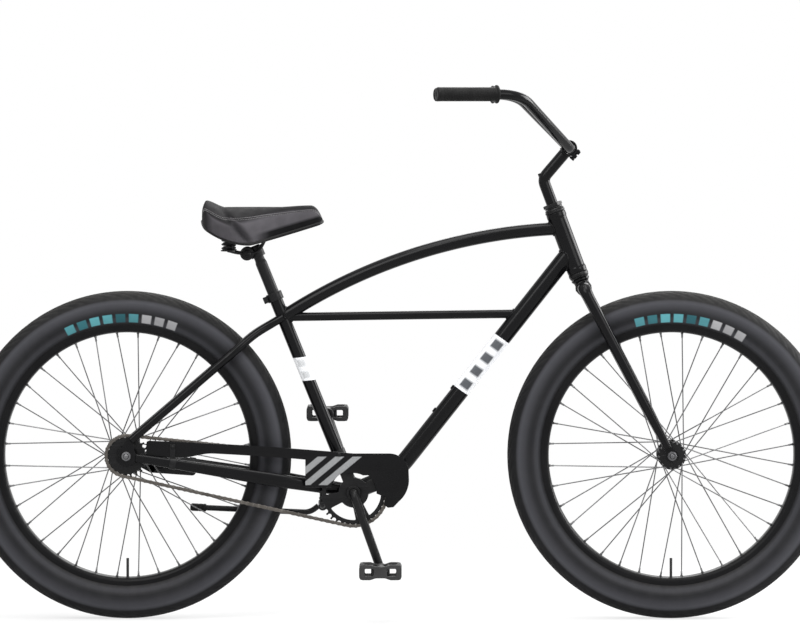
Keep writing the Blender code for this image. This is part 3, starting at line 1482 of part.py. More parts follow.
def make_brake_arm():
    """The coaster brake's reaction arm, from the hub's left end to a strap on the chainstay."""
    distance = 0.360
    arm = stay_band("coaster_brake_arm", distance, 1, 0.014)
    strap = stay_point(distance, 1) - REAR_AXLE
    height = chainstay_size(distance)[0] / 2 + 0.003
    centres = [(0, 0, 0.0155), (0.050, -0.034, 0.009), (strap.x, strap.z - height - 0.004, 0.0085)]
    face = REAR_HUB_LEFT + 0.0053
    start = REAR_AXLE + REAR_HUB_LEFT * Y_AXIS + GAP * Y_AXIS
    for n, (first, second) in enumerate(zip(centres, centres[1:])):
        outline = link_outline(first, second)
        plate = plate_mesh(outline, BRAKE_ARM_THICKNESS, side_plane(face, REAR_AXLE))
        join(arm, tool(f"brake_arm_{n}", plate))
    join(arm, tool("brake_cone", rod_mesh(start, start + 0.005 * Y_AXIS, 0.019, TURNED_SIDES)))
    knife = bore_mesh(start - 0.01 * Y_AXIS, start + 0.02 * Y_AXIS, HUB_BORE, 10)
    stay = loft_mesh(stay_rings([distance - 0.02, distance + 0.02], 1, GAP, TUBE_SIDES))
    cut(arm, tool("brake_arm_axle", knife), tool("brake_arm_stay", stay))
    return arm


def link_outline(first, second):
    """The outline round two circles, each (x, z, radius)."""
    angle = degrees(atan2(second[1] - first[1], second[0] - first[0]))
    near = arc(first[:2], first[2], angle + 90, angle + 270, 6)
    far = arc(second[:2], second[2], angle - 90, angle + 90, 5)
    return near + far


def make_seatpost():
    """A straight post, stepped down at its top to fit the saddle clamp."""
    start = BB + (SEAT_TUBE_LENGTH - POST_INSERTION) * SEAT_UP
    shoulder = BB + (POST_TOP - 0.040) * SEAT_UP
    neck = BB + (POST_TOP - 0.034) * SEAT_UP
    top = BB + POST_TOP * SEAT_UP
    radii = [SEATPOST_RADIUS, SEATPOST_RADIUS, POST_NECK_RADIUS, POST_NECK_RADIUS]
    return piece("seatpost", tube_mesh([start, shoulder, neck, top], SEATPOST_RADIUS, TURNED_SIDES, radii), black_steel)


TILT_AXLE = BB + (POST_TOP - CLAMP_BELOW_TOP) * SEAT_UP - Vector((CLAMP_BEHIND_POST, 0, CLAMP_DROP))
SADDLE_TAIL_X = TILT_AXLE.x - TAIL_BEHIND_CLAMP
SADDLE_TOP = TILT_AXLE.z + SADDLE_TOP_RISE
SADDLE_SKIRT = TILT_AXLE.z + SADDLE_SKIRT_RISE
EYELET_TOP = TILT_AXLE.z + EYELET_RISE
RAIL_HEIGHT = TILT_AXLE.z + RAIL_RISE


def make_saddle_clamp():
    """The clip round the post's neck, with the serrated barrel and bolt that the saddle tilts on."""
    height = 0.024
    start = BB + (POST_TOP - 0.002 - height) * SEAT_UP
    inner = around(POST_NECK_RADIUS + GAP, TURNED_SIDES)
    outer = POST_NECK_RADIUS + 0.005
    profile = [(outer, height), (outer, 0), (inner, 0), (inner, height)]
    clamp = piece("saddle_clamp", turned_mesh(profile, TURNED_SIDES, start, start + SEAT_UP), black_steel)
    across = CLAMP_BARREL_WIDTH / 2 * Y_AXIS
    join(clamp, tool("clamp_barrel", rod_mesh(TILT_AXLE - across, TILT_AXLE + across, CLAMP_BARREL_RADIUS, TURNED_SIDES)))
    bolt = 0.034 * Y_AXIS
    join(clamp, tool("clamp_bolt", rod_mesh(TILT_AXLE - bolt, TILT_AXLE + bolt, CLAMP_BOLT_RADIUS, 8)))
    bore = rod_mesh(start - 0.01 * SEAT_UP, start + 0.04 * SEAT_UP, inner, TURNED_SIDES)
    cut(clamp, tool("clamp_bore", bore))
    return clamp


def saddle_half_width(share):
    """Half the saddle's width from its tail at 0 to its nose at 1."""
    nose = SADDLE_NOSE_WIDTH / 2
    half = SADDLE_WIDTH / 2
    if share < 0.22:
        rear = ((0.22 - share) / 0.235) ** 3
        return half * (1 - rear) ** (1 / 3)
    drawn = 0.5 + 0.5 * cos(pi * min((share - 0.22) / 0.52, 1))
    tip = max((share - 0.90) / 0.105, 0)
    return (nose + (half - nose) * drawn) * sqrt(1 - tip**2)


def saddle_top(share):
    """Height of the seat's middle line: a raised lip at the tail and a nose that falls away."""
    lip = SADDLE_LIP * (1 - smooth((share - 0.03) / 0.17))
    tail = TAIL_DROP * max(1 - share / 0.03, 0)
    nose = NOSE_RISE * smooth((share - 0.6) / 0.3) - NOSE_DROP * max((share - 0.90) / 0.10, 0) ** 2
    return SADDLE_TOP + lip - tail + nose


def saddle_edge(share):
    """Height of the skirt's lower edge, which hangs lowest ahead of the springs."""
    if share > 0.40:
        return SADDLE_SKIRT + SKIRT_NOSE_RISE * ((share - 0.40) / 0.60) ** 1.1
    return SADDLE_SKIRT + SKIRT_TAIL_RISE * ((0.40 - share) / 0.40) ** 2


def saddle_hollow(share):
    """How far the underside is hollowed out above the skirt's edge."""
    return SADDLE_HOLLOW * smooth(share / 0.15) * smooth((1 - share) / 0.25)


SADDLE_STATIONS = [0, 0.02, 0.05, 0.10, 0.16, 0.22, 0.30, 0.38, 0.46, 0.54, 0.62, 0.70, 0.78, 0.86, 0.92, 0.96, 0.985, 1]


def saddle_ring(share):
    """The cushion's section: a crown, sides that swell and draw in, and a hollow underside."""
    x = SADDLE_TAIL_X + SADDLE_LENGTH * share
    half = saddle_half_width(share)
    top = saddle_top(share)
    edge = saddle_edge(share)
    widest = edge + 0.42 * (top - edge)
    crown = top - CROWN_DROP * (half / (SADDLE_WIDTH / 2)) ** 2
    ring = []
    for angle in np.radians(np.linspace(0, 180, 11)):
        out = half * np.sign(cos(angle)) * abs(cos(angle)) ** 0.75
        lift = abs(sin(angle)) ** 0.7
        ring.append(Vector((x, out, widest + (top - widest) * lift - (top - crown) * (abs(out) / half) ** 2 * lift)))
    under = [
        (-0.93, edge + 0.25 * (widest - edge)),
        (-0.86, edge),
        (-0.80, edge + 0.001),
        (-0.74, edge + saddle_hollow(share)),
    ]
    for out, height in under:
        ring.append(Vector((x, out * half, height)))
    for out, height in reversed(under):
        ring.append(Vector((x, -out * half, height)))
    return ring


def make_saddle_cover():
    mesh = loft_mesh([saddle_ring(share) for share in SADDLE_STATIONS])
    return piece("saddle_cover", mesh, lambda name: finish(name, (0.075, 0.07, 0.08), 0.55))


def base_bottom(share):
    return saddle_edge(share) + saddle_hollow(share) - GAP - SADDLE_BASE_THICKNESS


def make_saddle_base():
    """The pan that fills the hollow under the cushion."""
    rings = []
    for share in SADDLE_STATIONS[3:-3]:
        x = SADDLE_TAIL_X + SADDLE_LENGTH * share
        half = saddle_half_width(share) * 0.72
        low = base_bottom(share)
        high = low + SADDLE_BASE_THICKNESS
        rings.append([Vector((x, y, z)) for y, z in ((half, high), (-half, high), (-half, low), (half, low))])
    base = piece("saddle_base", loft_mesh(rings), black_steel)
    for name, side in SIDES:
        join(base, tool("spring_seat_" + name, spring_seat(side)))
    return base


def pan_share(x):
    return (x - SADDLE_TAIL_X) / SADDLE_LENGTH


def spring_seat(side):
    """A round pad under the sloping pan, with a level face for the spring."""
    circle = arc((SPRING_X, side * SPRING_SPREAD / 2), SPRING_SEAT_RADIUS, 0, 330, 12)
    low = [Vector((x, y, SPRING_TOP)) for x, y in circle]
    high = [Vector((x, y, base_bottom(pan_share(x)) + SADDLE_BASE_THICKNESS / 2)) for x, y in circle]
    return loft_mesh([low, high])


SPRING_X = SADDLE_TAIL_X + SADDLE_LENGTH * SPRING_SHARE
SPRING_TOP = base_bottom(SPRING_SHARE + SPRING_SEAT_RADIUS / SADDLE_LENGTH) - 0.001


def make_spring(name, side):
    """A coil spring of one wire between the rail's eyelet and the pan."""
    centre = Vector((SPRING_X, side * SPRING_SPREAD / 2, 0))
    low = EYELET_TOP + GAP
    high = SPRING_TOP - GAP
    wire = SPRING_WIRE_RADIUS
    climb_low, climb_high = low + 2 * wire, high - 2 * wire
    steps = SPRING_CURLS * SPRING_STEPS
    points = []
    for i in range(steps + 1):
        angle = 2 * pi * i / SPRING_STEPS
        height = climb_low + (climb_high - climb_low) * i / steps
        points.append(centre + Vector((SPRING_RADIUS * cos(angle), SPRING_RADIUS * sin(angle), height)))
    pitch = (climb_high - climb_low) / SPRING_CURLS
    gap = pitch - 2 * wire
    print(f"{name}: least gap between its curls {gap * 1000:.2f} mm")
    points.insert(0, Vector((points[0].x, points[0].y, low)))
    points.append(Vector((points[-1].x, points[-1].y, high)))
    return piece(name, tube_mesh(points, wire, 6), black_steel)


def make_rails():
    """Two steel rails from the pan's nose through the tilt cheeks to the spring eyelets."""
    nose_x = SADDLE_TAIL_X + SADDLE_LENGTH * RAIL_NOSE_SHARE
    nose_z = base_bottom(RAIL_NOSE_SHARE) - RAIL_RADIUS - RAIL_NOSE_GAP
    half = RAIL_SPREAD / 2
    low = EYELET_TOP - EYELET_THICKNESS
    rails = None
    for side in (-1, 1):
        path = [
            Vector((nose_x, 0, nose_z)),
            Vector((nose_x - RAIL_RADIUS, side * half * 0.4, nose_z)),
            Vector((nose_x - RAIL_NOSE_RUN, side * half * 0.7, nose_z - RAIL_NOSE_RUN * 0.4)),
            Vector((TILT_AXLE.x + RAIL_STRAIGHT, side * half, RAIL_HEIGHT + RAIL_RADIUS)),
            Vector((TILT_AXLE.x + RAIL_STRAIGHT * 0.7, side * half, RAIL_HEIGHT)),
            Vector((TILT_AXLE.x - RAIL_STRAIGHT * 0.3, side * half, RAIL_HEIGHT)),
            Vector((SPRING_X, side * SPRING_SPREAD / 2, low + EYELET_THICKNESS / 2)),
        ]
        mesh = tube_mesh(path, RAIL_RADIUS, 6)
        if rails is None:
            rails = piece("saddle_rails", mesh, black_steel)
        else:
            join(rails, tool("saddle_rail_left", mesh))
        centre = Vector((SPRING_X, side * SPRING_SPREAD / 2, low))
        eyelet = rod_mesh(centre, centre + EYELET_THICKNESS * Z_AXIS, EYELET_RADIUS, TUBE_SIDES)
        join(rails, tool(f"spring_eyelet_{side}", eyelet))
        inner = TILT_AXLE + side * (CLAMP_BARREL_WIDTH / 2 + GAP) * Y_AXIS
        outer = inner + side * 0.012 * Y_AXIS
        join(rails, tool(f"tilt_cheek_{side}", rod_mesh(inner, outer, CHEEK_RADIUS, TUBE_SIDES)))
    across = 0.05 * Y_AXIS
    cut(rails, tool("tilt_bolt_hole", bore_mesh(TILT_AXLE - across, TILT_AXLE + across, CLAMP_BOLT_RADIUS + GAP, 8)))
    return rails


def kickstand_directions():
    """The leg's direction folded and down, and the hinge axis between them, pointing outwards."""
    folded = Vector((-0.9993, 0.0122, -0.0367)).normalized()
    drop = KICKSTAND_PIVOT.z - KICKSTAND_FOOT_RADIUS - 0.002
    down_share = drop / KICKSTAND_LENGTH
    out_share = sin(KICKSTAND_LEAN)
    fore_share = sqrt(max(1 - down_share**2 - out_share**2, 0))
    deployed = Vector((fore_share, out_share, -down_share)).normalized()
    axis = deployed.cross(folded).normalized()
    if axis.y < 0:
        axis = -axis
    return folded, deployed, axis


def make_kickstand_bracket():
    """A plate between the chainstays with the lug and pivot pin that carry the leg."""
    front, rear = 0.056, 0.086
    corners = []
    for distance, side in ((front, 1), (rear, 1), (rear, -1), (front, -1)):
        point = stay_point(distance, side)
        reach = chainstay_offset(distance) - chainstay_size(distance)[1] / 2 - GAP
        corners.append((point.x, side * reach))
    middle = BB + (front + rear) / 2 * STAY_LINE
    plate = plate_mesh(corners, 0.004, Matrix.Translation((0, 0, middle.z)))
    bracket = piece("kickstand_bracket", plate, black_paint)
    _, _, axis = kickstand_directions()
    pivot = KICKSTAND_PIVOT
    housing_end = pivot - (HINGE_EYE_HALF + GAP) * axis
    housing_start = housing_end - 0.014 * axis
    hang = Vector((pivot.x, 0.018, middle.z))
    lug = rounded_path([hang, Vector((pivot.x, 0.020, pivot.z - 0.006)), housing_end - 0.007 * axis], 0.012, 4)
    join(bracket, tool("kickstand_lug", tube_mesh(lug, 0.0065, 6)))
    join(bracket, tool("kickstand_housing", rod_mesh(housing_start, housing_end, HINGE_EYE_RADIUS, TUBE_SIDES)))
    pin_end = pivot + (HINGE_EYE_HALF + GAP + 0.001) * axis
    join(bracket, tool("kickstand_pin", rod_mesh(housing_start, pin_end, HINGE_PIN_RADIUS, 8)))
    head = rod_mesh(pivot + (HINGE_EYE_HALF + GAP) * axis, pivot + (HINGE_EYE_HALF + 0.0035) * axis, 0.0075, 6)
    join(bracket, tool("kickstand_pin_head", head))
    return bracket


def make_kickstand():
    """The leg, folded back beside the tyre, and the rubber foot on its end."""
    folded, _, axis = kickstand_directions()
    pivot = KICKSTAND_PIVOT
    tip = pivot + KICKSTAND_LENGTH * folded
    elbow = pivot + Vector((-0.028, 0.001, -0.022))
    path = rounded_path([pivot, elbow, tip], 0.014, 4)
    leg = piece("kickstand_leg", tube_mesh(path, KICKSTAND_RADIUS, SMALL_SIDES), black_steel)
    half = HINGE_EYE_HALF * axis
    join(leg, tool("kickstand_eye", rod_mesh(pivot - half, pivot + half, HINGE_EYE_RADIUS, TUBE_SIDES)))
    for way, name in ((-1, "inner"), (1, "outer")):
        face = pivot + way * HINGE_EYE_HALF * axis
        trim = rod_mesh(face, face + way * 0.02 * axis, 0.016, SMALL_SIDES)
        cut(leg, tool(f"kickstand_face_{name}", trim))
    cut(leg, tool("kickstand_pin_hole", bore_mesh(pivot - 3 * half, pivot + 3 * half, HINGE_PIN_RADIUS + GAP, 8)))

    along = (tip - elbow).normalized()
    back = tip - 0.030 * along
    bore = around(KICKSTAND_RADIUS + GAP, SMALL_SIDES)
    radius = KICKSTAND_FOOT_RADIUS
    points = [(0, 0.035), (radius - 0.002, 0.035), (radius, 0.033), (radius, 0), (bore, 0), (bore, 0.0303), (0, 0.0303)]
    mesh = bpy.data.meshes.new("foot")
    edges = [(i, i + 1) for i in range(len(points) - 1)]
    mesh.from_pydata([(r, 0, h) for r, h in points], edges, [])
    foot = piece("kickstand_foot", turned(mesh, SMALL_SIDES, frame_along(back, tip)), black_rubber)
    return [leg, foot]


def make_wheel(prefix, axle, ends, flanges, flange_radius, barrel, collar):
    return [
        make_tyre(prefix + "_tyre", axle),
        make_rim(prefix + "_rim", axle),
        make_inner_tube(prefix + "_inner_tube", axle),
        make_hub(prefix + "_hub", axle, ends, flanges, flange_radius, barrel, collar),
    ]


def build():
    make_head_tube()
    make_seat_tube()
    make_top_tube()
    make_mid_tube()
    make_down_tube()
    make_shell()
    make_seat_clamp()
    make_headset()
    make_chain()
    make_guard()
    make_guard_brackets()
    make_brake_arm()
    make_kickstand_bracket()
    make_axle("rear_axle", REAR_AXLE, REAR_HUB_WIDTH, (-REAR_HUB_WIDTH / 2 + 0.0047, REAR_HUB_LEFT + 0.0068))
    for name, side in SIDES:
        make_chainstay("chainstay_" + name, side)
        make_seatstay("seatstay_" + name, side)
        make_axle_nut("rear_axle_nut_" + name, REAR_AXLE, REAR_HUB_WIDTH, side)
        make_cup("bb_cup_" + name, side)

    steering = group("steering_axis", on_steering(HEAD_TUBE_FOOT))
    carry(steering, make_steerer(), make_locknut())
    carry(steering, make_axle("front_axle", FRONT_AXLE, FRONT_HUB_WIDTH, (-FRONT_HUB_END - GAP, FRONT_HUB_END + GAP)))
    for name, side in SIDES:
        carry(steering, make_blade("fork_blade_" + name, side))
        carry(steering, make_axle_nut("front_axle_nut_" + name, FRONT_AXLE, FRONT_HUB_WIDTH, side))

    spacing = FRONT_FLANGE_SPACING / 2
    front = make_wheel(
        "front", FRONT_AXLE, (-FRONT_HUB_END, FRONT_HUB_END), (-spacing, spacing),
        FRONT_FLANGE_RADIUS, FRONT_BARREL_RADIUS, 0.012,
    )
    carry(group("front_wheel_axis", FRONT_AXLE), *front)
    rear = make_wheel(
        "rear", REAR_AXLE, (-REAR_HUB_RIGHT, REAR_HUB_LEFT), (-REAR_FLANGE_RIGHT, REAR_FLANGE_LEFT),
        REAR_FLANGE_RADIUS, REAR_BARREL_RADIUS, 0.020,
    )
    carry(group("rear_wheel_axis", REAR_AXLE), *rear)
    carry(group("sprocket_axis", REAR_AXLE), make_sprocket())

    carry(group("stem_axis", on_steering(STEM_TOP)), make_stem(), make_expander())
    bar = group("handlebar_axis", stem_clamp_centre())
    carry(bar, make_handlebar(), *[make_grip("grip_" + name, side) for name, side in SIDES])

    crankset = group("crank_axis", BB)
    carry(crankset, make_crank(), make_chainring())
    for name, side in SIDES:
        carry(crankset, make_spindle("pedal_spindle_" + name, side))
        carry(group(f"pedal_{name}_axis", crank_eye(side)), make_pedal("pedal_" + name, side))

    carry(group("kickstand_axis", KICKSTAND_PIVOT), *make_kickstand())
    carry(group("seatpost_axis", BB + SEAT_TUBE_LENGTH * SEAT_UP), make_seatpost(), make_saddle_clamp())
    saddle = group("saddle_axis", TILT_AXLE)
    carry(saddle, make_saddle_cover(), make_saddle_base(), make_rails())
    carry(saddle, *[make_spring("saddle_spring_" + name, side) for name, side in SIDES])


build()
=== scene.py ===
import json
import math

import bmesh
import bpy
import numpy as np
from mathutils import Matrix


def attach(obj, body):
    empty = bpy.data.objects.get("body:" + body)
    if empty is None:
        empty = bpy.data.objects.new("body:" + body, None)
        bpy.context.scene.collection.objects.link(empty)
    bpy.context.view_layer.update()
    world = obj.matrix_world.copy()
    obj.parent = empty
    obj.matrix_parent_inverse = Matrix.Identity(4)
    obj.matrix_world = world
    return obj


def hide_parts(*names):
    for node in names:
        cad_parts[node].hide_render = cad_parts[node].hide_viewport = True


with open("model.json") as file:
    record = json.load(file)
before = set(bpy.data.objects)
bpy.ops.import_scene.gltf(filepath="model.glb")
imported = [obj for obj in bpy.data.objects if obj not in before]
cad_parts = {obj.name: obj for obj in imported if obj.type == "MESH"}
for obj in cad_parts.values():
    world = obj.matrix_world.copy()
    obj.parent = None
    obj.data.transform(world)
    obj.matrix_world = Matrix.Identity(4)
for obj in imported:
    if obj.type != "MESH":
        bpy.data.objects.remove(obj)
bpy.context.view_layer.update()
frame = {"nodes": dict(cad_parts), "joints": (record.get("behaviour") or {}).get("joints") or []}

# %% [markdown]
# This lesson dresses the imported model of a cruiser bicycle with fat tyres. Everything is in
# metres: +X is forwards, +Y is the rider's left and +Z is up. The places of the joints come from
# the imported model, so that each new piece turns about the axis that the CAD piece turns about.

joints = {joint["name"]: joint for joint in frame["joints"]}
joined = np.concatenate


def joint_place(name):
    """Where a joint turns or slides, in metres."""
    return np.array(joints[name]["pos_m"], float)


def unit(vectors):
    """Each vector divided by its own length."""
    vectors = np.asarray(vectors, float)
    return vectors / np.linalg.norm(vectors, axis=-1, keepdims=True)


X, Y, Z = np.eye(3)
FIT = 0.0003  # the gap between two parts that touch
REAR_AXLE = joint_place("rear_wheel_spin")
FRONT_AXLE = joint_place("front_wheel_spin")
WHEELS = (("front", FRONT_AXLE), ("rear", REAR_AXLE))
CRANK_AXLE = joint_place("crank_spin")
BAR_CENTRE = joint_place("handlebar_tilt")
TILT_AXLE = joint_place("saddle_tilt")
STAND_PIVOT = joint_place("kickstand_swing")
STEERING_UP = unit(joints["steering"]["axis"])
STEERING_FOOT = joint_place("steering")
SEAT_UP = unit(joints["seatpost_height"]["axis"])
SIDES = (("left", 1), ("right", -1))
print("rear axle", REAR_AXLE, "front axle", FRONT_AXLE, "bottom bracket", CRANK_AXLE)

# %% [markdown]
# A photograph from a long way off has almost no perspective, and this one was taken from about
# fourteen metres with a long lens, as high as the bar's grips. The camera comes first,
# so that every piece can be judged from the same place. The floor and the world show plain
# white to the camera and to mirrors, while the lamps and the grey world light the object at a
# level where a colour comes out about as it is written.

# %% Camera
from mathutils import Vector

CAMERA_PLACE, CAMERA_AIM = (0.0015, -14.0, 1.125), (0.0015, 0.0, 0.6523)
SENSOR_WIDTH, LENS = 36, 288.6


def placed(name, data):
    """A new object of a mesh, a lamp or a camera, linked to the scene."""
    item = bpy.data.objects.new(name, data)
    bpy.context.scene.collection.objects.link(item)
    return item


def aimed(item, place, aim):
    """A camera or a lamp set down at a place, so that it looks at a point."""
    item.location = place
    item.rotation_euler = (Vector(aim) - Vector(place)).to_track_quat("-Z", "Y").to_euler()


camera = placed("camera", bpy.data.cameras.new("camera"))
camera.data.sensor_width, camera.data.lens = SENSOR_WIDTH, LENS
aimed(camera, CAMERA_PLACE, CAMERA_AIM)
bpy.context.scene.camera = camera
bpy.context.scene.view_settings.view_transform = "Standard"
print("camera at", CAMERA_PLACE, "with a lens of", LENS, "mm")


# %% Helpers that place and join shader nodes
def add_node(tree, kind, values=None, **settings):
    """A shader node with its settings, and a value or a link for each input that is named."""
    made = tree.nodes.new("ShaderNode" + kind)
    for setting, value in settings.items():
        setattr(made, setting, value)
    for name, value in (values or {}).items():
        if isinstance(value, bpy.types.NodeSocket):
            tree.links.new(value, made.inputs[name])
        else:
            made.inputs[name].default_value = value
    return made


def maths(tree, operation, first, second=0.0, third=0.0, clamp=False):
    """The output of a Math node."""
    made = add_node(tree, "Math", {0: first, 1: second, 2: third}, operation=operation, use_clamp=clamp)
    return made.outputs[0]


def product(tree, first, *others):
    """All the values multiplied together."""
    for other in others:
        first = maths(tree, "MULTIPLY", first, other)
    return first


def ramp(tree, value, first, last, low=0.0, high=1.0):
    """From low where a value is the first number, in a straight line to high where it is the last."""
    limits = {"Value": value, "From Min": first, "From Max": last, "To Min": low, "To Max": high}
    return add_node(tree, "MapRange", limits).outputs[0]


def between(tree, value, low, high, soft):
    """1 where a value lies between two limits, with soft edges."""
    rise, fall = ramp(tree, value, low - soft, low + soft), ramp(tree, value, high + soft, high - soft)
    return product(tree, rise, fall)


def object_place(tree):
    """Object coordinates: on every finished piece, the place in metres in the bicycle's frame."""
    return add_node(tree, "TexCoord").outputs["Object"]


# %% World, floor and lamps
def plain_rays(tree):
    """1 for a ray that looks, straight, in a mirror or through glass, and 0 for one that lights."""
    rays = add_node(tree, "LightPath").outputs
    seen = maths(tree, "ADD", rays["Is Camera Ray"], rays["Is Glossy Ray"])
    return maths(tree, "ADD", seen, rays["Is Transmission Ray"], clamp=True)


def emptied(holder):
    """The node tree of a world or a material, with its first nodes cleared away."""
    holder.use_nodes = True
    holder.node_tree.nodes.clear()
    return holder.node_tree


WORLD_LIGHT = 0.52
world = bpy.data.worlds.new("studio")
bpy.context.scene.world = world
tree = emptied(world)
strength = ramp(tree, plain_rays(tree), 0, 1, WORLD_LIGHT)
sky = add_node(tree, "Background", {"Color": (1, 1, 1, 1), "Strength": strength})
add_node(tree, "OutputWorld", {"Surface": sky.outputs[0]})

FLOOR_HALF, FLOOR_GREY = 9.0, (0.86, 0.86, 0.86, 1)
SHADOW_REACH, WHITE_REACH, LEAST_WHITE = 0.9, 2.2, 0.7
floor_mesh = bpy.data.meshes.new("floor")
corners = [(x * FLOOR_HALF, y * FLOOR_HALF, 0) for x, y in ((-1, -1), (1, -1), (1, 1), (-1, 1))]
floor_mesh.from_pydata(corners, [], [(0, 1, 2, 3)])
floor = placed("floor", floor_mesh)
floor_look = bpy.data.materials.new("floor")
tree = emptied(floor_look)
distance = add_node(tree, "VectorMath", {0: object_place(tree)}, operation="LENGTH").outputs["Value"]
far = ramp(tree, distance, SHADOW_REACH, WHITE_REACH, LEAST_WHITE)
pale = add_node(tree, "BsdfDiffuse", {"Color": FLOOR_GREY}).outputs[0]
white = add_node(tree, "Emission", {"Color": (1, 1, 1, 1), "Strength": 1.0}).outputs[0]
mixed = add_node(tree, "MixShader", {0: product(tree, far, plain_rays(tree)), 1: pale, 2: white})
add_node(tree, "OutputMaterial", {"Surface": mixed.outputs[0]})
floor_mesh.materials.append(floor_look)


def softbox(name, place, aim, size, watts):
    """A square lamp that looks at a point."""
    data = bpy.data.lights.new(name, "AREA")
    data.shape, data.size, data.energy = "SQUARE", size, watts
    aimed(placed(name, data), place, aim)


MIDDLE = (0, 0, 0.5)
softbox("key", (-1.6, -3.2, 3.4), MIDDLE, 2.4, 85)
softbox("fill", (2.8, -2.6, 2.2), MIDDLE, 2.0, 40)
softbox("overhead", (0.2, -0.9, 4.2), (0.1, 0, 0.5), 2.6, 100)
softbox("behind", (0.6, 3.4, 3.2), MIDDLE, 2.4, 70)
softbox("edge", (2.8, 0.7, 1.5), (0.4, 0, 0.9), 1.6, 90)

# %% [markdown]
# New pieces are skins over a grid of points. A tube is a circle carried along a route, and a hub is
# a profile turned round an axle. Each is worked out as one array of numpy, and only then handed to
# Blender. These few functions make them all.


# %% Grids, skins and pieces
def skin(points, closed_rows=False, closed_ring=True, capped=True):
    """Faces over a grid of points: point (i, j) with its neighbours i + 1 and j + 1 makes a face.

    A closed direction joins its last line to its first, and an open tube is capped by a fan from
    the mean of its end ring. The UV map holds the distance along the rows in metres, and
    the share of the way round the ring.
    """
    rows, ring = points.shape[:2]
    i = np.arange(rows if closed_rows else rows - 1)
    j = np.arange(ring if closed_ring else ring - 1)
    i, j = np.meshgrid(i, j, indexing="ij")
    after, beside = (i + 1) % rows, (j + 1) % ring
    quads = np.stack([i * ring + j, i * ring + beside, after * ring + beside, after * ring + j], -1)
    step = np.linalg.norm(np.roll(points, -1, 0) - points, axis=-1).mean(1)
    along = joined([[0], np.cumsum(step)])
    u = np.stack([along[i], along[i], along[i + 1], along[i + 1]], -1)
    v = np.stack([j, j + 1, j + 1, j], -1) / ring
    corners = [quads.ravel()]
    uvs = [np.stack([u, v], -1).reshape(-1, 2)]
    counts = [np.full(i.size, 4)]
    places = [points.reshape(-1, 3)]
    if capped and not closed_rows and closed_ring:
        j = np.arange(ring)
        for n, row in enumerate((0, rows - 1)):
            pole = np.full(ring, rows * ring + n)
            corners.append(np.stack([pole, row * ring + j, row * ring + (j + 1) % ring], -1).ravel())
            flat = np.stack([np.full(ring, along[row]), j / ring], -1)
            uvs.append(np.repeat(flat, 3, axis=0))
            counts.append(np.full(ring, 3))
            places.append(points[row].mean(0, keepdims=True))
    return joined(places), joined(corners), joined(counts), joined(uvs)


def piece(name, skins, look, body, slot, *nodes, sharp=40):
    """One mesh of several skins, with outward faces, that rides on a body and replaces CAD nodes."""
    places, corners, counts, uvs = zip(*skins)
    starts = np.cumsum([0] + [len(p) for p in places[:-1]])
    corners = joined([c + start for c, start in zip(corners, starts)])
    counts = joined(counts)
    mesh = bpy.data.meshes.new(name)
    mesh.vertices.add(sum(len(p) for p in places))
    mesh.vertices.foreach_set("co", joined(places).astype(np.float32).ravel())
    mesh.loops.add(len(corners))
    mesh.loops.foreach_set("vertex_index", corners.astype(np.int32))
    mesh.polygons.add(len(counts))
    mesh.polygons.foreach_set("loop_start", (np.cumsum(counts) - counts).astype(np.int32))
    mesh.update(calc_edges=True)
    layer = mesh.uv_layers.new(name="UVMap")
    layer.uv.foreach_set("vector", joined(uvs).astype(np.float32).ravel())
    bm = bmesh.new()
    bm.from_mesh(mesh)
    bmesh.ops.recalc_face_normals(bm, faces=bm.faces)
    bm.to_mesh(mesh)
    bm.free()
    mesh.shade_smooth()
    mesh.set_sharp_from_angle(angle=math.radians(sharp))
    mesh.materials.append(look)
    item = placed(name, mesh)
    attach(item, body)
    if nodes:
        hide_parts(*nodes)
    print(f"{name}: {len(mesh.polygons)} faces, on {body}")
    return item


# %% Routes and the rings round them
EDGE_SHARE = 0.48


def softened(corners, bend, count=6, closed=False):
    """Each corner becomes the curve (1-t)^2 start + 2t(1-t) corner + t^2 end.

    Start and end lie one bend from the corner along its two edges, or less on a short edge, so
    that two bends on one edge never meet. Bend is one number, or one for each corner.
    """
    corners = np.asarray(corners, float)
    t = np.linspace(0, 1, count)[:, None]
    ends = []
    for neighbour in (np.roll(corners, 1, 0), np.roll(corners, -1, 0)):
        way = neighbour - corners
        length = np.linalg.norm(way, axis=1)
        reach = np.minimum(bend, EDGE_SHARE * length)
        ends.append((corners + reach[:, None] * way / length[:, None])[:, None])
    curves = (1 - t) ** 2 * ends[0] + 2 * t * (1 - t) * corners[:, None] + t**2 * ends[1]
    if closed:
        return curves.reshape(-1, corners.shape[1])
    inner = curves[1:-1].reshape(-1, corners.shape[1])
    return joined([corners[:1], inner, corners[-1:]])


def run_along(path):
    """The distance along a path at each of its points."""
    return joined([[0], np.cumsum(np.linalg.norm(np.diff(path, axis=0), axis=1))])


def stepped(path, step):
    """The path again with a point about every step of its length."""
    path = np.asarray(path, float)
    run = run_along(path)
    marks = np.linspace(0, run[-1], max(int(run[-1] / step), 2) + 1)
    return np.stack([np.interp(marks, run, path[:, k]) for k in range(3)], -1)


def looped(ring, step):
    """A closed line again with a point about every step of its length."""
    return stepped(joined([ring, ring[:1]]), step)[:-1]


def circle(count):
    """The angles of evenly spread points round a circle, as a column."""
    return np.linspace(0, 2 * np.pi, count, endpoint=False)[:, None]


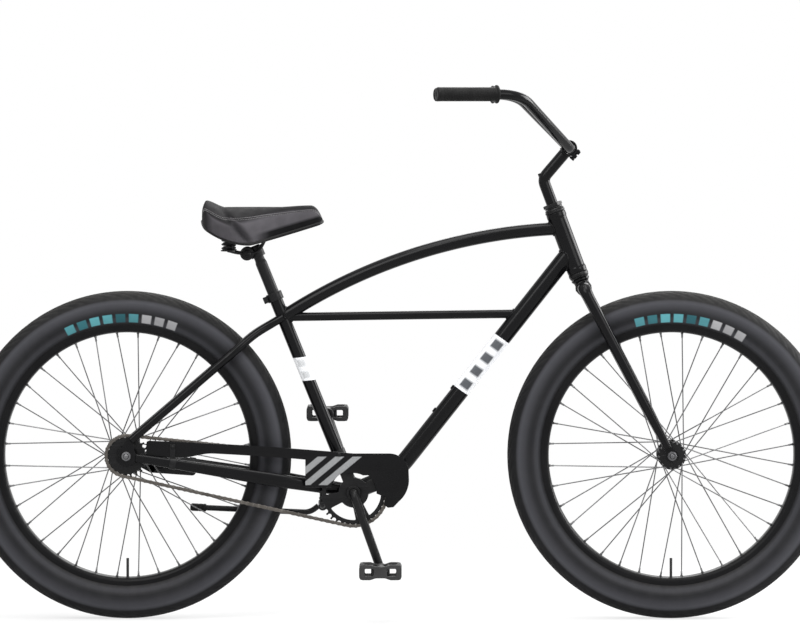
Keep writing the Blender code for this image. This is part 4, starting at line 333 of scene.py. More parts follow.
def rings(path, radii, sides=32, reference=Y, closed=False):
    """Ovals square to a path: point + width * cos(a) * side + height * sin(a) * up.

    Side is the path's direction crossed with the reference, and up is side crossed with the
    direction. Radii is one number, one for each point, or a width and a height for each.
    """
    path = np.asarray(path, float)
    if closed:
        direction = unit(np.roll(path, -1, -2) - np.roll(path, 1, -2))
    else:
        direction = unit(np.gradient(path, axis=-2))
    side = unit(np.cross(direction, reference))
    up = np.cross(side, direction)
    radii = np.asarray(radii, float)
    if radii.ndim < 2:
        radii = np.repeat(np.broadcast_to(radii, path.shape[-2])[:, None], 2, axis=1)
    angle = circle(sides)
    across = radii[:, None, :1] * np.cos(angle) * side[..., None, :]
    return path[..., None, :] + across + radii[:, None, 1:] * np.sin(angle) * up[..., None, :]


def turned(profile, start, axis, sides=64, flats=None):
    """A profile of (radius, height) carried round an axis.

    With flats, the outside is a hexagon that far from the axis: min(radius, flats / cos(angle)),
    with the angle taken from the middle of the nearest flat.
    """
    profile = np.asarray(profile, float)
    axis = unit(axis)
    side = unit(np.cross(axis, X if abs(axis[0]) < 0.9 else Z))
    up = np.cross(axis, side)
    angle = circle(sides)
    radius = profile[:, None, :1]
    if flats:
        radius = np.minimum(radius, flats / np.cos((angle + np.pi / 6) % (np.pi / 3) - np.pi / 6))
    return start + profile[:, None, 1:] * axis + radius * (np.cos(angle) * side + np.sin(angle) * up)


def turned_ring(profile, start, axis, sides=64, bend=0.0006, count=4, flats=None):
    """A closed profile with softened corners, turned into a ring with a bore."""
    line = softened(profile, bend, count, closed=True)
    return skin(turned(line, start, axis, sides, flats), closed_rows=True)


def turned_solid(profile, start, axis, sides=64, bend=0.0006, count=4, flats=None):
    """An open profile with softened corners, turned and capped at both ends."""
    return skin(turned(softened(profile, bend, count), start, axis, sides, flats))


def oblong(inner, outer, low, high):
    """The section of a plain ring, from two radii and two heights."""
    return [(inner, low), (outer, low), (outer, high), (inner, high)]


def block(centre, size, axes=(X, Y, Z), bevel=0.001):
    """A box with rounded edges: one rounded oblong, drawn in near its two ends."""
    half = np.asarray(size, float) / 2
    corners = np.array([(1, 1), (-1, 1), (-1, -1), (1, -1)]) * half[:2]
    ring = softened(corners, bevel, 4, closed=True)
    turn = np.radians([0, 30, 60, 90])
    inset = bevel * (1 - np.sin(turn))
    height = half[2] - bevel + bevel * np.cos(turn)
    height, inset = joined([height, -height[::-1]]), joined([inset, inset[::-1]])
    grid = np.empty((len(height), len(ring), 3))
    grid[..., :2] = ring - np.sign(ring) * np.minimum(inset[:, None, None], np.abs(ring))
    grid[..., 2] = height[:, None]
    return skin(centre + grid @ np.asarray(axes, float))


def arc(centre, radius, first, last, count):
    """Points of a circle's arc between two angles in degrees."""
    angle = np.radians(np.linspace(first, last, count))
    return np.asarray(centre) + radius * np.stack([np.cos(angle), np.sin(angle)], -1)


def plate(outline, thickness, place, holes=(), bevel=0.0006):
    """A flat sheet with holes and rounded edges, standing in the plane of X and Z at a place.

    Blender fills a flat curve, and gives it its thickness and its bevel. The outline runs one
    way round and the holes the other, so that both are drawn in by the bevel.
    """
    curve = bpy.data.curves.new("sheet", "CURVE")
    curve.dimensions, curve.fill_mode = "2D", "BOTH"
    curve.extrude, curve.bevel_depth, curve.offset = thickness / 2 - bevel, bevel, -bevel
    curve.bevel_resolution = 1
    for n, line in enumerate((outline, *holes)):
        line = np.asarray(line, float)
        area = (line[:, 0] * np.roll(line[:, 1], -1) - line[:, 1] * np.roll(line[:, 0], -1)).sum()
        line = line if (area > 0) == (n == 0) else line[::-1]
        spline = curve.splines.new("POLY")
        spline.points.add(len(line) - 1)
        flat = np.column_stack([line, np.zeros(len(line)), np.ones(len(line))])
        spline.points.foreach_set("co", flat.ravel())
        spline.use_cyclic_u = True
    item = placed("sheet", curve)
    mesh = bpy.data.meshes.new_from_object(item.evaluated_get(bpy.context.evaluated_depsgraph_get()))
    bpy.data.objects.remove(item)
    bm = bmesh.new()
    bm.from_mesh(mesh)
    bmesh.ops.remove_doubles(bm, verts=bm.verts, dist=1e-6)
    bm.to_mesh(mesh)
    bm.free()
    flat = np.empty(3 * len(mesh.vertices))
    mesh.vertices.foreach_get("co", flat)
    flat = flat.reshape(-1, 3)
    corners = np.empty(len(mesh.loops), int)
    mesh.loops.foreach_get("vertex_index", corners)
    counts = np.empty(len(mesh.polygons), int)
    mesh.polygons.foreach_get("loop_total", counts)
    return np.asarray(place) + flat[:, [0, 2, 1]], corners, counts, flat[corners, :2]


# %% [markdown]
# Tubes of a frame are cut to fit each other, and a bead of weld follows each joint. Where a round
# tube meets a round wall, each point on its rim slides along the tube until it lies at the wall's
# radius from the wall's axis. That is a quadratic equation, solved for the whole rim at once, and
# the same curve then carries the weld.


# %% Cutting a tube to fit a wall, and its weld
def mitred(points, direction, wall):
    """Each point moved along a direction to a wall: an axis through a spot, and a radius.

    With both taken square to the axis, |offset + t * direction| = radius is solved for t. A point
    that would miss the wall stops where it is nearest to the axis.
    """
    spot, axis, radius = wall
    offset = points - spot
    offset = offset - (offset @ axis)[..., None] * axis
    square = direction - (direction @ axis) * axis
    a, b, c = square @ square, offset @ square, (offset**2).sum(-1) - radius**2
    t = (-b - np.sqrt(np.maximum(b * b - a * c, 0))) / a
    return points + t[..., None] * direction


WELD_RADIUS = 0.0019
WELD_RIPPLE = 0.0024


def weld(ring, centre, direction, wall, radius=WELD_RADIUS):
    """A bead along the curve where a tube's rim meets a wall, rippled every few millimetres."""
    axis_point = centre + ((ring - centre) @ direction)[:, None] * direction
    rim = axis_point + (ring - axis_point) * 1.02
    path = mitred(rim, direction, (wall[0], wall[1], wall[2] + 0.0004))
    length = np.linalg.norm(np.roll(path, -1, 0) - path, axis=1).sum()
    path = looped(path, WELD_RIPPLE / 4)
    ripples = round(length / WELD_RIPPLE)
    phase = np.linspace(0, 2 * np.pi * ripples, len(path), endpoint=False)
    outward = path - centre - ((path - centre) @ direction)[:, None] * direction
    return skin(rings(path, radius * (1 + 0.13 * np.sin(phase)), 8, outward, closed=True), closed_rows=True)


CAP_SHARES = np.array([0.03, 0.35, 0.65, 0.9])


def fitted_tube(path, radii, walls=(None, None), sides=36, reference=Y, welds=True):
    """A tube along a path, cut to fit the wall at either end, and the welds of those joints."""
    grid = rings(path, radii, sides, reference)
    made = []
    for end, wall in enumerate(walls):
        if end:
            grid, path = grid[::-1], path[::-1]
        if wall is not None:
            direction = unit(path[0] - path[1])
            inner = (wall[0], wall[1], wall[2] - 0.0008)
            rim = mitred(grid[0], direction, inner)
            disc = mitred(path[0] + CAP_SHARES[:, None, None] * (grid[0] - path[0]), direction, inner)
            if welds:
                made.append(weld(grid[0], path[0], direction, wall))
            kept = (path[0] - path) @ direction > ((path[0] - rim) @ direction).max() + 0.001
            grid = joined([disc, rim[None], grid[kept]])
            path = joined([np.repeat(path[:1], len(disc) + 1, axis=0), path[kept]])
        if end:
            grid, path = grid[::-1], path[::-1]
    return [skin(grid), *made]


# %% [markdown]
# Some marks that age or make a surface are shared by several finishes, so each is a node group:
# soft clouds of colour, a fine grain for bumps, bare edges, hair scratches, and dust on
# what faces up. A group gives out only a mask or a height. The shader itself stays in the material,
# where its constants can be read.


# %% Shared shader groups
def shared(output, **inputs):
    """Turns a function into a node group and a way to place that group in a material's tree.

    The inputs are numbers with their usual values. The function is given the group, a place to
    read noise at and the inputs, and gives back the output.
    """
    def made(build):
        group = bpy.data.node_groups.new(build.__name__.replace("_", " "), "ShaderNodeTree")
        for label, usual in inputs.items():
            socket = group.interface.new_socket(name=label, in_out="INPUT", socket_type="NodeSocketFloat")
            socket.default_value = usual
        group.interface.new_socket(name=output, in_out="OUTPUT", socket_type="NodeSocketFloat")
        given = group.nodes.new("NodeGroupInput").outputs
        out = group.nodes.new("NodeGroupOutput")
        group.links.new(build(group, object_place(group), given), out.inputs[0])
        print("shader group:", group.name)
        return lambda tree, **values: add_node(tree, "Group", values, node_tree=group).outputs[0]

    return made


def noise(tree, place, scale, detail=2.0):
    """Smooth noise at a place, about 0.5."""
    return add_node(tree, "TexNoise", {"Vector": place, "Scale": scale, "Detail": detail}).outputs[0]


@shared("Value", Scale=20, Low=0.2, High=0.3)
def clouds(tree, place, given):
    """Soft noise spread between a low and a high value."""
    return ramp(tree, noise(tree, place, given["Scale"], 4.0), 0.3, 0.7, given["Low"], given["High"])


@shared("Height", Scale=400, Cells=0.5, Amount=1.0)
def grain(tree, place, given):
    """Fine pits and hills: noise and small cells together, as a height from 0 to the amount."""
    cells = add_node(tree, "TexVoronoi", {"Vector": place, "Scale": given["Scale"]}).outputs["Distance"]
    both = add_node(tree, "Mix", {0: given["Cells"], 2: noise(tree, place, given["Scale"], 3.0), 3: cells})
    return product(tree, both.outputs[0], given["Amount"])


@shared("Mask", Start=0.54, Breakup=60)
def bare_edges(tree, place, given):
    """Where a corner stands proud and is rubbed, broken up by noise."""
    sharpness = add_node(tree, "NewGeometry").outputs["Pointiness"]
    edge = ramp(tree, sharpness, given["Start"], maths(tree, "ADD", given["Start"], 0.06))
    return product(tree, edge, ramp(tree, noise(tree, place, given["Breakup"], 5.0), 0.48, 0.6))


@shared("Mask", Scale=30, Width=0.01, Amount=0.5)
def scratches(tree, place, given):
    """Thin lines where a stretched noise crosses its middle value."""
    stretch = {"Vector": place, "Rotation": (0.4, 0.9, 0.3), "Scale": (1, 0.15, 3)}
    value = noise(tree, add_node(tree, "Mapping", stretch).outputs[0], given["Scale"])
    off = maths(tree, "ABSOLUTE", maths(tree, "SUBTRACT", value, 0.5))
    return ramp(tree, off, 0.0, given["Width"], given["Amount"], 0.0)


def facing_up(tree):
    """How far the surface faces up, from -1 to 1."""
    return add_node(tree, "SeparateXYZ", {0: add_node(tree, "NewGeometry").outputs["Normal"]}).outputs["Z"]


@shared("Mask", Amount=0.2, Scale=80)
def dust(tree, place, given):
    """A thin broken film on what faces up."""
    upward = ramp(tree, facing_up(tree), 0.3, 1.0)
    return product(tree, upward, noise(tree, place, given["Scale"], 6.0), given["Amount"])


# %% A material with its shader
def new_look(name, **constants):
    """A material with one Principled shader, whose constants are set on its own sockets."""
    material = bpy.data.materials.new(name)
    material.use_nodes = True
    shader = material.node_tree.nodes["Principled BSDF"]
    for label, value in constants.items():
        shader.inputs[label.replace("_", " ")].default_value = value
    return material, material.node_tree, shader


def blend_colours(tree, mask, first, second):
    """The second colour over the first by a mask. Each is a socket or three numbers."""
    first, second = (c if isinstance(c, bpy.types.NodeSocket) else (*c, 1) for c in (first, second))
    return add_node(tree, "Mix", {0: mask, 6: first, 7: second}, data_type="RGBA").outputs[2]


def join(tree, shader, colour, rough, height, distance, strength):
    """A shader's colour, roughness and bump."""
    bump = add_node(tree, "Bump", {"Height": height, "Distance": distance, "Strength": strength})
    for label, socket in (("Base Color", colour), ("Roughness", rough), ("Normal", bump.outputs[0])):
        tree.links.new(socket, shader.inputs[label])


# %% [markdown]
# The frame, fork and bar are sprayed gloss black. Real enamel is not perfectly flat: it has a faint
# orange peel, its gloss drifts a little, and dust and hair scratches catch the light. A sleeve of
# white film with plain grey bars is stuck round two of the tubes. Each is worked out from Object
# coordinates: how far a point lies along its tube, and how far across it.


# %% Gloss black paint
ENAMEL, ENAMEL_CLOUDS, ENAMEL_DUST = (0.003, 0.003, 0.0034), (0.0045, 0.0045, 0.0051), (0.12, 0.118, 0.116)


def paint(name, printed=None):
    """Enamel: cloudy gloss, orange peel, hair scratches and a little dust, with a print over it."""
    material, tree, shader = new_look(name, Specular_IOR_Level=0.13)
    film = dust(tree, Amount=0.08)
    colour = blend_colours(tree, clouds(tree, Scale=9, Low=0, High=1), ENAMEL, ENAMEL_CLOUDS)
    colour = blend_colours(tree, film, colour, ENAMEL_DUST)
    colour = printed(tree, colour) if printed else colour
    lines = scratches(tree, Scale=22, Width=0.004, Amount=0.35)
    rough = maths(tree, "MULTIPLY_ADD", lines, 0.3, clouds(tree, Scale=35, Low=0.12, High=0.2))
    rough = maths(tree, "ADD", rough, film)
    join(tree, shader, colour, rough, grain(tree, Scale=420, Cells=0.1, Amount=1), 0.00004, 0.5)
    return material


frame_paint, fork_paint, bar_paint = (paint(f"{part} paint") for part in ("frame", "fork", "bar"))


def label(tube, run, bars, slant, dark, pale=(0.8, 0.81, 0.83)):
    """A way to print a pale sleeve round a straight tube, with bars on both of its sides.

    The tube is a foot, a direction, the direction across it, and its radius. Run is where the
    sleeve lies along it in metres, and the bars are spread over it and lean by the slant.
    """
    foot, along, across, radius = tube

    def dot(tree, place, line):
        made = add_node(tree, "VectorMath", {0: place, 1: tuple(line)}, operation="DOT_PRODUCT")
        return made.outputs["Value"]

    def printed(tree, enamel):
        values = {0: object_place(tree), 1: tuple(foot)}
        place = add_node(tree, "VectorMath", values, operation="SUBTRACT").outputs[0]
        side = dot(tree, place, across / radius)
        lean = maths(tree, "MULTIPLY_ADD", side, slant, dot(tree, place, along))
        phase = maths(tree, "DIVIDE", maths(tree, "SUBTRACT", lean, run[0]), (run[1] - run[0]) / bars)
        bar = between(tree, maths(tree, "FRACT", phase), 0.2, 0.8, 0.08)
        bar = product(tree, bar, between(tree, side, -0.58, 0.58, 0.08))
        sleeve = blend_colours(tree, bar, pale, dark)
        return blend_colours(tree, between(tree, lean, *run, 0.0005), enamel, sleeve)

    return printed


# %% [markdown]
# The fittings are satin black steel, the axles and spokes are darkened steel, and the rest is moulded
# in rubber, vinyl and nylon. All of them come from one recipe with their own numbers: two close
# colours in clouds, a gloss that drifts, a fine bump, rubbed edges and a film of dust.

# %% Metals, rubbers and plastics
DUST_COLOUR = (0.16, 0.155, 0.145)


def matt_look(name, colours, rough, texture, bare=None, film=0.12, **constants):
    """Two colours in clouds, a gloss between two limits, and a bump of (scale, cells, depth).

    Bare is the sharpness at which an edge is rubbed, and the colour that shows there. Film is the
    amount of dust.
    """
    material, tree, shader = new_look(name, **constants)
    colour = blend_colours(tree, clouds(tree, Scale=16, Low=0, High=1), *colours)
    if bare:
        colour = blend_colours(tree, bare_edges(tree, Start=bare[0], Breakup=110), colour, bare[1])
    colour = blend_colours(tree, dust(tree, Amount=film), colour, DUST_COLOUR)
    rough = clouds(tree, Scale=45, Low=rough[0], High=rough[1])
    height = grain(tree, Scale=texture[0], Cells=texture[1], Amount=1)
    join(tree, shader, colour, rough, height, texture[2], 0.6)
    return material


rim_look = matt_look(
    "rim paint", ((0.0025, 0.0025, 0.003), (0.005, 0.005, 0.0055)), (0.28, 0.4), (600, 0.3, 0.00003),
    (0.56, (0.03, 0.03, 0.03)), 0.06, Specular_IOR_Level=0.12,
)
fitting_look = matt_look(
    "black fittings", ((0.004, 0.004, 0.0045), (0.008, 0.008, 0.0085)), (0.28, 0.42), (700, 0.4, 0.00004),
    (0.56, (0.06, 0.06, 0.06)), 0.08, Specular_IOR_Level=0.18,
)
bright_look = matt_look(
    "dark zinc plate", ((0.1, 0.1, 0.105), (0.17, 0.17, 0.175)), (0.26, 0.4), (500, 0.3, 0.00003),
    (0.58, (0.34, 0.34, 0.35)), 0.05, Metallic=1.0,
)
spoke_look = matt_look(
    "dark wire", ((0.11, 0.11, 0.112), (0.17, 0.17, 0.172)), (0.25, 0.38), (900, 0.2, 0.00001), None, 0.03,
    Metallic=1.0,
)
chain_look = matt_look(
    "oiled chain", ((0.075, 0.069, 0.063), (0.14, 0.128, 0.116)), (0.28, 0.45), (900, 0.3, 0.00002),
    (0.55, (0.22, 0.21, 0.195)), 0.03, Metallic=1.0,
)
air_tube_look = matt_look(
    "butyl rubber", ((0.01, 0.01, 0.01), (0.017, 0.017, 0.017)), (0.55, 0.7), (500, 0.6, 0.00005),
)
grip_look = matt_look(
    "grip rubber", ((0.0035, 0.0035, 0.0035), (0.007, 0.007, 0.007)), (0.45, 0.62), (900, 0.8, 0.00008),
    (0.58, (0.02, 0.02, 0.02)), 0.1, Specular_IOR_Level=0.15,
)
nylon_look = matt_look(
    "moulded nylon", ((0.022, 0.022, 0.0225), (0.038, 0.038, 0.0385)), (0.42, 0.6), (1100, 0.8, 0.00006),
    (0.56, (0.05, 0.05, 0.05)), 0.12, Specular_IOR_Level=0.22,
)


def fitting(name, made, body, node):
    """A piece in satin black steel that stands for one CAD node."""
    return piece(name, made, fitting_look, body, "black_fittings", node)


def painted(name, made, node, look=frame_paint, body="frame"):
    """A piece in gloss black enamel that stands for one CAD node."""
    return piece(name, made, look, body, "frame_paint", node)

# %% [markdown]
# A cruiser's tyre is moulded in bands: a matt wall, a raised light ring, and the darker tread. The
# bands are functions of the distance from the axle, which Object coordinates give once a Mapping
# node has moved their origin there. Two plain rows of short bars mark the wall.

# %% Tyre rubber
TYRE_BANDS = (
    (0.278, 0.003), (0.285, 0.004), (0.2885, 0.018), (0.293, 0.036), (0.2985, 0.032), (0.303, 0.017),
    (0.308, 0.012), (0.314, 0.017), (0.324, 0.037), (0.333, 0.052), (0.337, 0.04), (0.341, 0.006),
    (0.359, 0.004),
)
MARK_INNER, MARK_OUTER, MARK_STEP = 0.2905, 0.309, 5.4
FIRST_MARK = {"front": -15.9, "rear": -26.5}
MARKS = (
    ((0, 6), (0.02, 0.1, 0.12), (0.11, 0.36, 0.4)),
    ((6, 9), (0.16, 0.16, 0.165), (0.38, 0.38, 0.39)),
)
RIB_WIDTH = 0.0021


def banded(tree, radius):
    """A grey for each radius: a colour ramp whose stops are the tyre's bands."""
    low, high = TYRE_BANDS[0][0], TYRE_BANDS[-1][0]
    bands = add_node(tree, "ValToRGB", {0: ramp(tree, radius, low, high)})
    for n, (reach, grey) in enumerate(TYRE_BANDS):
        spot = (reach - low) / (high - low)
        stop = bands.color_ramp.elements[n] if n < 2 else bands.color_ramp.elements.new(spot)
        stop.position, stop.color = spot, (grey * 0.97, grey * 0.98, grey * 1.12, 1)
    return bands.outputs[0]


def tyre_look(wheel, axle):
    """Rubber in bands of radius, with a row of teal and a row of pale bars on the wall at the top."""
    material, tree, shader = new_look(f"{wheel} tyre rubber", Specular_IOR_Level=0.14)
    centred = add_node(tree, "Mapping", {"Vector": object_place(tree), "Location": tuple(-axle)}).outputs[0]
    parts = add_node(tree, "SeparateXYZ", {0: centred}).outputs
    flat = add_node(tree, "CombineXYZ", {"X": parts["X"], "Z": parts["Z"]}).outputs[0]
    radius = add_node(tree, "VectorMath", {0: flat}, operation="LENGTH").outputs["Value"]
    colour = banded(tree, radius)
    angle = maths(tree, "DEGREES", maths(tree, "ARCTAN2", parts["X"], parts["Z"]))
    count = maths(tree, "DIVIDE", maths(tree, "SUBTRACT", angle, FIRST_MARK[wheel]), MARK_STEP)
    number = {"W": maths(tree, "FLOOR", count)}
    shade = add_node(tree, "TexWhiteNoise", number, noise_dimensions="1D").outputs[0]
    bars = between(tree, maths(tree, "FRACT", count), 0.08, 0.8, 0.04)
    bars = product(tree, bars, between(tree, radius, MARK_INNER, MARK_OUTER, 0.0008))
    for limits, dull, bright in MARKS:
        row = product(tree, between(tree, count, *limits, 0.02), bars)
        colour = blend_colours(tree, row, colour, blend_colours(tree, shade, dull, bright))
    cloudy = clouds(tree, Scale=11, Low=0, High=0.14)
    colour = blend_colours(tree, cloudy, colour, (0.035, 0.034, 0.034))
    colour = blend_colours(tree, dust(tree, Amount=0.24), colour, DUST_COLOUR)
    ribs = maths(tree, "SINE", product(tree, radius, 2 * math.pi / RIB_WIDTH))
    height = maths(tree, "MULTIPLY_ADD", ribs, 0.25, grain(tree, Scale=700, Cells=0.5, Amount=1))
    join(tree, shader, colour, clouds(tree, Scale=60, Low=0.62, High=0.8), height, 0.0001, 0.5)
    return material


# %% [markdown]
# Each wheel is one profile carried round the axle, several times over: the tyre, the rim, the hub.
# A curve that passes through chosen points gives the tyre its full section, and the same grid is
# pushed in by a pattern of grooves where the tread is, so that the tread is shape, not only bump.


# %% Tyres
def curved(points, count=6):
    """A smooth line through every point: the Catmull-Rom cubic between each pair.

    p(t) = (2b + (c - a) t + (2a - 5b + 4c - d) t^2 + (3b - a - 3c + d) t^3) / 2 for neighbours a b c d.
    """
    points = np.asarray(points, float)
    points = joined([2 * points[:1] - points[1:2], points, 2 * points[-1:] - points[-2:-1]])
    a, b, c, d = (points[n : len(points) - 3 + n, None] for n in range(4))
    t = np.linspace(0, 1, count, endpoint=False)[None, :, None]
    line = (2 * b + (c - a) * t + (2 * a - 5 * b + 4 * c - d) * t**2 + (3 * b - a - 3 * c + d) * t**3) / 2
    return joined([line.reshape(-1, points.shape[1]), points[-2:-1]])


TYRE_SECTION = (
    (0.2803, 0.0226), (0.2838, 0.0246), (0.2868, 0.0272), (0.2935, 0.0332), (0.306, 0.0406),
    (0.319, 0.043), (0.332, 0.0408), (0.3425, 0.0352), (0.35, 0.028), (0.355, 0.0195),
    (0.3573, 0.01), (0.358, 0.0),
)
AIR_SECTION = ((0.2803, -0.0172), (0.2935, -0.027), (0.319, -0.0372), (0.3425, -0.0285), (0.352, 0.0))
TYRE_HALF = 0.043
TREAD_COLUMNS, TREAD_REPEATS, GROOVE_DEPTH = 800, 80, 0.0013
CHEVRON_SLOPE, MIDDLE_GROOVE, TREAD_EDGE = 0.011, 0.0125, 0.336


def around(centre, radius, angle, y=0.0):
    """centre + (radius * cos(angle), y, radius * sin(angle)): points round a line along Y."""
    radius, angle, y = np.broadcast_arrays(radius, angle, y)
    return centre + np.stack([radius * np.cos(angle), y, radius * np.sin(angle)], -1)


def mirrored(section, shared=0):
    """A list of (radius, y), and the same backwards with the other sign of y, less shared points."""
    return [*section, *((radius, -y) for radius, y in section[::-1][shared:])]


def tyre_points(axle):
    """The tyre as a grid: angle round the axle, and the way round its section.

    The tread's grooves are where a wave of the angle plus the distance from the middle, which
    makes chevrons, is near its foot. Their depth fades out at the shoulder.
    """
    outer = curved(mirrored(TYRE_SECTION, 1), 4)
    inner = curved(AIR_SECTION, 2)
    section = joined([outer, inner, inner[-2::-1] * (1, -1)])
    angle = circle(TREAD_COLUMNS)
    radius, y = section[None, :, 0], section[None, :, 1]
    wave = np.abs(((angle * TREAD_REPEATS / (2 * np.pi) + np.abs(y) / CHEVRON_SLOPE) % 1) - 0.5)
    cross = np.clip((0.14 - wave) / 0.07, 0, 1) * np.clip((0.037 - np.abs(y)) / 0.004, 0, 1)
    lines = np.clip(1 - np.abs(np.abs(y) - MIDDLE_GROOVE) / 0.0011, 0, 1)
    depth = GROOVE_DEPTH * np.maximum(cross, lines) * (np.arange(len(section)) < len(outer))
    return around(axle, radius - depth * np.clip((radius - TREAD_EDGE) / 0.004, 0, 1), angle, y)


for wheel, axle in WHEELS:
    tyre = skin(tyre_points(axle), closed_rows=True)
    look = tyre_look(wheel, axle)
    piece(f"{wheel}_tyre_rubber", [tyre], look, f"{wheel}_wheel", "tyre_rubber", f"{wheel}_tyre", sharp=35)

# %% [markdown]
# The rim is rolled from one strip of steel: a bead hook on each side, a flat shoulder, and a well
# in the middle. Each spoke is a wire with a bent head in the hub's flange and a nipple in the
# rim. A wheel has 36 of them, so all are made at once: one array of hub ends, one of rim ends,
# and the same rings along every one.

# %% Rims
TYRE_SIDE = (
    (0.2855, 0.0257), (0.2846, 0.0245), (0.28, 0.0234), (0.2793, 0.021), (0.2788, 0.013),
    (0.2765, 0.01), (0.27, 0.0085),
)
SPOKE_SIDE = ((0.2845, -0.026), (0.2765, -0.026), (0.2722, -0.0243), (0.269, -0.0195), (0.2676, -0.013))
rim_section = mirrored(TYRE_SIDE) + mirrored(SPOKE_SIDE)
for wheel, axle in WHEELS:
    piece(f"{wheel}_rolled_rim", [turned_ring(rim_section, axle, Y, 240, 0.0009)], rim_look, f"{wheel}_wheel",
          "rim_paint", f"{wheel}_rim")

# %% Spokes, nipples and hubs
SPOKES_PER_FLANGE, CROSSINGS = 18, 3
SPOKE_RADIUS, NIPPLE_SEAT, HOLE_EDGE = 0.0013, 0.269, 0.003
FLANGE_HALF = 0.0017
FLANGES = {"front": (-0.038, 0.038, 0.031), "rear": (-0.03, 0.033, 0.033)}
NIPPLE = ((0.0125, 0.0015), (0.0118, 0.0021), (0.0046, 0.0021), (0.004, 0.0029), (0.0, 0.0029))


def spoke_routes(axle, wheel):
    """The hub end, the elbow and the rim end of all 36 spokes, as three arrays.

    Spoke i leaves hole i of its flange on the inside or the outside in turn, and reaches the rim
    three holes further round, forwards or backwards.
    """
    right, left, radius = FLANGES[wheel]
    i = np.arange(SPOKES_PER_FLANGE)
    step = 2 * np.pi / SPOKES_PER_FLANGE
    lead = np.where(i % 2, 1, -1)
    routes = []
    for n, flange in enumerate((right, left)):
        hole = np.pi / (2 * SPOKES_PER_FLANGE) * (1 + 2 * n) + i * step
        reach = radius - HOLE_EDGE
        routes.append((
            around(axle, reach, hole, flange - lead * (FLANGE_HALF + 0.0008)),
            around(axle, reach + 0.0004, hole, flange + lead * (FLANGE_HALF + 0.0012)),
            around(axle, NIPPLE_SEAT, hole + CROSSINGS * lead * step, np.sign(flange) * 0.006 + lead * 0.001),
        ))
    return (joined(ends) for ends in zip(*routes))


def many_tubes(paths, radii, sides):
    """Skins of several tubes that share their numbers of points: one grid for each path."""
    return [skin(grid) for grid in rings(paths, radii, sides, reference=(0.31, 0.62, 0.72))]


for wheel, axle in WHEELS:
    head, elbow, end = spoke_routes(axle, wheel)
    toward = unit(end - elbow)
    bent = elbow - 0.25 * (elbow - head)
    route = np.stack([head, bent, elbow + 0.0014 * toward, elbow + 0.5 * (end - elbow), end], 1)
    outward = np.sign((elbow - head)[:, 1:2]) * Y
    button = np.stack([head - 0.0006 * outward, head, head + 0.0004 * outward], 1)
    nipple = np.stack([end - reach * toward for reach, _ in NIPPLE], 1)
    made = many_tubes(route, SPOKE_RADIUS, 8) + many_tubes(button, (0.0015, 0.0022, 0.0016), 8)
    made += many_tubes(nipple, [radius for _, radius in NIPPLE], 8)
    piece(f"{wheel}_spokes", made, spoke_look, f"{wheel}_wheel", "bright_fittings")

HUBS = {"front": (0.014, 0.0125, -0.047, 0.047), "rear": (0.024, 0.02, -0.046, 0.055)}
AXLE_BORE = 0.00545
for wheel, axle in WHEELS:
    barrel, collar, right, left = HUBS[wheel]
    low, high, flange = FLANGES[wheel]
    half, slope = FLANGE_HALF, FLANGE_HALF + 0.006
    profile = [
        (AXLE_BORE, left), (collar - 0.003, left), (collar, left - 0.002), (collar, high + half),
        (flange, high + half), (flange, high - half), (barrel + 0.004, high - half), (barrel, high - slope),
        (barrel, low + slope), (barrel + 0.004, low + half), (flange, low + half), (flange, low - half),
        (collar, low - half), (collar, right + 0.002), (collar - 0.003, right), (AXLE_BORE, right),
    ]
    barrel = [turned_ring(profile, axle, Y, 72, 0.0007)]
    fitting(f"{wheel}_hub_shell", barrel, f"{wheel}_wheel", f"{wheel}_hub")

# %% Axles, cones, nuts and washers
THREAD_PITCH, AXLE_RADIUS, DROPOUT = 0.001, 0.00475, 0.005
AXLE_BODIES = {"front": ("fork", 0.12), "rear": ("frame", 0.135)}


def axle_skins(axle, half, cones):
    """A threaded rod with a cone and a locknut at each end of the hub."""
    start, end = half + DROPOUT, half + DROPOUT + 0.017
    marks = np.arange(start, end, THREAD_PITCH / 2)
    thread = np.stack([np.where(np.arange(len(marks)) % 2, 0.00425, AXLE_RADIUS), marks], -1)
    half_rod = joined([[(AXLE_RADIUS, 0.02), (AXLE_RADIUS, start - 0.0004)], thread, [(0.0032, end)]])
    made = [skin(turned(joined([half_rod[::-1] * (1, -1), half_rod]), axle, Y, 24))]
    for side, cone in zip((1, -1), cones[::-1]):
        length = half - abs(cone) - FIT
        nut = [(0.005, 0), (0.0085, 0), (0.009, 0.3 * length), (0.009, length), (0.005, length)]
        made.append(turned_ring(nut, axle + cone * Y, side * Y, 48, 0.0004, flats=0.0082))
    return made


def nut_skin(start, axis, across=0.017, height=0.0095, bore=0.0049, flange=0.0):
    """A hexagon nut with chamfered corners, or a round one on a flange."""
    corner, flat = across / math.sqrt(3), across / 2
    foot = max(flange, flat - 0.0003)
    profile = [
        (bore, 0), (foot, 0), (max(flange, corner), 0.0011), (corner, 0.0018),
        (corner, height - 0.0012), (flat - 0.0003, height), (bore + 0.0008, height), (bore, height - 0.0008),
    ]
    return turned_ring(profile, start, axis, 72, 0.0003, 3, flats=None if flange else flat)


for wheel, axle in WHEELS:
    body, width = AXLE_BODIES[wheel]
    made = axle_skins(axle, width / 2, HUBS[wheel][2:])
    piece(f"{wheel}_threaded_axle", made, bright_look, body, "bright_fittings", f"{wheel}_axle")
    for name, side in SIDES:
        start = axle + side * (width / 2 + DROPOUT + FIT) * Y
        washer = turned_ring(oblong(0.005, 0.01, 0, 0.0014), start, side * Y, 48, 0.0003)
        nut = nut_skin(start + side * 0.0015 * Y, side * Y, height=0.0084)
        piece(f"{wheel}_axle_nut_and_washer_{name}", [washer, nut], bright_look, body, "bright_fittings",
              f"{wheel}_axle_nut_{name}")

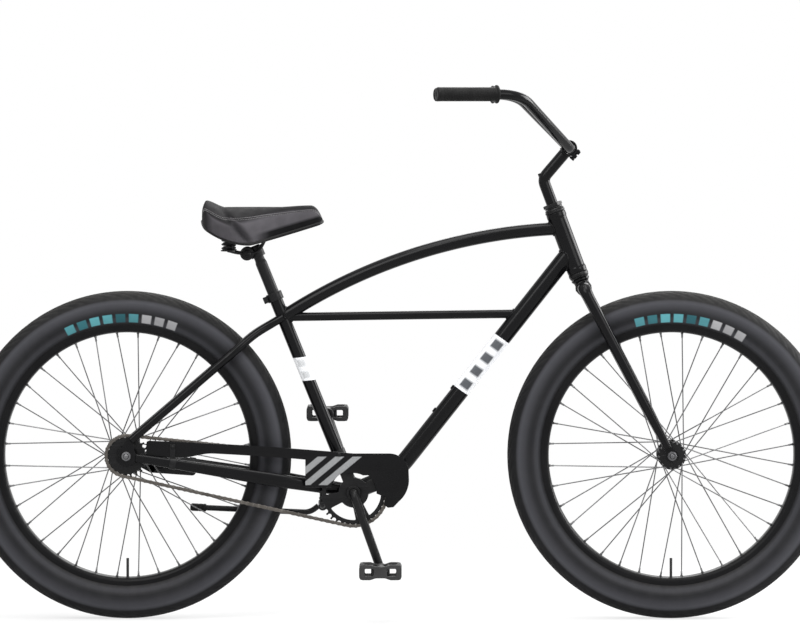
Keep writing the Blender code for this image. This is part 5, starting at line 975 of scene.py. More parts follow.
# %% [markdown]
# The frame is welded from round tubes. Two of them curve: the top tube is an arc, and the down
# tube turns up from the bottom bracket in a short bend. Every joint has its own cut and its own
# bead, so that the frame looks made, and the seat tube stays open for the post to slide in.

# %% Where the frame's tubes run
SHELL_RADIUS, SHELL_HALF = 0.0285, 0.0365
SEAT_TUBE_RADIUS, SEAT_TUBE_LENGTH = 0.0143, 0.468
HEAD_TUBE_RADIUS, HEAD_TUBE_FOOT, HEAD_TUBE_LENGTH = 0.0205, 0.4443, 0.14
TOP_TUBE_RADIUS, TOP_TUBE_ARC = 0.0143, 1.19
MID_TUBE_RADIUS, DOWN_TUBE_RADIUS = 0.0095, 0.01905


def on_steering(height):
    """The place on the steering axis at a distance above its foot."""
    return STEERING_FOOT + height * STEERING_UP


def side_line(degrees):
    """The direction in the side view that rises at an angle from straight ahead."""
    return np.array([math.cos(math.radians(degrees)), 0, math.sin(math.radians(degrees))])


def square_to(line):
    """The direction in the side view a quarter turn on from another: (x, 0, z) becomes (-z, 0, x)."""
    return unit([-line[2], 0, line[0]])


SEAT_CLUSTER = CRANK_AXLE + (SEAT_TUBE_LENGTH - 0.057) * SEAT_UP
HEAD_TUBE_TOP = HEAD_TUBE_FOOT + HEAD_TUBE_LENGTH
DOWN_TUBE_HEAD = on_steering(HEAD_TUBE_FOOT + 0.048)
DOWN_TUBE_KNEE = CRANK_AXLE + 0.0953 * side_line(22)
DOWN_TUBE_UP = unit(DOWN_TUBE_HEAD - DOWN_TUBE_KNEE)
shell_wall = (CRANK_AXLE, Y, SHELL_RADIUS)
seat_wall = (CRANK_AXLE, SEAT_UP, SEAT_TUBE_RADIUS)
head_wall = (STEERING_FOOT, STEERING_UP, HEAD_TUBE_RADIUS)
down_wall = (DOWN_TUBE_KNEE, DOWN_TUBE_UP, DOWN_TUBE_RADIUS)


def top_tube_path():
    """The arc of a given radius through the seat cluster and the head tube, bulging upwards.

    Its centre lies below the middle of the chord by sqrt(radius^2 - (chord / 2)^2).
    """
    start, end = SEAT_CLUSTER, on_steering(HEAD_TUBE_TOP - 0.037)
    chord = end - start
    centre = (start + end) / 2 - math.sqrt(TOP_TUBE_ARC**2 - (chord @ chord) / 4) * square_to(chord)
    angles = [math.atan2(*(point - centre)[[2, 0]]) for point in (start, end)]
    return around(centre, TOP_TUBE_ARC, np.linspace(*angles, 90))


# %% Head tube, seat tube and shell
CUP_SEAT = 0.0172
collar = HEAD_TUBE_RADIUS + 0.0015
profile = [
    (CUP_SEAT, 0), (collar - 0.0005, 0), (collar, 0.01), (HEAD_TUBE_RADIUS, 0.014),
    (HEAD_TUBE_RADIUS, HEAD_TUBE_LENGTH - 0.014), (collar, HEAD_TUBE_LENGTH - 0.01),
    (collar - 0.0005, HEAD_TUBE_LENGTH), (CUP_SEAT, HEAD_TUBE_LENGTH),
]
made = [turned_ring(profile, on_steering(HEAD_TUBE_FOOT), STEERING_UP, 72, 0.0015)]
painted("head_tube_skin", made, "head_tube")
profile = oblong(0.0262, SHELL_RADIUS, -SHELL_HALF, SHELL_HALF)
made = [turned_ring(profile, CRANK_AXLE, Y, 72, 0.0008)]
painted("bottom_bracket_barrel", made, "bottom_bracket_shell")

path = stepped([CRANK_AXLE, CRANK_AXLE + SEAT_TUBE_LENGTH * SEAT_UP], 0.01)
outside, *welds = fitted_tube(path, SEAT_TUBE_RADIUS, (shell_wall, None))
bore = rings(path[::-1][:-4], 0.0131, 36)
grid = joined([outside[0][:-2].reshape(-1, 36, 3), bore])
tube = (CRANK_AXLE, SEAT_UP, -square_to(SEAT_UP), SEAT_TUBE_RADIUS)
look = paint("seat tube paint", label(tube, (0.262, 0.316), 2, 0.004, (0.52, 0.53, 0.54)))
painted("seat_tube_skin", [skin(grid), *welds], "seat_tube", look)

# %% Top, middle and down tubes
made = fitted_tube(top_tube_path(), TOP_TUBE_RADIUS, (seat_wall, head_wall))
painted("top_tube_skin", made, "top_tube")

mid_line = side_line(0.8)
lines = np.column_stack([mid_line, -DOWN_TUBE_UP])[[0, 2]]
reach = np.linalg.solve(lines, (DOWN_TUBE_HEAD - SEAT_CLUSTER)[[0, 2]])[0]
path = stepped([SEAT_CLUSTER, SEAT_CLUSTER + reach * mid_line], 0.01)
made = fitted_tube(path, MID_TUBE_RADIUS, (seat_wall, down_wall), 28)
painted("mid_tube_skin", made, "mid_tube")

path = stepped(softened([CRANK_AXLE, DOWN_TUBE_KNEE, DOWN_TUBE_HEAD], 0.045, 12), 0.008)
made = fitted_tube(path, DOWN_TUBE_RADIUS, (shell_wall, head_wall))
BOTTLE_BOSSES = (0.166, 0.23)
across = square_to(DOWN_TUBE_UP)
boss = [(0.0062, 0), (0.0058, 0.0042), (0.0055, 0.0055), (0.0028, 0.0055), (0.0026, 0.0035)]
for distance in BOTTLE_BOSSES:
    foot = DOWN_TUBE_KNEE + distance * DOWN_TUBE_UP + (DOWN_TUBE_RADIUS - 0.003) * across
    made.append(skin(turned(boss, foot, across, 32)))
tube = (DOWN_TUBE_KNEE, DOWN_TUBE_UP, across, DOWN_TUBE_RADIUS)
look = paint("down tube paint", label(tube, (0.236, 0.38), 4, 0.001, (0.085, 0.09, 0.098)))
painted("down_tube_skin", made, "down_tube", look)

# %% Where the stays run
STAY_LINE = unit(REAR_AXLE - CRANK_AXLE)
CENTRE_DISTANCE = np.linalg.norm(REAR_AXLE - CRANK_AXLE)
STAY_BESIDE_TYRE, STAY_REAR = 0.185, CENTRE_DISTANCE - 0.021


def smooth(value):
    """3t^2 - 2t^3 of a value kept between 0 and 1."""
    t = np.clip(value, 0, 1)
    return t * t * (3 - 2 * t)


def chainstay(distance, side):
    """The chainstay's middle, half width and half height at distances behind the bracket.

    It swings out from the bracket by a smooth step until it is beside the tyre, and then straight
    to the dropout, while it grows a little and then tapers.
    """
    distance = np.atleast_1d(distance)
    rear = np.clip((distance - STAY_BESIDE_TYRE) / (STAY_REAR - STAY_BESIDE_TYRE), 0, 1)
    out = 0.026 + 0.0305 * smooth((distance - 0.016) / (STAY_BESIDE_TYRE - 0.016)) + 0.0135 * rear
    front = np.minimum(1, 0.85 + 0.15 * distance / STAY_BESIDE_TYRE)
    middle = CRANK_AXLE + distance[:, None] * STAY_LINE + side * out[:, None] * Y
    return middle, np.stack([0.0085 * (1 - 0.3 * rear), 0.015 * front * (1 - 0.4 * rear)], -1)


def at_angle(points, degrees):
    """Flat points turned about the origin by an angle."""
    turn = math.radians(degrees)
    return np.array(points) @ np.array([(math.cos(turn), math.sin(turn)), (-math.sin(turn), math.cos(turn))])


def dropout(eye, slot, tab, start, end, width=0.0054):
    """The outline of an eye with an open slot and a tab, with angles in degrees."""
    mouth = math.sqrt(eye**2 - width**2)
    lip = math.degrees(math.asin(width / eye)) + 8
    return joined([
        at_angle([(mouth, width)], slot), arc((0, 0), eye, slot + lip, start, 12), tab,
        arc((0, 0), eye, end, slot + 360 - lip, 12), at_angle([(mouth, -width)], slot),
        arc((0, 0), width, slot + 270, slot + 90, 14),
    ])


# %% Chainstays and seatstays
SEATSTAY_RADIUS, STAY_OFFSET = 0.0092, 0.07
SEATSTAY_UP = side_line(40.6)
SEATSTAY_ACROSS = square_to(SEATSTAY_UP)
SEATSTAY_FOOT = REAR_AXLE + 0.0196 * SEATSTAY_ACROSS
STAY_PLATE = REAR_AXLE * (1, 0, 1)


def seatstay_path(side):
    """Up from the dropout beside the tyre, then drawn in by a smooth step to the seat tube."""
    bottom, knee = SEATSTAY_FOOT + 0.0303 * SEATSTAY_UP, SEATSTAY_FOOT + 0.3842 * SEATSTAY_UP
    lower = np.linalg.norm(knee - bottom)
    top = SEAT_CLUSTER - 0.007 * unit(SEAT_CLUSTER - knee)
    line = stepped(softened([bottom, knee, top], 0.02, 8), 0.006)
    run = run_along(line)
    straight = lower - 0.088
    at_tyre = TYRE_HALF + 0.006 + SEATSTAY_RADIUS
    out = STAY_OFFSET + (at_tyre - STAY_OFFSET) * np.minimum(run / straight, 1)
    out = out + (0.0105 - at_tyre) * smooth((run - straight) / (run[-1] - straight))
    return line + side * out[:, None] * Y


end = (SEATSTAY_FOOT + 0.03 * SEATSTAY_UP - REAR_AXLE)[[0, 2]]
tab = end + np.array([[-1], [1]]) * SEATSTAY_RADIUS * SEATSTAY_ACROSS[[0, 2]]
outline = dropout(0.022, 180, tab, 395, 475)
for name, side in SIDES:
    middle, size = chainstay(np.linspace(0.018, STAY_REAR, 70), side)
    made = fitted_tube(middle, size, (shell_wall, None), 36, Z)
    made.append(plate(outline, DROPOUT, STAY_PLATE + side * STAY_OFFSET * Y))
    painted(f"chainstay_{name}_skin", made, f"chainstay_{name}")
    made = fitted_tube(seatstay_path(side), SEATSTAY_RADIUS, (None, seat_wall), 28, welds=False)
    painted(f"seatstay_{name}_skin", made, f"seatstay_{name}")

# %% [markdown]
# Small turned parts follow: the seat collar with its split ears, the headset cups, and the bearing
# cups of the crank. Each is a profile with rounded corners, so that its edges catch the light.

# %% Seat collar
COLLAR_RADIUS, COLLAR_HEIGHT = SEAT_TUBE_RADIUS + 0.0035, 0.018
start = CRANK_AXLE + (SEAT_TUBE_LENGTH - COLLAR_HEIGHT) * SEAT_UP
profile = oblong(SEAT_TUBE_RADIUS + FIT, COLLAR_RADIUS, 0, COLLAR_HEIGHT)
made = [turned_ring(profile, start, SEAT_UP, 64, 0.0008)]
BACK = square_to(SEAT_UP)
middle = start + COLLAR_HEIGHT / 2 * SEAT_UP + (COLLAR_RADIUS + 0.0028) * BACK
for side in (-1, 1):
    made.append(block(middle + side * 0.0046 * Y, (0.0112, 0.0066, 0.0144), (BACK, Y, SEAT_UP), 0.0012))
bolt = [(0.0027, -0.0105), (0.0027, 0.0085), (0.0046, 0.0087), (0.0046, 0.0125), (0.0022, 0.0128)]
nut = [(0.0045, -0.0118), (0.0045, -0.0085), (0.003, -0.0085)]
made.append(turned_solid(bolt, middle + 0.001 * BACK, Y, 24, 0.0004))
made.append(turned_solid(nut, middle + 0.001 * BACK, Y, 24, 0.0003, flats=0.004))
fitting("seat_collar", made, "frame", "seat_clamp")

# %% Headset and bearing cups
HEADSET_BORE, LOWER_STACK = 0.01532, 0.0135
CUPS = (("upper", HEAD_TUBE_TOP, 1, 0.0105), ("lower", HEAD_TUBE_FOOT, -1, LOWER_STACK))
for name, height, way, stack in CUPS:
    profile = [
        (HEADSET_BORE, -0.008), (0.0169, -0.008), (0.0169, FIT), (0.0212, FIT), (0.022, 0.0016),
        (0.022, stack - 0.0062), (0.0208, stack - 0.0055), (0.0208, stack - 0.0048),
        (0.0216, stack - 0.0042), (0.019, stack - 0.0004), (HEADSET_BORE, stack - 0.0004),
    ]
    made = [turned_ring(profile, on_steering(height), way * STEERING_UP, 72, 0.0004, 3)]
    fitting(f"headset_{name}_cup", made, "frame", f"headset_cup_{name}")
start = on_steering(HEAD_TUBE_TOP + 0.0108)
nut = nut_skin(start + 0.0022 * STEERING_UP, STEERING_UP, 0.0366, 0.008, HEADSET_BORE)
washer = turned_ring(oblong(HEADSET_BORE, 0.0196, 0, 0.002), start, STEERING_UP, 64, 0.0004)
fitting("headset_nut_and_washer", [nut, washer], "fork", "headset_locknut")

profile = [
    (0.01, -0.01), (0.0252, -0.01), (0.0252, FIT), (0.0275, FIT), (0.0275, 0.0022),
    (0.0262, 0.0033), (0.015, 0.0033), (0.014, 0.002), (0.01, 0.002),
]
for name, side in SIDES:
    made = [turned_ring(profile, CRANK_AXLE + side * SHELL_HALF * Y, side * Y, 64, 0.0004, 3)]
    fitting(f"bearing_cup_{name}", made, "frame", f"bb_cup_{name}")

# %% [markdown]
# The fork's steerer stands on a short cross tube, and a blade leaves each of its ends, turns down
# in one bend, and tapers to a slotted plate for the axle.

# %% Fork
CROWN_HEIGHT, STEERER_TOP = 0.408, 0.6053
CROWN = on_steering(CROWN_HEIGHT)
CROWN_RADIUS, CROWN_HALF, BLADE_OFFSET = 0.0155, 0.027, 0.0625
race = HEAD_TUBE_FOOT - LOWER_STACK - FIT - CROWN_HEIGHT
top = STEERER_TOP - CROWN_HEIGHT
profile = [
    (0.013, 0.001), (0.0158, 0.001), (0.016, race - 0.009), (0.018, race - 0.006), (0.02, race - 0.0035),
    (0.02, race), (0.0143, race), (0.0143, top - 0.0004), (0.013, top - 0.0004),
]
made = [turned_ring(profile, CROWN, STEERING_UP, 64, 0.0005)]
profile = mirrored([(CROWN_RADIUS - 0.003, -CROWN_HALF), (CROWN_RADIUS, -CROWN_HALF + 0.002)])
made.append(turned_solid(profile, CROWN, Y, 56, 0.001))
start = CROWN + 0.02 * STEERING_UP
ring = rings([start, CROWN + 0.01 * STEERING_UP], 0.016, 40)[0]
made.append(weld(ring, start, -STEERING_UP, (CROWN, Y, CROWN_RADIUS)))
painted("steerer_and_crown", made, "fork_steerer", fork_paint, "fork")

DOWN = unit(FRONT_AXLE - CROWN)
DOWN_ANGLE = math.degrees(math.atan2(-DOWN[2], -DOWN[0]))
for name, side in SIDES:
    end = FRONT_AXLE - 0.02 * DOWN + side * BLADE_OFFSET * Y
    corners = [CROWN + side * (CROWN_HALF + FIT) * Y, CROWN + side * BLADE_OFFSET * Y, end]
    path = stepped(softened(corners, 0.0325, 16), 0.004)
    left = np.linalg.norm(path - end, axis=1)
    radii = np.interp(left, [0, 0.1, left[12], left[0]], [0.0085, 0.0115, 0.0125, 0.0145])
    bead = rings(path[1:3] - side * 0.0002 * Y, 0.0153, 40, X)[0]
    bead = rings(looped(bead, WELD_RIPPLE / 4), 0.0016, 8, side * Y, closed=True)
    tab = at_angle([(0.034, -0.0086), (0.034, 0.0086)], DOWN_ANGLE)
    outline = dropout(0.015, DOWN_ANGLE - 180, tab, DOWN_ANGLE - 40, DOWN_ANGLE + 40)
    made = [
        skin(rings(path, radii, 40, X)), skin(bead, closed_rows=True),
        plate(outline, DROPOUT, FRONT_AXLE * (1, 0, 1) + side * BLADE_OFFSET * Y),
    ]
    painted(f"fork_blade_{name}_skin", made, f"fork_blade_{name}", fork_paint, "fork")

# %% [markdown]
# The stem is a quill that slides in the steerer, bent forwards into an arm. Its clamp is a split
# barrel with two ears and a bolt. The bar is one tube: it spreads from the clamp, rises, and turns
# back towards the rider, with a rubber sleeve on each end.

# %% Stem
STEM_RISE, STEM_FOOT = 49.5, 0.5203
STEM_TOP = on_steering(0.663)
STEM_ARM, EAR_DOWN = side_line(STEM_RISE), side_line(STEM_RISE - 90)
STEM_RADIUS, SHIM_RADIUS = 0.0127, 0.0127
CLAMP_HALF, CLAMP_RADIUS = 0.023, 0.0175
path = softened([on_steering(STEM_FOOT), STEM_TOP, STEM_TOP + 0.0745 * STEM_ARM], 0.014, 10)
barrel = oblong(SHIM_RADIUS + FIT, CLAMP_RADIUS, -CLAMP_HALF, CLAMP_HALF)
start = BAR_CENTRE - 0.03 * STEM_ARM
ring = rings([start, BAR_CENTRE - 0.02 * STEM_ARM], STEM_RADIUS, 40)[0]
made = [
    skin(rings(stepped(path, 0.004), STEM_RADIUS, 40)), turned_ring(barrel, BAR_CENTRE, Y, 64, 0.0012),
    weld(ring, start, STEM_ARM, (BAR_CENTRE, Y, CLAMP_RADIUS), 0.0016),
]
for way in (-1, 1):
    middle = BAR_CENTRE + (CLAMP_RADIUS + 0.001) * EAR_DOWN + way * 0.0056 * STEM_ARM
    made.append(block(middle, (0.0086, 0.0322, 0.014), (STEM_ARM, Y, EAR_DOWN), 0.0015))
painted("stem_quill_and_clamp", made, "stem", bar_paint, "stem")
middle = BAR_CENTRE + (CLAMP_RADIUS + 0.0025) * EAR_DOWN
bolt = [(0.0028, -0.012), (0.0028, 0.0095), (0.0055, 0.01), (0.0055, 0.015), (0.003, 0.0152)]
head = [(0.007, 0.0065), (0.007, 0.0125), (0.0052, 0.0135), (0.003, 0.0135), (0.003, 0.01)]
shaft = [(0.003, -0.139), (0.003, 0.0068)]
wedge = [(0.01, -0.1662), (0.0126, -0.1645), (0.0126, -0.1432), (0.01, -0.1432)]
made = [
    turned_solid(bolt, middle - 0.0005 * STEM_ARM, -STEM_ARM, 32, 0.0005),
    turned_solid(head, STEM_TOP, STEERING_UP, 48, 0.0004, flats=0.0062),
    skin(turned(shaft, STEM_TOP, STEERING_UP, 20)), turned_solid(wedge, STEM_TOP, STEERING_UP, 40, 0.0006),
]
fitting("stem_bolts_and_wedge", made, "stem", "stem_expander")

# %% Handlebar and grips
SWEEP = unit([-0.94721, 0.320613, 0])
GRIP_LENGTH, GRIP_RADIUS, BAR_RADIUS = 0.135, 0.0155, 0.0111
corner = BAR_CENTRE + 0.04 * Y
bend = BAR_CENTRE + (-0.111, 0.27, 0.117)
bar_end = bend + 0.06 / SWEEP[1] * SWEEP
half_bar = softened([BAR_CENTRE, corner, bend, bar_end], np.array([0, 0.01, 0.048, 0]), 14)
path = stepped(joined([half_bar[::-1] * (1, -1, 1), half_bar[1:]]), 0.006)
shim = mirrored([(0.0108, -0.0285), (0.0113, -0.0285), (SHIM_RADIUS, -0.0262)])
made = [skin(rings(path, BAR_RADIUS, 36, (0.2, 0.1, 0.97))), turned_ring(shim, BAR_CENTRE, Y, 48, 0.0006)]
painted("handlebar_tube", made, "handlebar", bar_paint, "handlebar")

RIB_PITCH = 0.0036


def grip_profile():
    """A sleeve: a thumb flange, soft ribs along its length, and a rounded end with a hollow.

    The ribs are a power of a cosine of the length, so that they are round with narrow valleys.
    """
    length = np.linspace(0.0075, 0.126, 330)
    ribs = 0.0008 * np.abs(np.cos(np.pi * length / RIB_PITCH)) ** 0.35
    body = np.stack([GRIP_RADIUS - 0.0012 + ribs, length], -1)
    flange = [
        (BAR_RADIUS + FIT, 0), (0.0192, 0), (0.0199, 0.0012), (0.0199, 0.003), (0.0188, 0.0042),
        (0.0158, 0.0058),
    ]
    end = [
        (0.0152, 0.129), (0.0154, 0.132), (0.0149, 0.1355), (0.0129, 0.1376), (0.006, 0.1378),
        (0.004, 0.1368),
    ]
    return joined([flange, body, end])


for name, side in SIDES:
    turn = np.array([1, side, 1])
    start = (bar_end - GRIP_LENGTH * SWEEP) * turn
    made = [skin(turned(grip_profile(), start, SWEEP * turn, 48))]
    piece(f"grip_{name}_sleeve", made, grip_look, "handlebar", "grip_rubber", f"grip_{name}", sharp=50)

# %% [markdown]
# The crank is one steel bar, bent twice, with an eye for each pedal's axle. The chainring is a
# toothed plate with four windows. A tooth's flanks come from the roller that sits between two of
# them, so the outline is worked out for one tooth and turned round for all.

# %% Crank and pedal axles
CRANK_ANGLE = -70.4
CRANK_LENGTH, ARM_OFFSET, ROD_RADIUS = 0.175, 0.078, 0.0095
CRANK_LINE = side_line(CRANK_ANGLE)
EYES = {side: CRANK_AXLE - side * (CRANK_LENGTH * CRANK_LINE - ARM_OFFSET * Y) for side in (-1, 1)}
route = [EYES[-1], CRANK_AXLE - ARM_OFFSET * Y, CRANK_AXLE + ARM_OFFSET * Y, EYES[1]]
path = stepped(softened(route, 0.017, 12), 0.004)
made = [skin(rings(path, ROD_RADIUS, 36, square_to(CRANK_LINE)))]
profile = mirrored([(0.0063, -0.01), (0.0125, -0.01), (0.0135, -0.009)])
made += [turned_ring(profile, eye, Y, 56, 0.0008) for eye in EYES.values()]
PIN_SPOT = CRANK_AXLE + 0.024 * CRANK_LINE
pin = [(0.0034, -ARM_OFFSET), (0.004, -ARM_OFFSET + 0.001), (0.004, -0.0556), (0.0034, -0.0552)]
hub = oblong(ROD_RADIUS, 0.015, -0.0655, -0.057)
made += [turned_solid(pin, PIN_SPOT, Y, 24, 0.0004), turned_ring(hub, CRANK_AXLE, Y, 48, 0.0006)]
fitting("crank_bar", made, "crankset", "crank")

spindle = [(0.005, -0.008), (0.006, -0.0072), (0.006, 0.01), (0.006, 0.096), (0.0052, 0.097)]
flats = oblong(0.006, 0.0088, 0.0104, 0.015)
for name, side in SIDES:
    spot = (EYES[side], side * Y)
    made = [turned_solid(spindle, *spot, 32, 0.0004), turned_ring(flats, *spot, 60, 0.0004, 3, flats=0.0077)]
    piece(f"pedal_axle_{name}", made, bright_look, "crankset", "bright_fittings", f"pedal_spindle_{name}")

# %% Where the chain runs
PITCH, RING_TEETH, SPROCKET_TEETH, LINKS = 0.0127, 36, 22, 108
CHAINLINE = -0.054
RING_RADIUS = PITCH / (2 * math.sin(math.pi / RING_TEETH))
SPROCKET_RADIUS = PITCH / (2 * math.sin(math.pi / SPROCKET_TEETH))
TILT = math.atan2(*(REAR_AXLE - CRANK_AXLE)[[2, 0]])
HALF_SPREAD = math.asin((RING_RADIUS - SPROCKET_RADIUS) / CENTRE_DISTANCE)
RING_ARC = RING_TEETH * (math.pi + 2 * HALF_SPREAD) / (2 * math.pi)
SPROCKET_ARC = SPROCKET_TEETH * (math.pi - 2 * HALF_SPREAD) / (2 * math.pi)
RUN = CENTRE_DISTANCE * math.cos(HALF_SPREAD) / PITCH


def chain_places(pitches):
    """Where the chain is after each number of pitches, and its heading as an angle.

    It goes round the chainring's front, back along the lower run, round the sprocket, and
    forwards along the upper run. Each stretch is an arc or a line, chosen by the count.
    """
    start = TILT - math.pi / 2 + HALF_SPREAD
    ring = start - np.minimum(pitches, RING_ARC) * 2 * math.pi / RING_TEETH
    lower = np.clip(pitches - RING_ARC, 0, RUN)
    turned_back = np.clip(pitches - RING_ARC - RUN, 0, SPROCKET_ARC)
    sprocket = ring - turned_back * 2 * math.pi / SPROCKET_TEETH
    upper = np.clip(pitches - RING_ARC - RUN - SPROCKET_ARC, 0, None)
    heading = sprocket - math.pi / 2
    ahead = around(0, 1, heading)
    on_ring = around(CRANK_AXLE, RING_RADIUS, ring) + lower[:, None] * PITCH * ahead
    on_sprocket = around(REAR_AXLE, SPROCKET_RADIUS, sprocket) + upper[:, None] * PITCH * ahead
    behind = (pitches > RING_ARC + RUN)[:, None]
    return np.where(behind, on_sprocket, on_ring) + CHAINLINE * Y, heading


# %% Chainring and sprocket
ROLLER_RADIUS, TOOTH_HEIGHT, TOOTH_THICKNESS = 0.0042, 0.0034, 0.0028


def toothed(teeth, radius, first_pin):
    """A seat of the roller's radius at each pin, and between two seats a tooth with a round tip.

    One tooth is a line of (angle share, radius), and the outline is that line in each pitch.
    """
    seat = np.radians(np.linspace(-68, 68, 7))
    across, in_line = (ROLLER_RADIUS + 0.0004) * np.array([np.sin(seat), np.cos(seat)])
    out = radius - in_line
    tips = np.array([0.66, 0.86, 1.14, 1.34]) * math.pi / teeth
    heights = radius + TOOTH_HEIGHT * np.array([0.62, 1, 1, 0.62])
    angle = joined([across / out, tips])
    reach = joined([out, heights])
    turn = (first_pin + 2 * np.pi * np.arange(teeth) / teeth)[:, None] + angle
    return np.stack([reach * np.cos(turn), reach * np.sin(turn)], -1).reshape(-1, 2)


def kidney(middle, inner=0.45, outer=0.82, half_angle=30):
    """A window between two radii, with softened corners."""
    far = arc((0, 0), RING_RADIUS * outer, middle - half_angle, middle + half_angle, 14)
    near = arc((0, 0), RING_RADIUS * inner, middle + half_angle * 0.8, middle - half_angle * 0.8, 12)
    return softened(joined([far, near]), 0.003, 4, closed=True)


_, headings = chain_places(np.array([0.0, math.ceil(RING_ARC + RUN)]))
holes = [arc((0, 0), ROD_RADIUS + 0.0006, 0, 350, 32)]
holes += [kidney(CRANK_ANGLE + 45 + 90 * i) for i in range(4)]
holes.append(arc((PIN_SPOT - CRANK_AXLE)[[0, 2]], 0.0043, 0, 340, 18))
outline = toothed(RING_TEETH, RING_RADIUS, headings[0] + math.pi / 2)
made = [plate(outline, TOOTH_THICKNESS, CRANK_AXLE + CHAINLINE * Y, holes, 0.0005)]
fitting("chainring_plate", made, "crankset", "chainring")

outline = toothed(SPROCKET_TEETH, SPROCKET_RADIUS, headings[1] + math.pi / 2)
driver = [(0.0056, -0.0625), (0.015, -0.0625), (0.0165, -0.061), (0.0165, -0.0468), (0.0056, -0.0468)]
snap_ring = oblong(0.016, 0.0182, -0.0568, -0.0556)
made = [
    plate(outline, TOOTH_THICKNESS, REAR_AXLE + CHAINLINE * Y, [arc((0, 0), 0.015, 0, 350, 32)], 0.0005),
    turned_ring(driver, REAR_AXLE, Y, 48, 0.0006), turned_ring(snap_ring, REAR_AXLE, Y, 48, 0.0002),
]
fitting("rear_sprocket_plate", made, "sprocket", "rear_sprocket")

# %% Chain
PLATE_HALF, PLATE_WAIST, PLATE_THICKNESS = 0.0042, 0.0031, 0.0011
INNER_FACE = TOOTH_THICKNESS / 2 + FIT


def link_outline():
    """A link plate like an eight: an arc round either pin and a waist between, as (along, up)."""
    far = arc((PITCH, 0), PLATE_HALF, -75, 75, 5)
    near = arc((0, 0), PLATE_HALF, 105, 255, 5)
    return joined([far, [(PITCH / 2, PLATE_WAIST)], near, [(PITCH / 2, -PLATE_WAIST)]])


def round_bars(places, radius, half, sides=10):
    """Short bars across the chain, one at each place, with rounded ends."""
    across = np.array([-half, -half + 0.0003, half - 0.0003, half])[:, None] * Y
    return many_tubes(places[:, None] + across, radius * np.array([0.8, 1, 1, 0.8]), sides)


pins, _ = chain_places(np.arange(LINKS, dtype=float))
outline = link_outline()
ahead = np.roll(pins, -1, axis=0) - pins
above = np.cross(unit(ahead), Y)
share = outline[:, :1] / PITCH
flat = pins[:, None] + share * ahead[:, None] - outline[:, 1:] * above[:, None]
shrink = flat.mean(1, keepdims=True) + 0.93 * (flat - flat.mean(1, keepdims=True))
made = []
for i in range(LINKS):
    inner = INNER_FACE + (i % 2) * (PLATE_THICKNESS + 0.0001)
    outer = inner + PLATE_THICKNESS
    for side in (-1, 1):
        levels = [(flat[i], inner), (flat[i], outer - 0.0002), (shrink[i], outer)]
        made.append(skin(np.stack([line + side * level * Y for line, level in levels])))
made += round_bars(pins, 0.0018, INNER_FACE + 2 * PLATE_THICKNESS + 0.0004, 8)
made += round_bars(pins, ROLLER_RADIUS - 0.0002, INNER_FACE - 0.0001)
print("chain of", LINKS, "links")
piece("roller_chain", made, chain_look, "frame", "black_fittings", "chain", sharp=30)

# %% [markdown]
# A block pedal is a nylon frame round a barrel, with two tread blocks. Its sides have a waist where
# the foot's middle rests, windows that show the barrel, and small pegs for grip.

# %% Pedals
PEDAL_INNER, PEDAL_WIDTH, END_PLATE = 0.0935, 0.096, 0.0125
PEGS, PEG_STEP, TREAD_OUT = 7, 0.0105, 0.04


def pedal_outline():
    """A quarter of the pedal's side view, mirrored both ways, with softened corners."""
    half, tall = 0.046, 0.0165
    quarter = np.array([
        (0.01, tall - 0.004), (0.022, tall), (half - 0.007, tall), (half - 0.002, tall - 0.002),
        (half, tall - 0.007),
    ])
    right = joined([quarter, quarter[::-1] * (1, -1)])
    return softened(joined([right, right[::-1] * (-1, 1)]), 0.002, 4, closed=True)


def pedal_skins(eye, side):
    """End plates, tread blocks, a barrel and rows of pegs, which leave the windows open."""
    inner, middle, outer = (
        eye + side * (PEDAL_INNER - ARM_OFFSET + reach) * Y
        for reach in (END_PLATE / 2, PEDAL_WIDTH / 2, PEDAL_WIDTH - END_PLATE / 2)
    )
    outline = pedal_outline()
    hole = arc((0, 0), 0.0066, 0, 350, 28)
    window = softened(oblong(0.0145, 0.034, -0.008, 0.008), 0.003, 4, closed=True)
    windows = [window, window * (-1, 1)]
    barrel = oblong(0.0066, 0.012, -0.044, 0.042)
    made = [
        plate(outline, END_PLATE, inner, [hole, *windows], 0.0008),
        plate(outline, END_PLATE, outer, windows, 0.0008), turned_ring(barrel, middle, side * Y, 40, 0.0006),
    ]
    for way in (-1, 1):
        made.append(block(middle + way * TREAD_OUT * X, (0.01, 0.076, 0.029), bevel=0.0022))
        made.append(block(middle + way * 0.0175 * X, (0.0055, 0.076, 0.024), bevel=0.0016))
        for level in (-1, 1):
            for n in range(PEGS):
                spot = middle + (way * TREAD_OUT, (n - PEGS // 2) * PEG_STEP, level * 0.015)
                made.append(block(spot, (0.007, 0.006, 0.003), bevel=0.0008))
    return made


for name, side in SIDES:
    body = f"pedal_{name}"
    piece(f"{body}_block", pedal_skins(EYES[side], side), nylon_look, body, "pedal_plastic", body)

# %% [markdown]
# The chain guard is a pressed plate: a bar over the upper run that widens into a hood round the
# front of the chainring. Slanted grey bars are printed on the hood. A clip on the seat tube and a
# strap on the chainstay carry it.

# %% Chain guard
GUARD_FACE, GUARD_THICKNESS = -0.0625, 0.002
GUARD_LENGTH, GUARD_BAR, GUARD_AHEAD, GUARD_FOOT = 0.44, 0.022, 0.1207, 0.077


def guard_top(reach):
    """The bar's top edge above the bracket: a slope from 86 to 113.5 mm with a sine's rise on it."""
    share = np.clip(-np.asarray(reach, float) / GUARD_LENGTH, 0, 1)
    return 0.086 + 0.0275 * share + 0.003 * np.sin(np.pi * share)


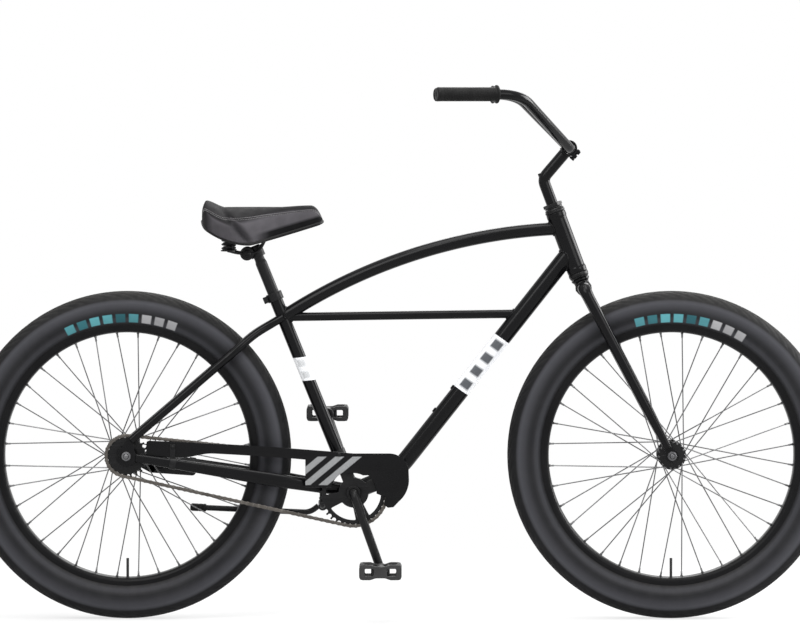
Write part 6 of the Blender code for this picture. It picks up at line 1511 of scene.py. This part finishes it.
def guard_outline():
    """The plate's edge, turning left: the top, the tail, the underside and the hood round the ring.

    The underside follows the top a bar's width below, and falls to the tail's foot by a smooth step.
    """
    reach = -GUARD_LENGTH * np.linspace(0, 1, 30)
    top = np.column_stack([reach, guard_top(reach)])
    tip, back = top[-1], (GUARD_BAR / 2, 0)
    foot = np.array([-GUARD_LENGTH, GUARD_FOOT])
    tail = softened([tip, tip - back, foot - back, foot], 0.009, 8)[1:-1]
    reach = -GUARD_LENGTH * np.linspace(0.99, 0.3, 40)
    flare = smooth((-reach - 0.305) / 0.065)
    under = np.column_stack([reach, (1 - flare) * (guard_top(reach) - GUARD_BAR) + flare * GUARD_FOOT])
    wings = [(-0.105, guard_top(-0.105) - GUARD_BAR - FIT), (-0.105, 0.012), (-0.06, 0.012)]
    inside = [(0.05, 166, 118, 14), (0.043, 108, 62, 14), (0.05, 50, -2, 14), (0.07, -8, -21, 8)]
    hook = GUARD_AHEAD * np.array([(0.62, -0.27), (0.72, -0.26)])
    front = arc((GUARD_AHEAD - 0.0616, 0.0616 * 0.46), 0.0616, -50, 0, 14)
    nose = arc((GUARD_AHEAD - 0.043, guard_top(0) - 0.043), 0.043, 12, 90, 18)
    inside = [arc((0, 0), *values) for values in inside]
    return joined([top, tail, under, wings, *inside, hook, front, nose])


def guard_stripes(tree, enamel):
    """Slanted bars: the place forwards less 1.2 times the height, taken in steps of 38 mm."""
    place = add_node(tree, "SeparateXYZ", {0: object_place(tree)}).outputs
    ahead, height = (maths(tree, "SUBTRACT", place[n], float(CRANK_AXLE[n])) for n in (0, 2))
    lean = maths(tree, "MULTIPLY_ADD", height, -1.2, ahead)
    step = maths(tree, "FRACT", maths(tree, "DIVIDE", maths(tree, "ADD", lean, 0.175), 0.038))
    outside = maths(tree, "LESS_THAN", place["Y"], GUARD_FACE - 0.0005)
    stripe = product(
        tree, between(tree, step, 0.06, 0.58, 0.03), between(tree, lean, -0.175, -0.061, 0.0005),
        between(tree, height, 0.017, 0.079, 0.0004), outside,
    )
    return blend_colours(tree, stripe, enamel, (0.25, 0.255, 0.26))


made = [plate(guard_outline(), GUARD_THICKNESS, CRANK_AXLE + GUARD_FACE * Y, bevel=0.0007)]
painted("chain_guard_plate", made, "chain_guard", paint("guard paint", guard_stripes))

# %% Guard clip, guard strap and brake strap
def stay_strap(distance, side, length=0.014, thickness=0.0018):
    """A band round a chainstay: the stay's own rings made wider, outside and inside."""
    marks = distance + np.array([-0.5, -0.47, 0.47, 0.5]) * length
    middle, size = chainstay(marks, side)
    outer = rings(middle, size + thickness + np.array([[-0.0004], [0], [0], [-0.0004]]), 40, Z)
    inner = rings(middle, size + 0.0004, 40, Z)
    return skin(joined([outer, inner[::-1]]), closed_rows=True)


def screw(place, axis):
    """A short shank with a domed head, 8.4 mm across."""
    profile = [
        (0.0022, -0.006), (0.0022, 0), (0.0042, 0), (0.0042, 0.0014), (0.00252, 0.0028), (0.00084, 0.0028),
    ]
    return turned_solid(profile, place, axis, 32, 0.0008)


CLIP_HEIGHT, BAND = 0.0895, 0.014
middle = CRANK_AXLE + CLIP_HEIGHT * SEAT_UP
profile = oblong(SEAT_TUBE_RADIUS + FIT, SEAT_TUBE_RADIUS + 0.0025, -BAND / 2, BAND / 2)
guard_back = GUARD_FACE + GUARD_THICKNESS / 2 + FIT
reach = -guard_back - SEAT_TUBE_RADIUS - 0.0009
made = [
    turned_ring(profile, middle, SEAT_UP, 56, 0.0005),
    block(middle + (0.0022, guard_back + reach / 2, 0.0011), (0.018, reach, 0.0024), bevel=0.0008),
    screw(middle + (0.0022, GUARD_FACE - GUARD_THICKNESS / 2, 0), -Y),
]
fitting("guard_clip_front", made, "frame", "guard_bracket_front")

distance = GUARD_LENGTH - 0.0414
low = chainstay(distance, -1)[0][0]
top = CRANK_AXLE[2] + guard_top(low[0] - CRANK_AXLE[0]) - 0.006
bottom = low[2] + 0.002
face = GUARD_FACE - GUARD_THICKNESS / 2 - FIT - 0.00125
made = [stay_strap(distance, -1)]
made.append(block((low[0], face, (top + bottom) / 2), (0.012, 0.0025, top - bottom), bevel=0.0009))
made += [screw((low[0], face - 0.0012, height), -Y) for height in (top - 0.006, bottom + 0.006)]
fitting("guard_strap_rear", made, "frame", "guard_bracket_rear")

ARM_STRAP = 0.36
strap, size = chainstay(ARM_STRAP, 1)
strap = strap[0] - REAR_AXLE
centres = [(0, 0, 0.0155), (0.05, -0.034, 0.009), (strap[0], strap[2] - size[0, 1] - 0.007, 0.0085)]
made = [stay_strap(ARM_STRAP, 1)]
for first, second in zip(centres, centres[1:]):
    angle = math.degrees(math.atan2(second[1] - first[1], second[0] - first[0]))
    near = arc(first[:2], first[2], angle + 90, angle + 270, 20)
    far = arc(second[:2], second[2], angle - 90, angle + 90, 16)
    made.append(plate(joined([near, far]), 0.0025, REAR_AXLE + 0.0603 * Y, bevel=0.0007))
cone = [(0.0054, 0.0553), (0.019, 0.0553), (0.019, 0.0588), (0.0178, 0.0602), (0.0054, 0.0602)]
bolt = screw(REAR_AXLE + (centres[2][0], 0.0616, centres[2][1]), Y)
made += [turned_ring(cone, REAR_AXLE, Y, 56, 0.0006), bolt]
fitting("brake_arm_and_strap", made, "frame", "coaster_brake_arm")

# %% [markdown]
# The kickstand hangs from a plate between the chainstays. Its leg swings about a tilted pin, and
# the leg's eye, the pin and the lug share that axis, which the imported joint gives.

# %% Kickstand
HINGE = unit(joints["kickstand_swing"]["axis"])
HINGE = HINGE if HINGE[1] > 0 else -HINGE
EYE_HALF = 0.004
FOLDED = unit([-0.9993, 0.0122, -0.0367])
middle = CRANK_AXLE + 0.071 * STAY_LINE
spots = [chainstay(distance, 1) for distance in (0.056, 0.086)]
edge = np.array([(line[0, 0], line[0, 1] - size[0, 0] - FIT) for line, size in spots])
ring = softened(joined([edge, edge[::-1] * (1, -1)]), 0.003, 4, closed=True)
centre = ring.mean(0)
sheet = [np.column_stack([centre + share * (ring - centre), np.full(len(ring), middle[2] + height)])
         for height, share in ((-0.002, 0.985), (-0.0014, 1), (0.0014, 1), (0.002, 0.985))]
lug = softened([
    (STAND_PIVOT[0], 0.018, middle[2]), (STAND_PIVOT[0], 0.02, STAND_PIVOT[2] - 0.006),
    STAND_PIVOT - (EYE_HALF + FIT + 0.007) * HINGE,
], 0.012, 8)
housing = [(0.0088, -0.0183), (0.0095, -0.0176), (0.0095, -0.005), (0.0088, -0.0043)]
pin = [(0.0035, -0.01), (0.0035, 0.0053), (0.003, 0.0053)]
nut = [(0.0068, 0.0043), (0.0075, 0.0047), (0.0075, 0.0072), (0.006, 0.0075)]
made = [
    skin(np.stack(sheet)), skin(rings(stepped(lug, 0.003), 0.0065, 24, X)),
    turned_solid(housing, STAND_PIVOT, HINGE, 40, 0.0005), turned_solid(pin, STAND_PIVOT, HINGE, 28, 0.0002),
    turned_solid(nut, STAND_PIVOT, HINGE, 48, 0.0003, flats=0.0065),
]
fitting("kickstand_plate_and_lug", made, "frame", "kickstand_bracket")

tip = STAND_PIVOT + 0.286 * FOLDED
elbow = STAND_PIVOT + (-0.028, 0.001, -0.022)
path = stepped(softened([STAND_PIVOT, elbow, tip], 0.014, 10), 0.004)
path = path[np.linalg.norm(path - STAND_PIVOT, axis=1) > 0.0085]
profile = mirrored([(0.0039, -EYE_HALF), (0.009, -EYE_HALF), (0.0095, -0.0034)])
made = [skin(rings(path, 0.0062, 32, Y)), turned_ring(profile, STAND_PIVOT, HINGE, 48, 0.0005)]
fitting("kickstand_bent_leg", made, "kickstand", "kickstand_leg")
LEG_LINE = unit(tip - elbow)
profile = [
    (0.0066, 0.0), (0.008, 0.0), (0.0085, 0.0015), (0.0085, 0.006), (0.0079, 0.0066), (0.0079, 0.008),
    (0.0085, 0.0086), (0.0085, 0.015), (0.0079, 0.0156), (0.0079, 0.017), (0.0085, 0.0176),
    (0.0085, 0.031), (0.006, 0.035), (0.002, 0.035),
]
foot = skin(turned(softened(profile, 0.0008, 3), tip - 0.03 * LEG_LINE, LEG_LINE, 40))
piece("kickstand_rubber_foot", [foot], grip_look, "kickstand", "grip_rubber", "kickstand_foot")

# %% [markdown]
# The saddle stands on a post with a stepped neck. A clip round the neck carries a serrated barrel
# and a bolt, and the two steel rails tilt about that bolt. At the back, the rails end in eyelets,
# each with a coil spring under the pan.

# %% Seatpost and saddle clamp
POST_FOOT, POST_TOP = 0.318, 0.579
steps = [
    (0.012, POST_FOOT), (0.0127, POST_FOOT + 0.001), (0.0127, POST_TOP - 0.04), (0.011, POST_TOP - 0.034),
    (0.011, POST_TOP - 0.0006), (0.0104, POST_TOP),
]
made = [turned_solid(steps, CRANK_AXLE, SEAT_UP, 56, 0.0012)]
fitting("seatpost_tube", made, "seatpost", "seatpost")

start = CRANK_AXLE + (POST_TOP - 0.026) * SEAT_UP
middle = (start + 0.012 * SEAT_UP + TILT_AXLE) / 2
barrel = mirrored([(0.01, -0.0145), (0.011, -0.0135)])
rod = mirrored([(0.0034, -0.034), (0.004, -0.0334)])
made = [
    turned_ring(oblong(0.0113, 0.016, 0, 0.024), start, SEAT_UP, 56, 0.001),
    turned_solid(barrel, TILT_AXLE, Y, 56, 0.0008),
    block(middle, (0.02, 0.02, 0.018), (unit((start - TILT_AXLE) * (1, 0, 1)), Y, Z), 0.002),
    turned_solid(rod, TILT_AXLE, Y, 28, 0.0002),
]
for side in (-1, 1):
    start = TILT_AXLE + side * 0.0268 * Y
    made.append(nut_skin(start, side * Y, 0.013, 0.0062, 0.0038, flange=0.0085))
fitting("saddle_clip_and_bolt", made, "seatpost", "saddle_clamp")

# %% The saddle's lines
SADDLE_LENGTH, SADDLE_HALF, NOSE_HALF = 0.264, 0.107, 0.026
TAIL_X = TILT_AXLE[0] - 0.0983
SEAT_TOP, SKIRT = TILT_AXLE[2] + 0.101, TILT_AXLE[2] + 0.0223


def saddle_half(share):
    """Half the width from tail to nose: a rounded tail, a cosine's fall, and a round tip."""
    rear = np.clip((0.22 - share) / 0.235, 0, 1) ** 3
    wide = 0.5 + 0.5 * np.cos(np.pi * np.clip((share - 0.22) / 0.52, 0, 1))
    tip = np.sqrt(1 - np.clip((share - 0.9) / 0.105, 0, 1) ** 2)
    return (NOSE_HALF + (SADDLE_HALF - NOSE_HALF) * wide) * (1 - rear) ** (1 / 3) * tip


def saddle_top(share):
    """The middle line: a raised lip at the tail, a low seat, and a nose that falls away."""
    lip = 0.015 * (1 - smooth((share - 0.03) / 0.17)) - 0.012 * np.clip(1 - share / 0.03, 0, 1)
    fall = 0.03 * np.clip((share - 0.9) / 0.1, 0, 1) ** 2
    return SEAT_TOP + lip + 0.004 * smooth((share - 0.6) / 0.3) - fall


def saddle_edge(share):
    """The skirt's lower edge, which hangs lowest ahead of the springs."""
    ahead = 0.046 * np.clip((share - 0.4) / 0.6, 0, 1) ** 1.1
    return SKIRT + ahead + 0.04 * np.clip((0.4 - share) / 0.4, 0, 1) ** 2


def saddle_hollow(share):
    """How far the hollow under the cushion rises over the skirt's edge."""
    return 0.022 * smooth(share / 0.15) * smooth((1 - share) / 0.25)


# %% Pan, rails and springs
PAN = 0.005


def pan_bottom(share):
    """The pan's underside, which lies a fit below the cushion's hollow."""
    return saddle_edge(share) + saddle_hollow(share) - FIT - PAN


def drawn(wave, power):
    """A sine or cosine with its size raised to a power and its sign kept."""
    return np.sign(wave) * np.abs(wave) ** power


share = np.linspace(0.1, 0.86, 60)
turn = circle(40)
x, across = TAIL_X + SADDLE_LENGTH * share + 0 * turn, 0.72 * saddle_half(share) * drawn(np.cos(turn), 0.35)
height = pan_bottom(share) + PAN / 2 + PAN / 2 * 0.98 * drawn(np.sin(turn), 0.6)
made = [skin(np.stack([x, across, height], -1).transpose(1, 0, 2))]
SPRING_SHARE, SPRING_OUT, PAD_RADIUS = 0.22, 0.056, 0.0155
SPRING_X = TAIL_X + SPRING_SHARE * SADDLE_LENGTH
SPRING_TOP = pan_bottom(SPRING_SHARE + PAD_RADIUS / SADDLE_LENGTH) - 0.001
EYELET_TOP = TILT_AXLE[2] + 0.0088
pad = [(0.006, 0), (PAD_RADIUS, 0), (PAD_RADIUS, 0.0058), (0.01, 0.0075), (0.004, 0.0075)]
for side in (-1, 1):
    made.append(turned_solid(pad, (SPRING_X, side * SPRING_OUT, SPRING_TOP), Z, 40, 0.0008))
pan_look = matt_look(
    "pan plastic", ((0.008, 0.008, 0.0085), (0.013, 0.013, 0.0135)), (0.45, 0.6), (800, 0.7, 0.00006),
    None, 0.06, Specular_IOR_Level=0.3,
)
piece("saddle_pan", made, pan_look, "saddle", "saddle_pan", "saddle_base")

RAIL_RADIUS, RAIL_HEIGHT, RAIL_OUT = 0.0035, TILT_AXLE[2] + 0.0008, 0.024
nose_x = TAIL_X + SADDLE_LENGTH * 0.78
nose_z = pan_bottom(0.78) - RAIL_RADIUS - 0.0021
left = np.array([
    (nose_x - RAIL_RADIUS, 0.0096, nose_z), (nose_x - 0.045, 0.019, pan_bottom(0.61) - 0.007),
    (TILT_AXLE[0] + 0.044, RAIL_OUT, pan_bottom(0.55) - 0.009), (TILT_AXLE[0] + 0.024, RAIL_OUT, RAIL_HEIGHT),
    (TILT_AXLE[0] - 0.0186, RAIL_OUT, RAIL_HEIGHT), (SPRING_X, SPRING_OUT, EYELET_TOP - 0.0015),
])
loop = joined([left[::-1] * (1, -1, 1), [(nose_x, 0, nose_z)], left])
made = [skin(rings(stepped(softened(loop, 0.016, 8), 0.003), RAIL_RADIUS, 20, Z + 0.2 * X))]
eyelet = [(0.015, 0), (0.016, 0.0008), (0.016, 0.0022), (0.015, 0.003)]
cheek = [(0.0044, 0), (0.0145, 0), (0.015, 0.001), (0.015, 0.011), (0.014, 0.012), (0.0044, 0.012)]
for side in (-1, 1):
    spot = (SPRING_X, side * SPRING_OUT, EYELET_TOP - 0.003)
    made.append(turned_solid(eyelet, spot, Z, 48, 0.0005))
    made.append(turned_ring(cheek, TILT_AXLE + side * 0.0148 * Y, side * Y, 60, 0.0006))
fitting("saddle_rail_loop", made, "saddle", "saddle_rails")

SPRING_RADIUS, WIRE, CURLS = 0.0125, 0.0021, 4
low, high = EYELET_TOP + FIT + WIRE, SPRING_TOP - FIT - WIRE
share = np.linspace(0, 1, 40 * CURLS + 1)
climb = np.interp(share, [0, 0.14, 0.86, 1], [0, 0.055, 0.945, 1])
turn = 2 * np.pi * CURLS * share
coil = np.stack([SPRING_RADIUS * np.cos(turn), SPRING_RADIUS * np.sin(turn), low + (high - low) * climb], -1)
for name, side in SIDES:
    made = [skin(rings(coil + (SPRING_X, side * SPRING_OUT, 0), WIRE, 14, Z))]
    fitting(f"saddle_coil_{name}", made, "saddle", f"saddle_spring_{name}")

# %% [markdown]
# The cushion is foam under stretched vinyl, sewn from a top panel and a skirt. It starts as a grid
# over its section, with its seams and its stapled underside pinned, and Blender's Cloth then
# presses it out from inside, so that each panel crowns between its seams as a real cover does. The
# move of each point is capped, and the grid keeps its order, so that piping and stitches can
# follow the seams afterwards.


# %% The cushion's grid
STATIONS, TOP_POINTS = 120, 65
VALLEY_TOP, VALLEY_SLANT = 0.152, 3.2
cushion_share = 0.5 - 0.5 * np.cos(np.pi * np.linspace(0.012, 0.988, STATIONS))


def cushion_grid(share):
    """The cushion's rings from tail to nose.

    Over the top, out = half * cos(a)^0.75 and height = widest + rise * sin(a)^0.7 less a crown's
    fall of out^2. Under it, a smooth line runs round the skirt's edge and into the hollow. Both
    ends shrink by the cube root of 1 - d^3, and a valley runs down the side behind the nose.
    """
    half, top, edge = saddle_half(share), saddle_top(share), saddle_edge(share)
    hollow = edge + saddle_hollow(share)
    widest = edge + 0.42 * (top - edge)
    fall = 0.018 * (half / SADDLE_HALF) ** 2
    angle = np.radians(np.linspace(0, 180, TOP_POINTS))[:, None]
    out = drawn(np.cos(angle), 0.75)
    lift = np.abs(np.sin(angle)) ** 0.7
    over = np.stack([out * half, widest + (top - widest) * lift - fall * out**2 * lift], -1)
    marks = [
        (1.0, widest), (0.93, edge + 0.25 * (widest - edge)), (0.86, edge), (0.8, edge + 0.001),
        (0.74, hollow), (0.45, hollow + 0.001), (0.0, hollow + 0.0015),
    ]
    under = np.stack([np.stack([-k * half, height], -1) for k, height in marks])
    under = curved(under.reshape(len(marks), -1), 5).reshape(-1, len(share), 2)
    ring = joined([over, under[1:], (under * (-1, 1))[-2:0:-1]])
    valley = np.exp(-(((share - VALLEY_TOP - VALLEY_SLANT * (top - ring[..., 1])) / 0.036) ** 2))
    valley = valley * np.clip(np.abs(ring[..., 0]) / 0.06, 0, 1) * smooth((ring[..., 1] - edge) / 0.012)
    ring[..., 0] *= 1 - 0.13 * valley
    tail, nose = (np.clip(1 - left / 0.05, 0, 1) for left in (share, 1 - share))
    shrink = (1 - tail**3) ** (1 / 3) * (1 - nose**3) ** (1 / 3)
    centre = np.stack([0 * share, 0.45 * top + 0.55 * edge], -1)
    ring = centre + shrink[:, None] * (ring - centre)
    x = np.broadcast_to(TAIL_X + SADDLE_LENGTH * share, ring.shape[:2])
    return joined([x[..., None], ring], -1).transpose(1, 0, 2)


# %% Pressing the cushion out
CLOTH_FRAMES, CLOTH_PRESSURE, MOVE_CAP = 20, 20.0, 0.006


def pressed_out(points, held):
    """The grid after Cloth has pressed it out, with the points marked as held left in place."""
    places, corners, counts, _ = skin(points)
    mesh = bpy.data.meshes.new("cloth")
    faces = np.split(corners, np.cumsum(counts)[:-1])
    mesh.from_pydata(places.tolist(), [], [face.tolist() for face in faces])
    item = placed("cloth", mesh)
    group = item.vertex_groups.new(name="held")
    group.add(np.flatnonzero(held.ravel()).tolist(), 1.0, "REPLACE")
    cloth = item.modifiers.new("cloth", "CLOTH").settings
    cloth.use_pressure, cloth.uniform_pressure_force = True, CLOTH_PRESSURE
    cloth.vertex_group_mass, cloth.effector_weights.gravity = "held", 0
    for frame_number in range(1, CLOTH_FRAMES + 1):
        bpy.context.scene.frame_set(frame_number)
    shaped = item.evaluated_get(bpy.context.evaluated_depsgraph_get()).data
    moved = np.empty(3 * len(shaped.vertices))
    shaped.vertices.foreach_get("co", moved)
    move = moved.reshape(-1, 3)[: held.size].reshape(points.shape) - points
    bpy.data.objects.remove(item)
    bpy.context.scene.frame_set(1)
    size = np.linalg.norm(move, axis=-1, keepdims=True)
    print("cushion pressed out by up to", round(float(size.max()) * 1000, 1), "mm")
    return points + move * np.minimum(1, MOVE_CAP / np.maximum(size, 1e-9))


SEAMS = (11, 53)
grid = cushion_grid(cushion_share)
columns = grid.shape[1]
held = np.zeros(grid.shape[:2], bool)
held[:, TOP_POINTS:] = held[:, SEAMS] = held[:2] = held[-2:] = True
grid = pressed_out(grid, held)
inward = unit(grid.mean(1, keepdims=True) - grid)[:, SEAMS]
fade = smooth((cushion_share - 0.02) / 0.05) * smooth((0.985 - cushion_share) / 0.05)
grid[:, SEAMS] += 0.0012 * inward * fade[:, None, None]

# %% The cushion's vinyl
saddle_look, tree, shader = new_look("saddle vinyl", Specular_IOR_Level=0.1)
place = add_node(tree, "SeparateXYZ", {0: object_place(tree)}).outputs
share = maths(tree, "DIVIDE", maths(tree, "SUBTRACT", place["X"], float(TAIL_X)), SADDLE_LENGTH)
rise = maths(tree, "SUBTRACT", place["Z"], float(SKIRT))
above = maths(tree, "SUBTRACT", rise, ramp(tree, share, 0.4, 1, 0, 0.046))
nose = product(tree, ramp(tree, above, 0.02, 0.013), ramp(tree, share, 0.42, 0.56))
# Painted shade: the valley down the side behind the nose is darkened, as if the crease lay in shade.
down = maths(tree, "MULTIPLY_ADD", rise, VALLEY_SLANT, -VALLEY_SLANT * float(SEAT_TOP - SKIRT) - VALLEY_TOP)
off = maths(tree, "ABSOLUTE", maths(tree, "ADD", share, down))
painted_crease_shade = product(tree, ramp(tree, off, 0.075, 0, 0, 0.65), ramp(tree, rise, 0.068, 0.05))
# The dark mask holds the real black trim at the tail and along the lower nose edge. It also holds painted
# shade: the crease, and a darkening of what faces up against the sheen of the lamps above.
dark = ramp(tree, share, 0.1, 0.03)
for shade in (nose, painted_crease_shade, ramp(tree, facing_up(tree), 0.3, 0.7, 0, 0.9)):
    dark = maths(tree, "MAXIMUM", dark, shade)
tone = clouds(tree, Scale=18, Low=0, High=1)
colour = blend_colours(tree, tone, (0.058, 0.055, 0.06), (0.088, 0.084, 0.092))
bare = bare_edges(tree, Start=0.55, Breakup=40)
colour = blend_colours(tree, bare, colour, (0.12, 0.115, 0.125))
# Black trim and painted shade laid over the vinyl where the dark mask is high.
colour = blend_colours(tree, dark, colour, (0.004, 0.004, 0.0045))
colour = blend_colours(tree, dust(tree, Amount=0.05), colour, DUST_COLOUR)
rough = clouds(tree, Scale=50, Low=0.68, High=0.84)
join(tree, shader, colour, rough, grain(tree, Scale=620, Cells=0.9, Amount=1), 0.00025, 0.7)
made = [skin(grid)]
cushion = piece("saddle_cushion", made, saddle_look, "saddle", "saddle_vinyl", "saddle_cover", sharp=60)

# %% Piping, edge trim and stitches
trim_look = matt_look(
    "black trim vinyl", ((0.004, 0.004, 0.004), (0.008, 0.008, 0.008)), (0.4, 0.55), (700, 0.8, 0.0001),
    (0.57, (0.03, 0.03, 0.03)), 0.1, Specular_IOR_Level=0.18,
)
thread_look = matt_look(
    "grey thread", ((0.16, 0.155, 0.16), (0.22, 0.215, 0.22)), (0.6, 0.8), (3000, 0.4, 0.00005), None, 0.05,
    Sheen_Weight=0.2,
)
EDGE_COLUMN, STITCH = 74, 0.0042
inside = grid[3:-3]
loop = joined([inside[:, EDGE_COLUMN], inside[::-1, columns + TOP_POINTS - 1 - EDGE_COLUMN]])
loop = looped(loop, 0.003)
size = np.tile((0.0026, 0.004), (len(loop), 1))
trim = skin(rings(loop, size, 14, Z, closed=True), closed_rows=True)
piece("saddle_edge_trim", [trim], trim_look, "saddle", "saddle_vinyl")

centre = grid[:, :TOP_POINTS].mean((0, 1)) - (0, 0, 0.05)
stitches = []
for seam, sign in zip(SEAMS, (1, -1)):
    for offset in (-1, 1):
        lines = [stepped(grid[8:-6, column], STITCH) for column in (seam, seam + 2 * offset * sign)]
        count = min(map(len, lines)) - 1
        row = 0.35 * lines[0][:count] + 0.65 * lines[1][:count]
        along = 0.0015 * unit(np.diff(row, axis=0, append=row[-1:] + row[-1:] - row[-2:-1]))
        rise = unit(row - centre)
        ends = [row - along + 0.0001 * rise, row + 0.0006 * rise, row + along + 0.0001 * rise]
        stitches += many_tubes(np.stack(ends, 1), 0.00045, 6)
print("saddle stitches:", len(stitches))
piece("saddle_stitches", stitches, thread_look, "saddle", "saddle_vinyl")

# %% [markdown]
# What the wheels and the frame hide still gets its own finish: the air tubes inside the tyres, with
# their valves, keep the model's own mesh.

# %% Air tubes and valves
for wheel, _ in WHEELS:
    for material_slot in frame["nodes"][f"{wheel}_inner_tube"].material_slots:
        material_slot.material = air_tube_look
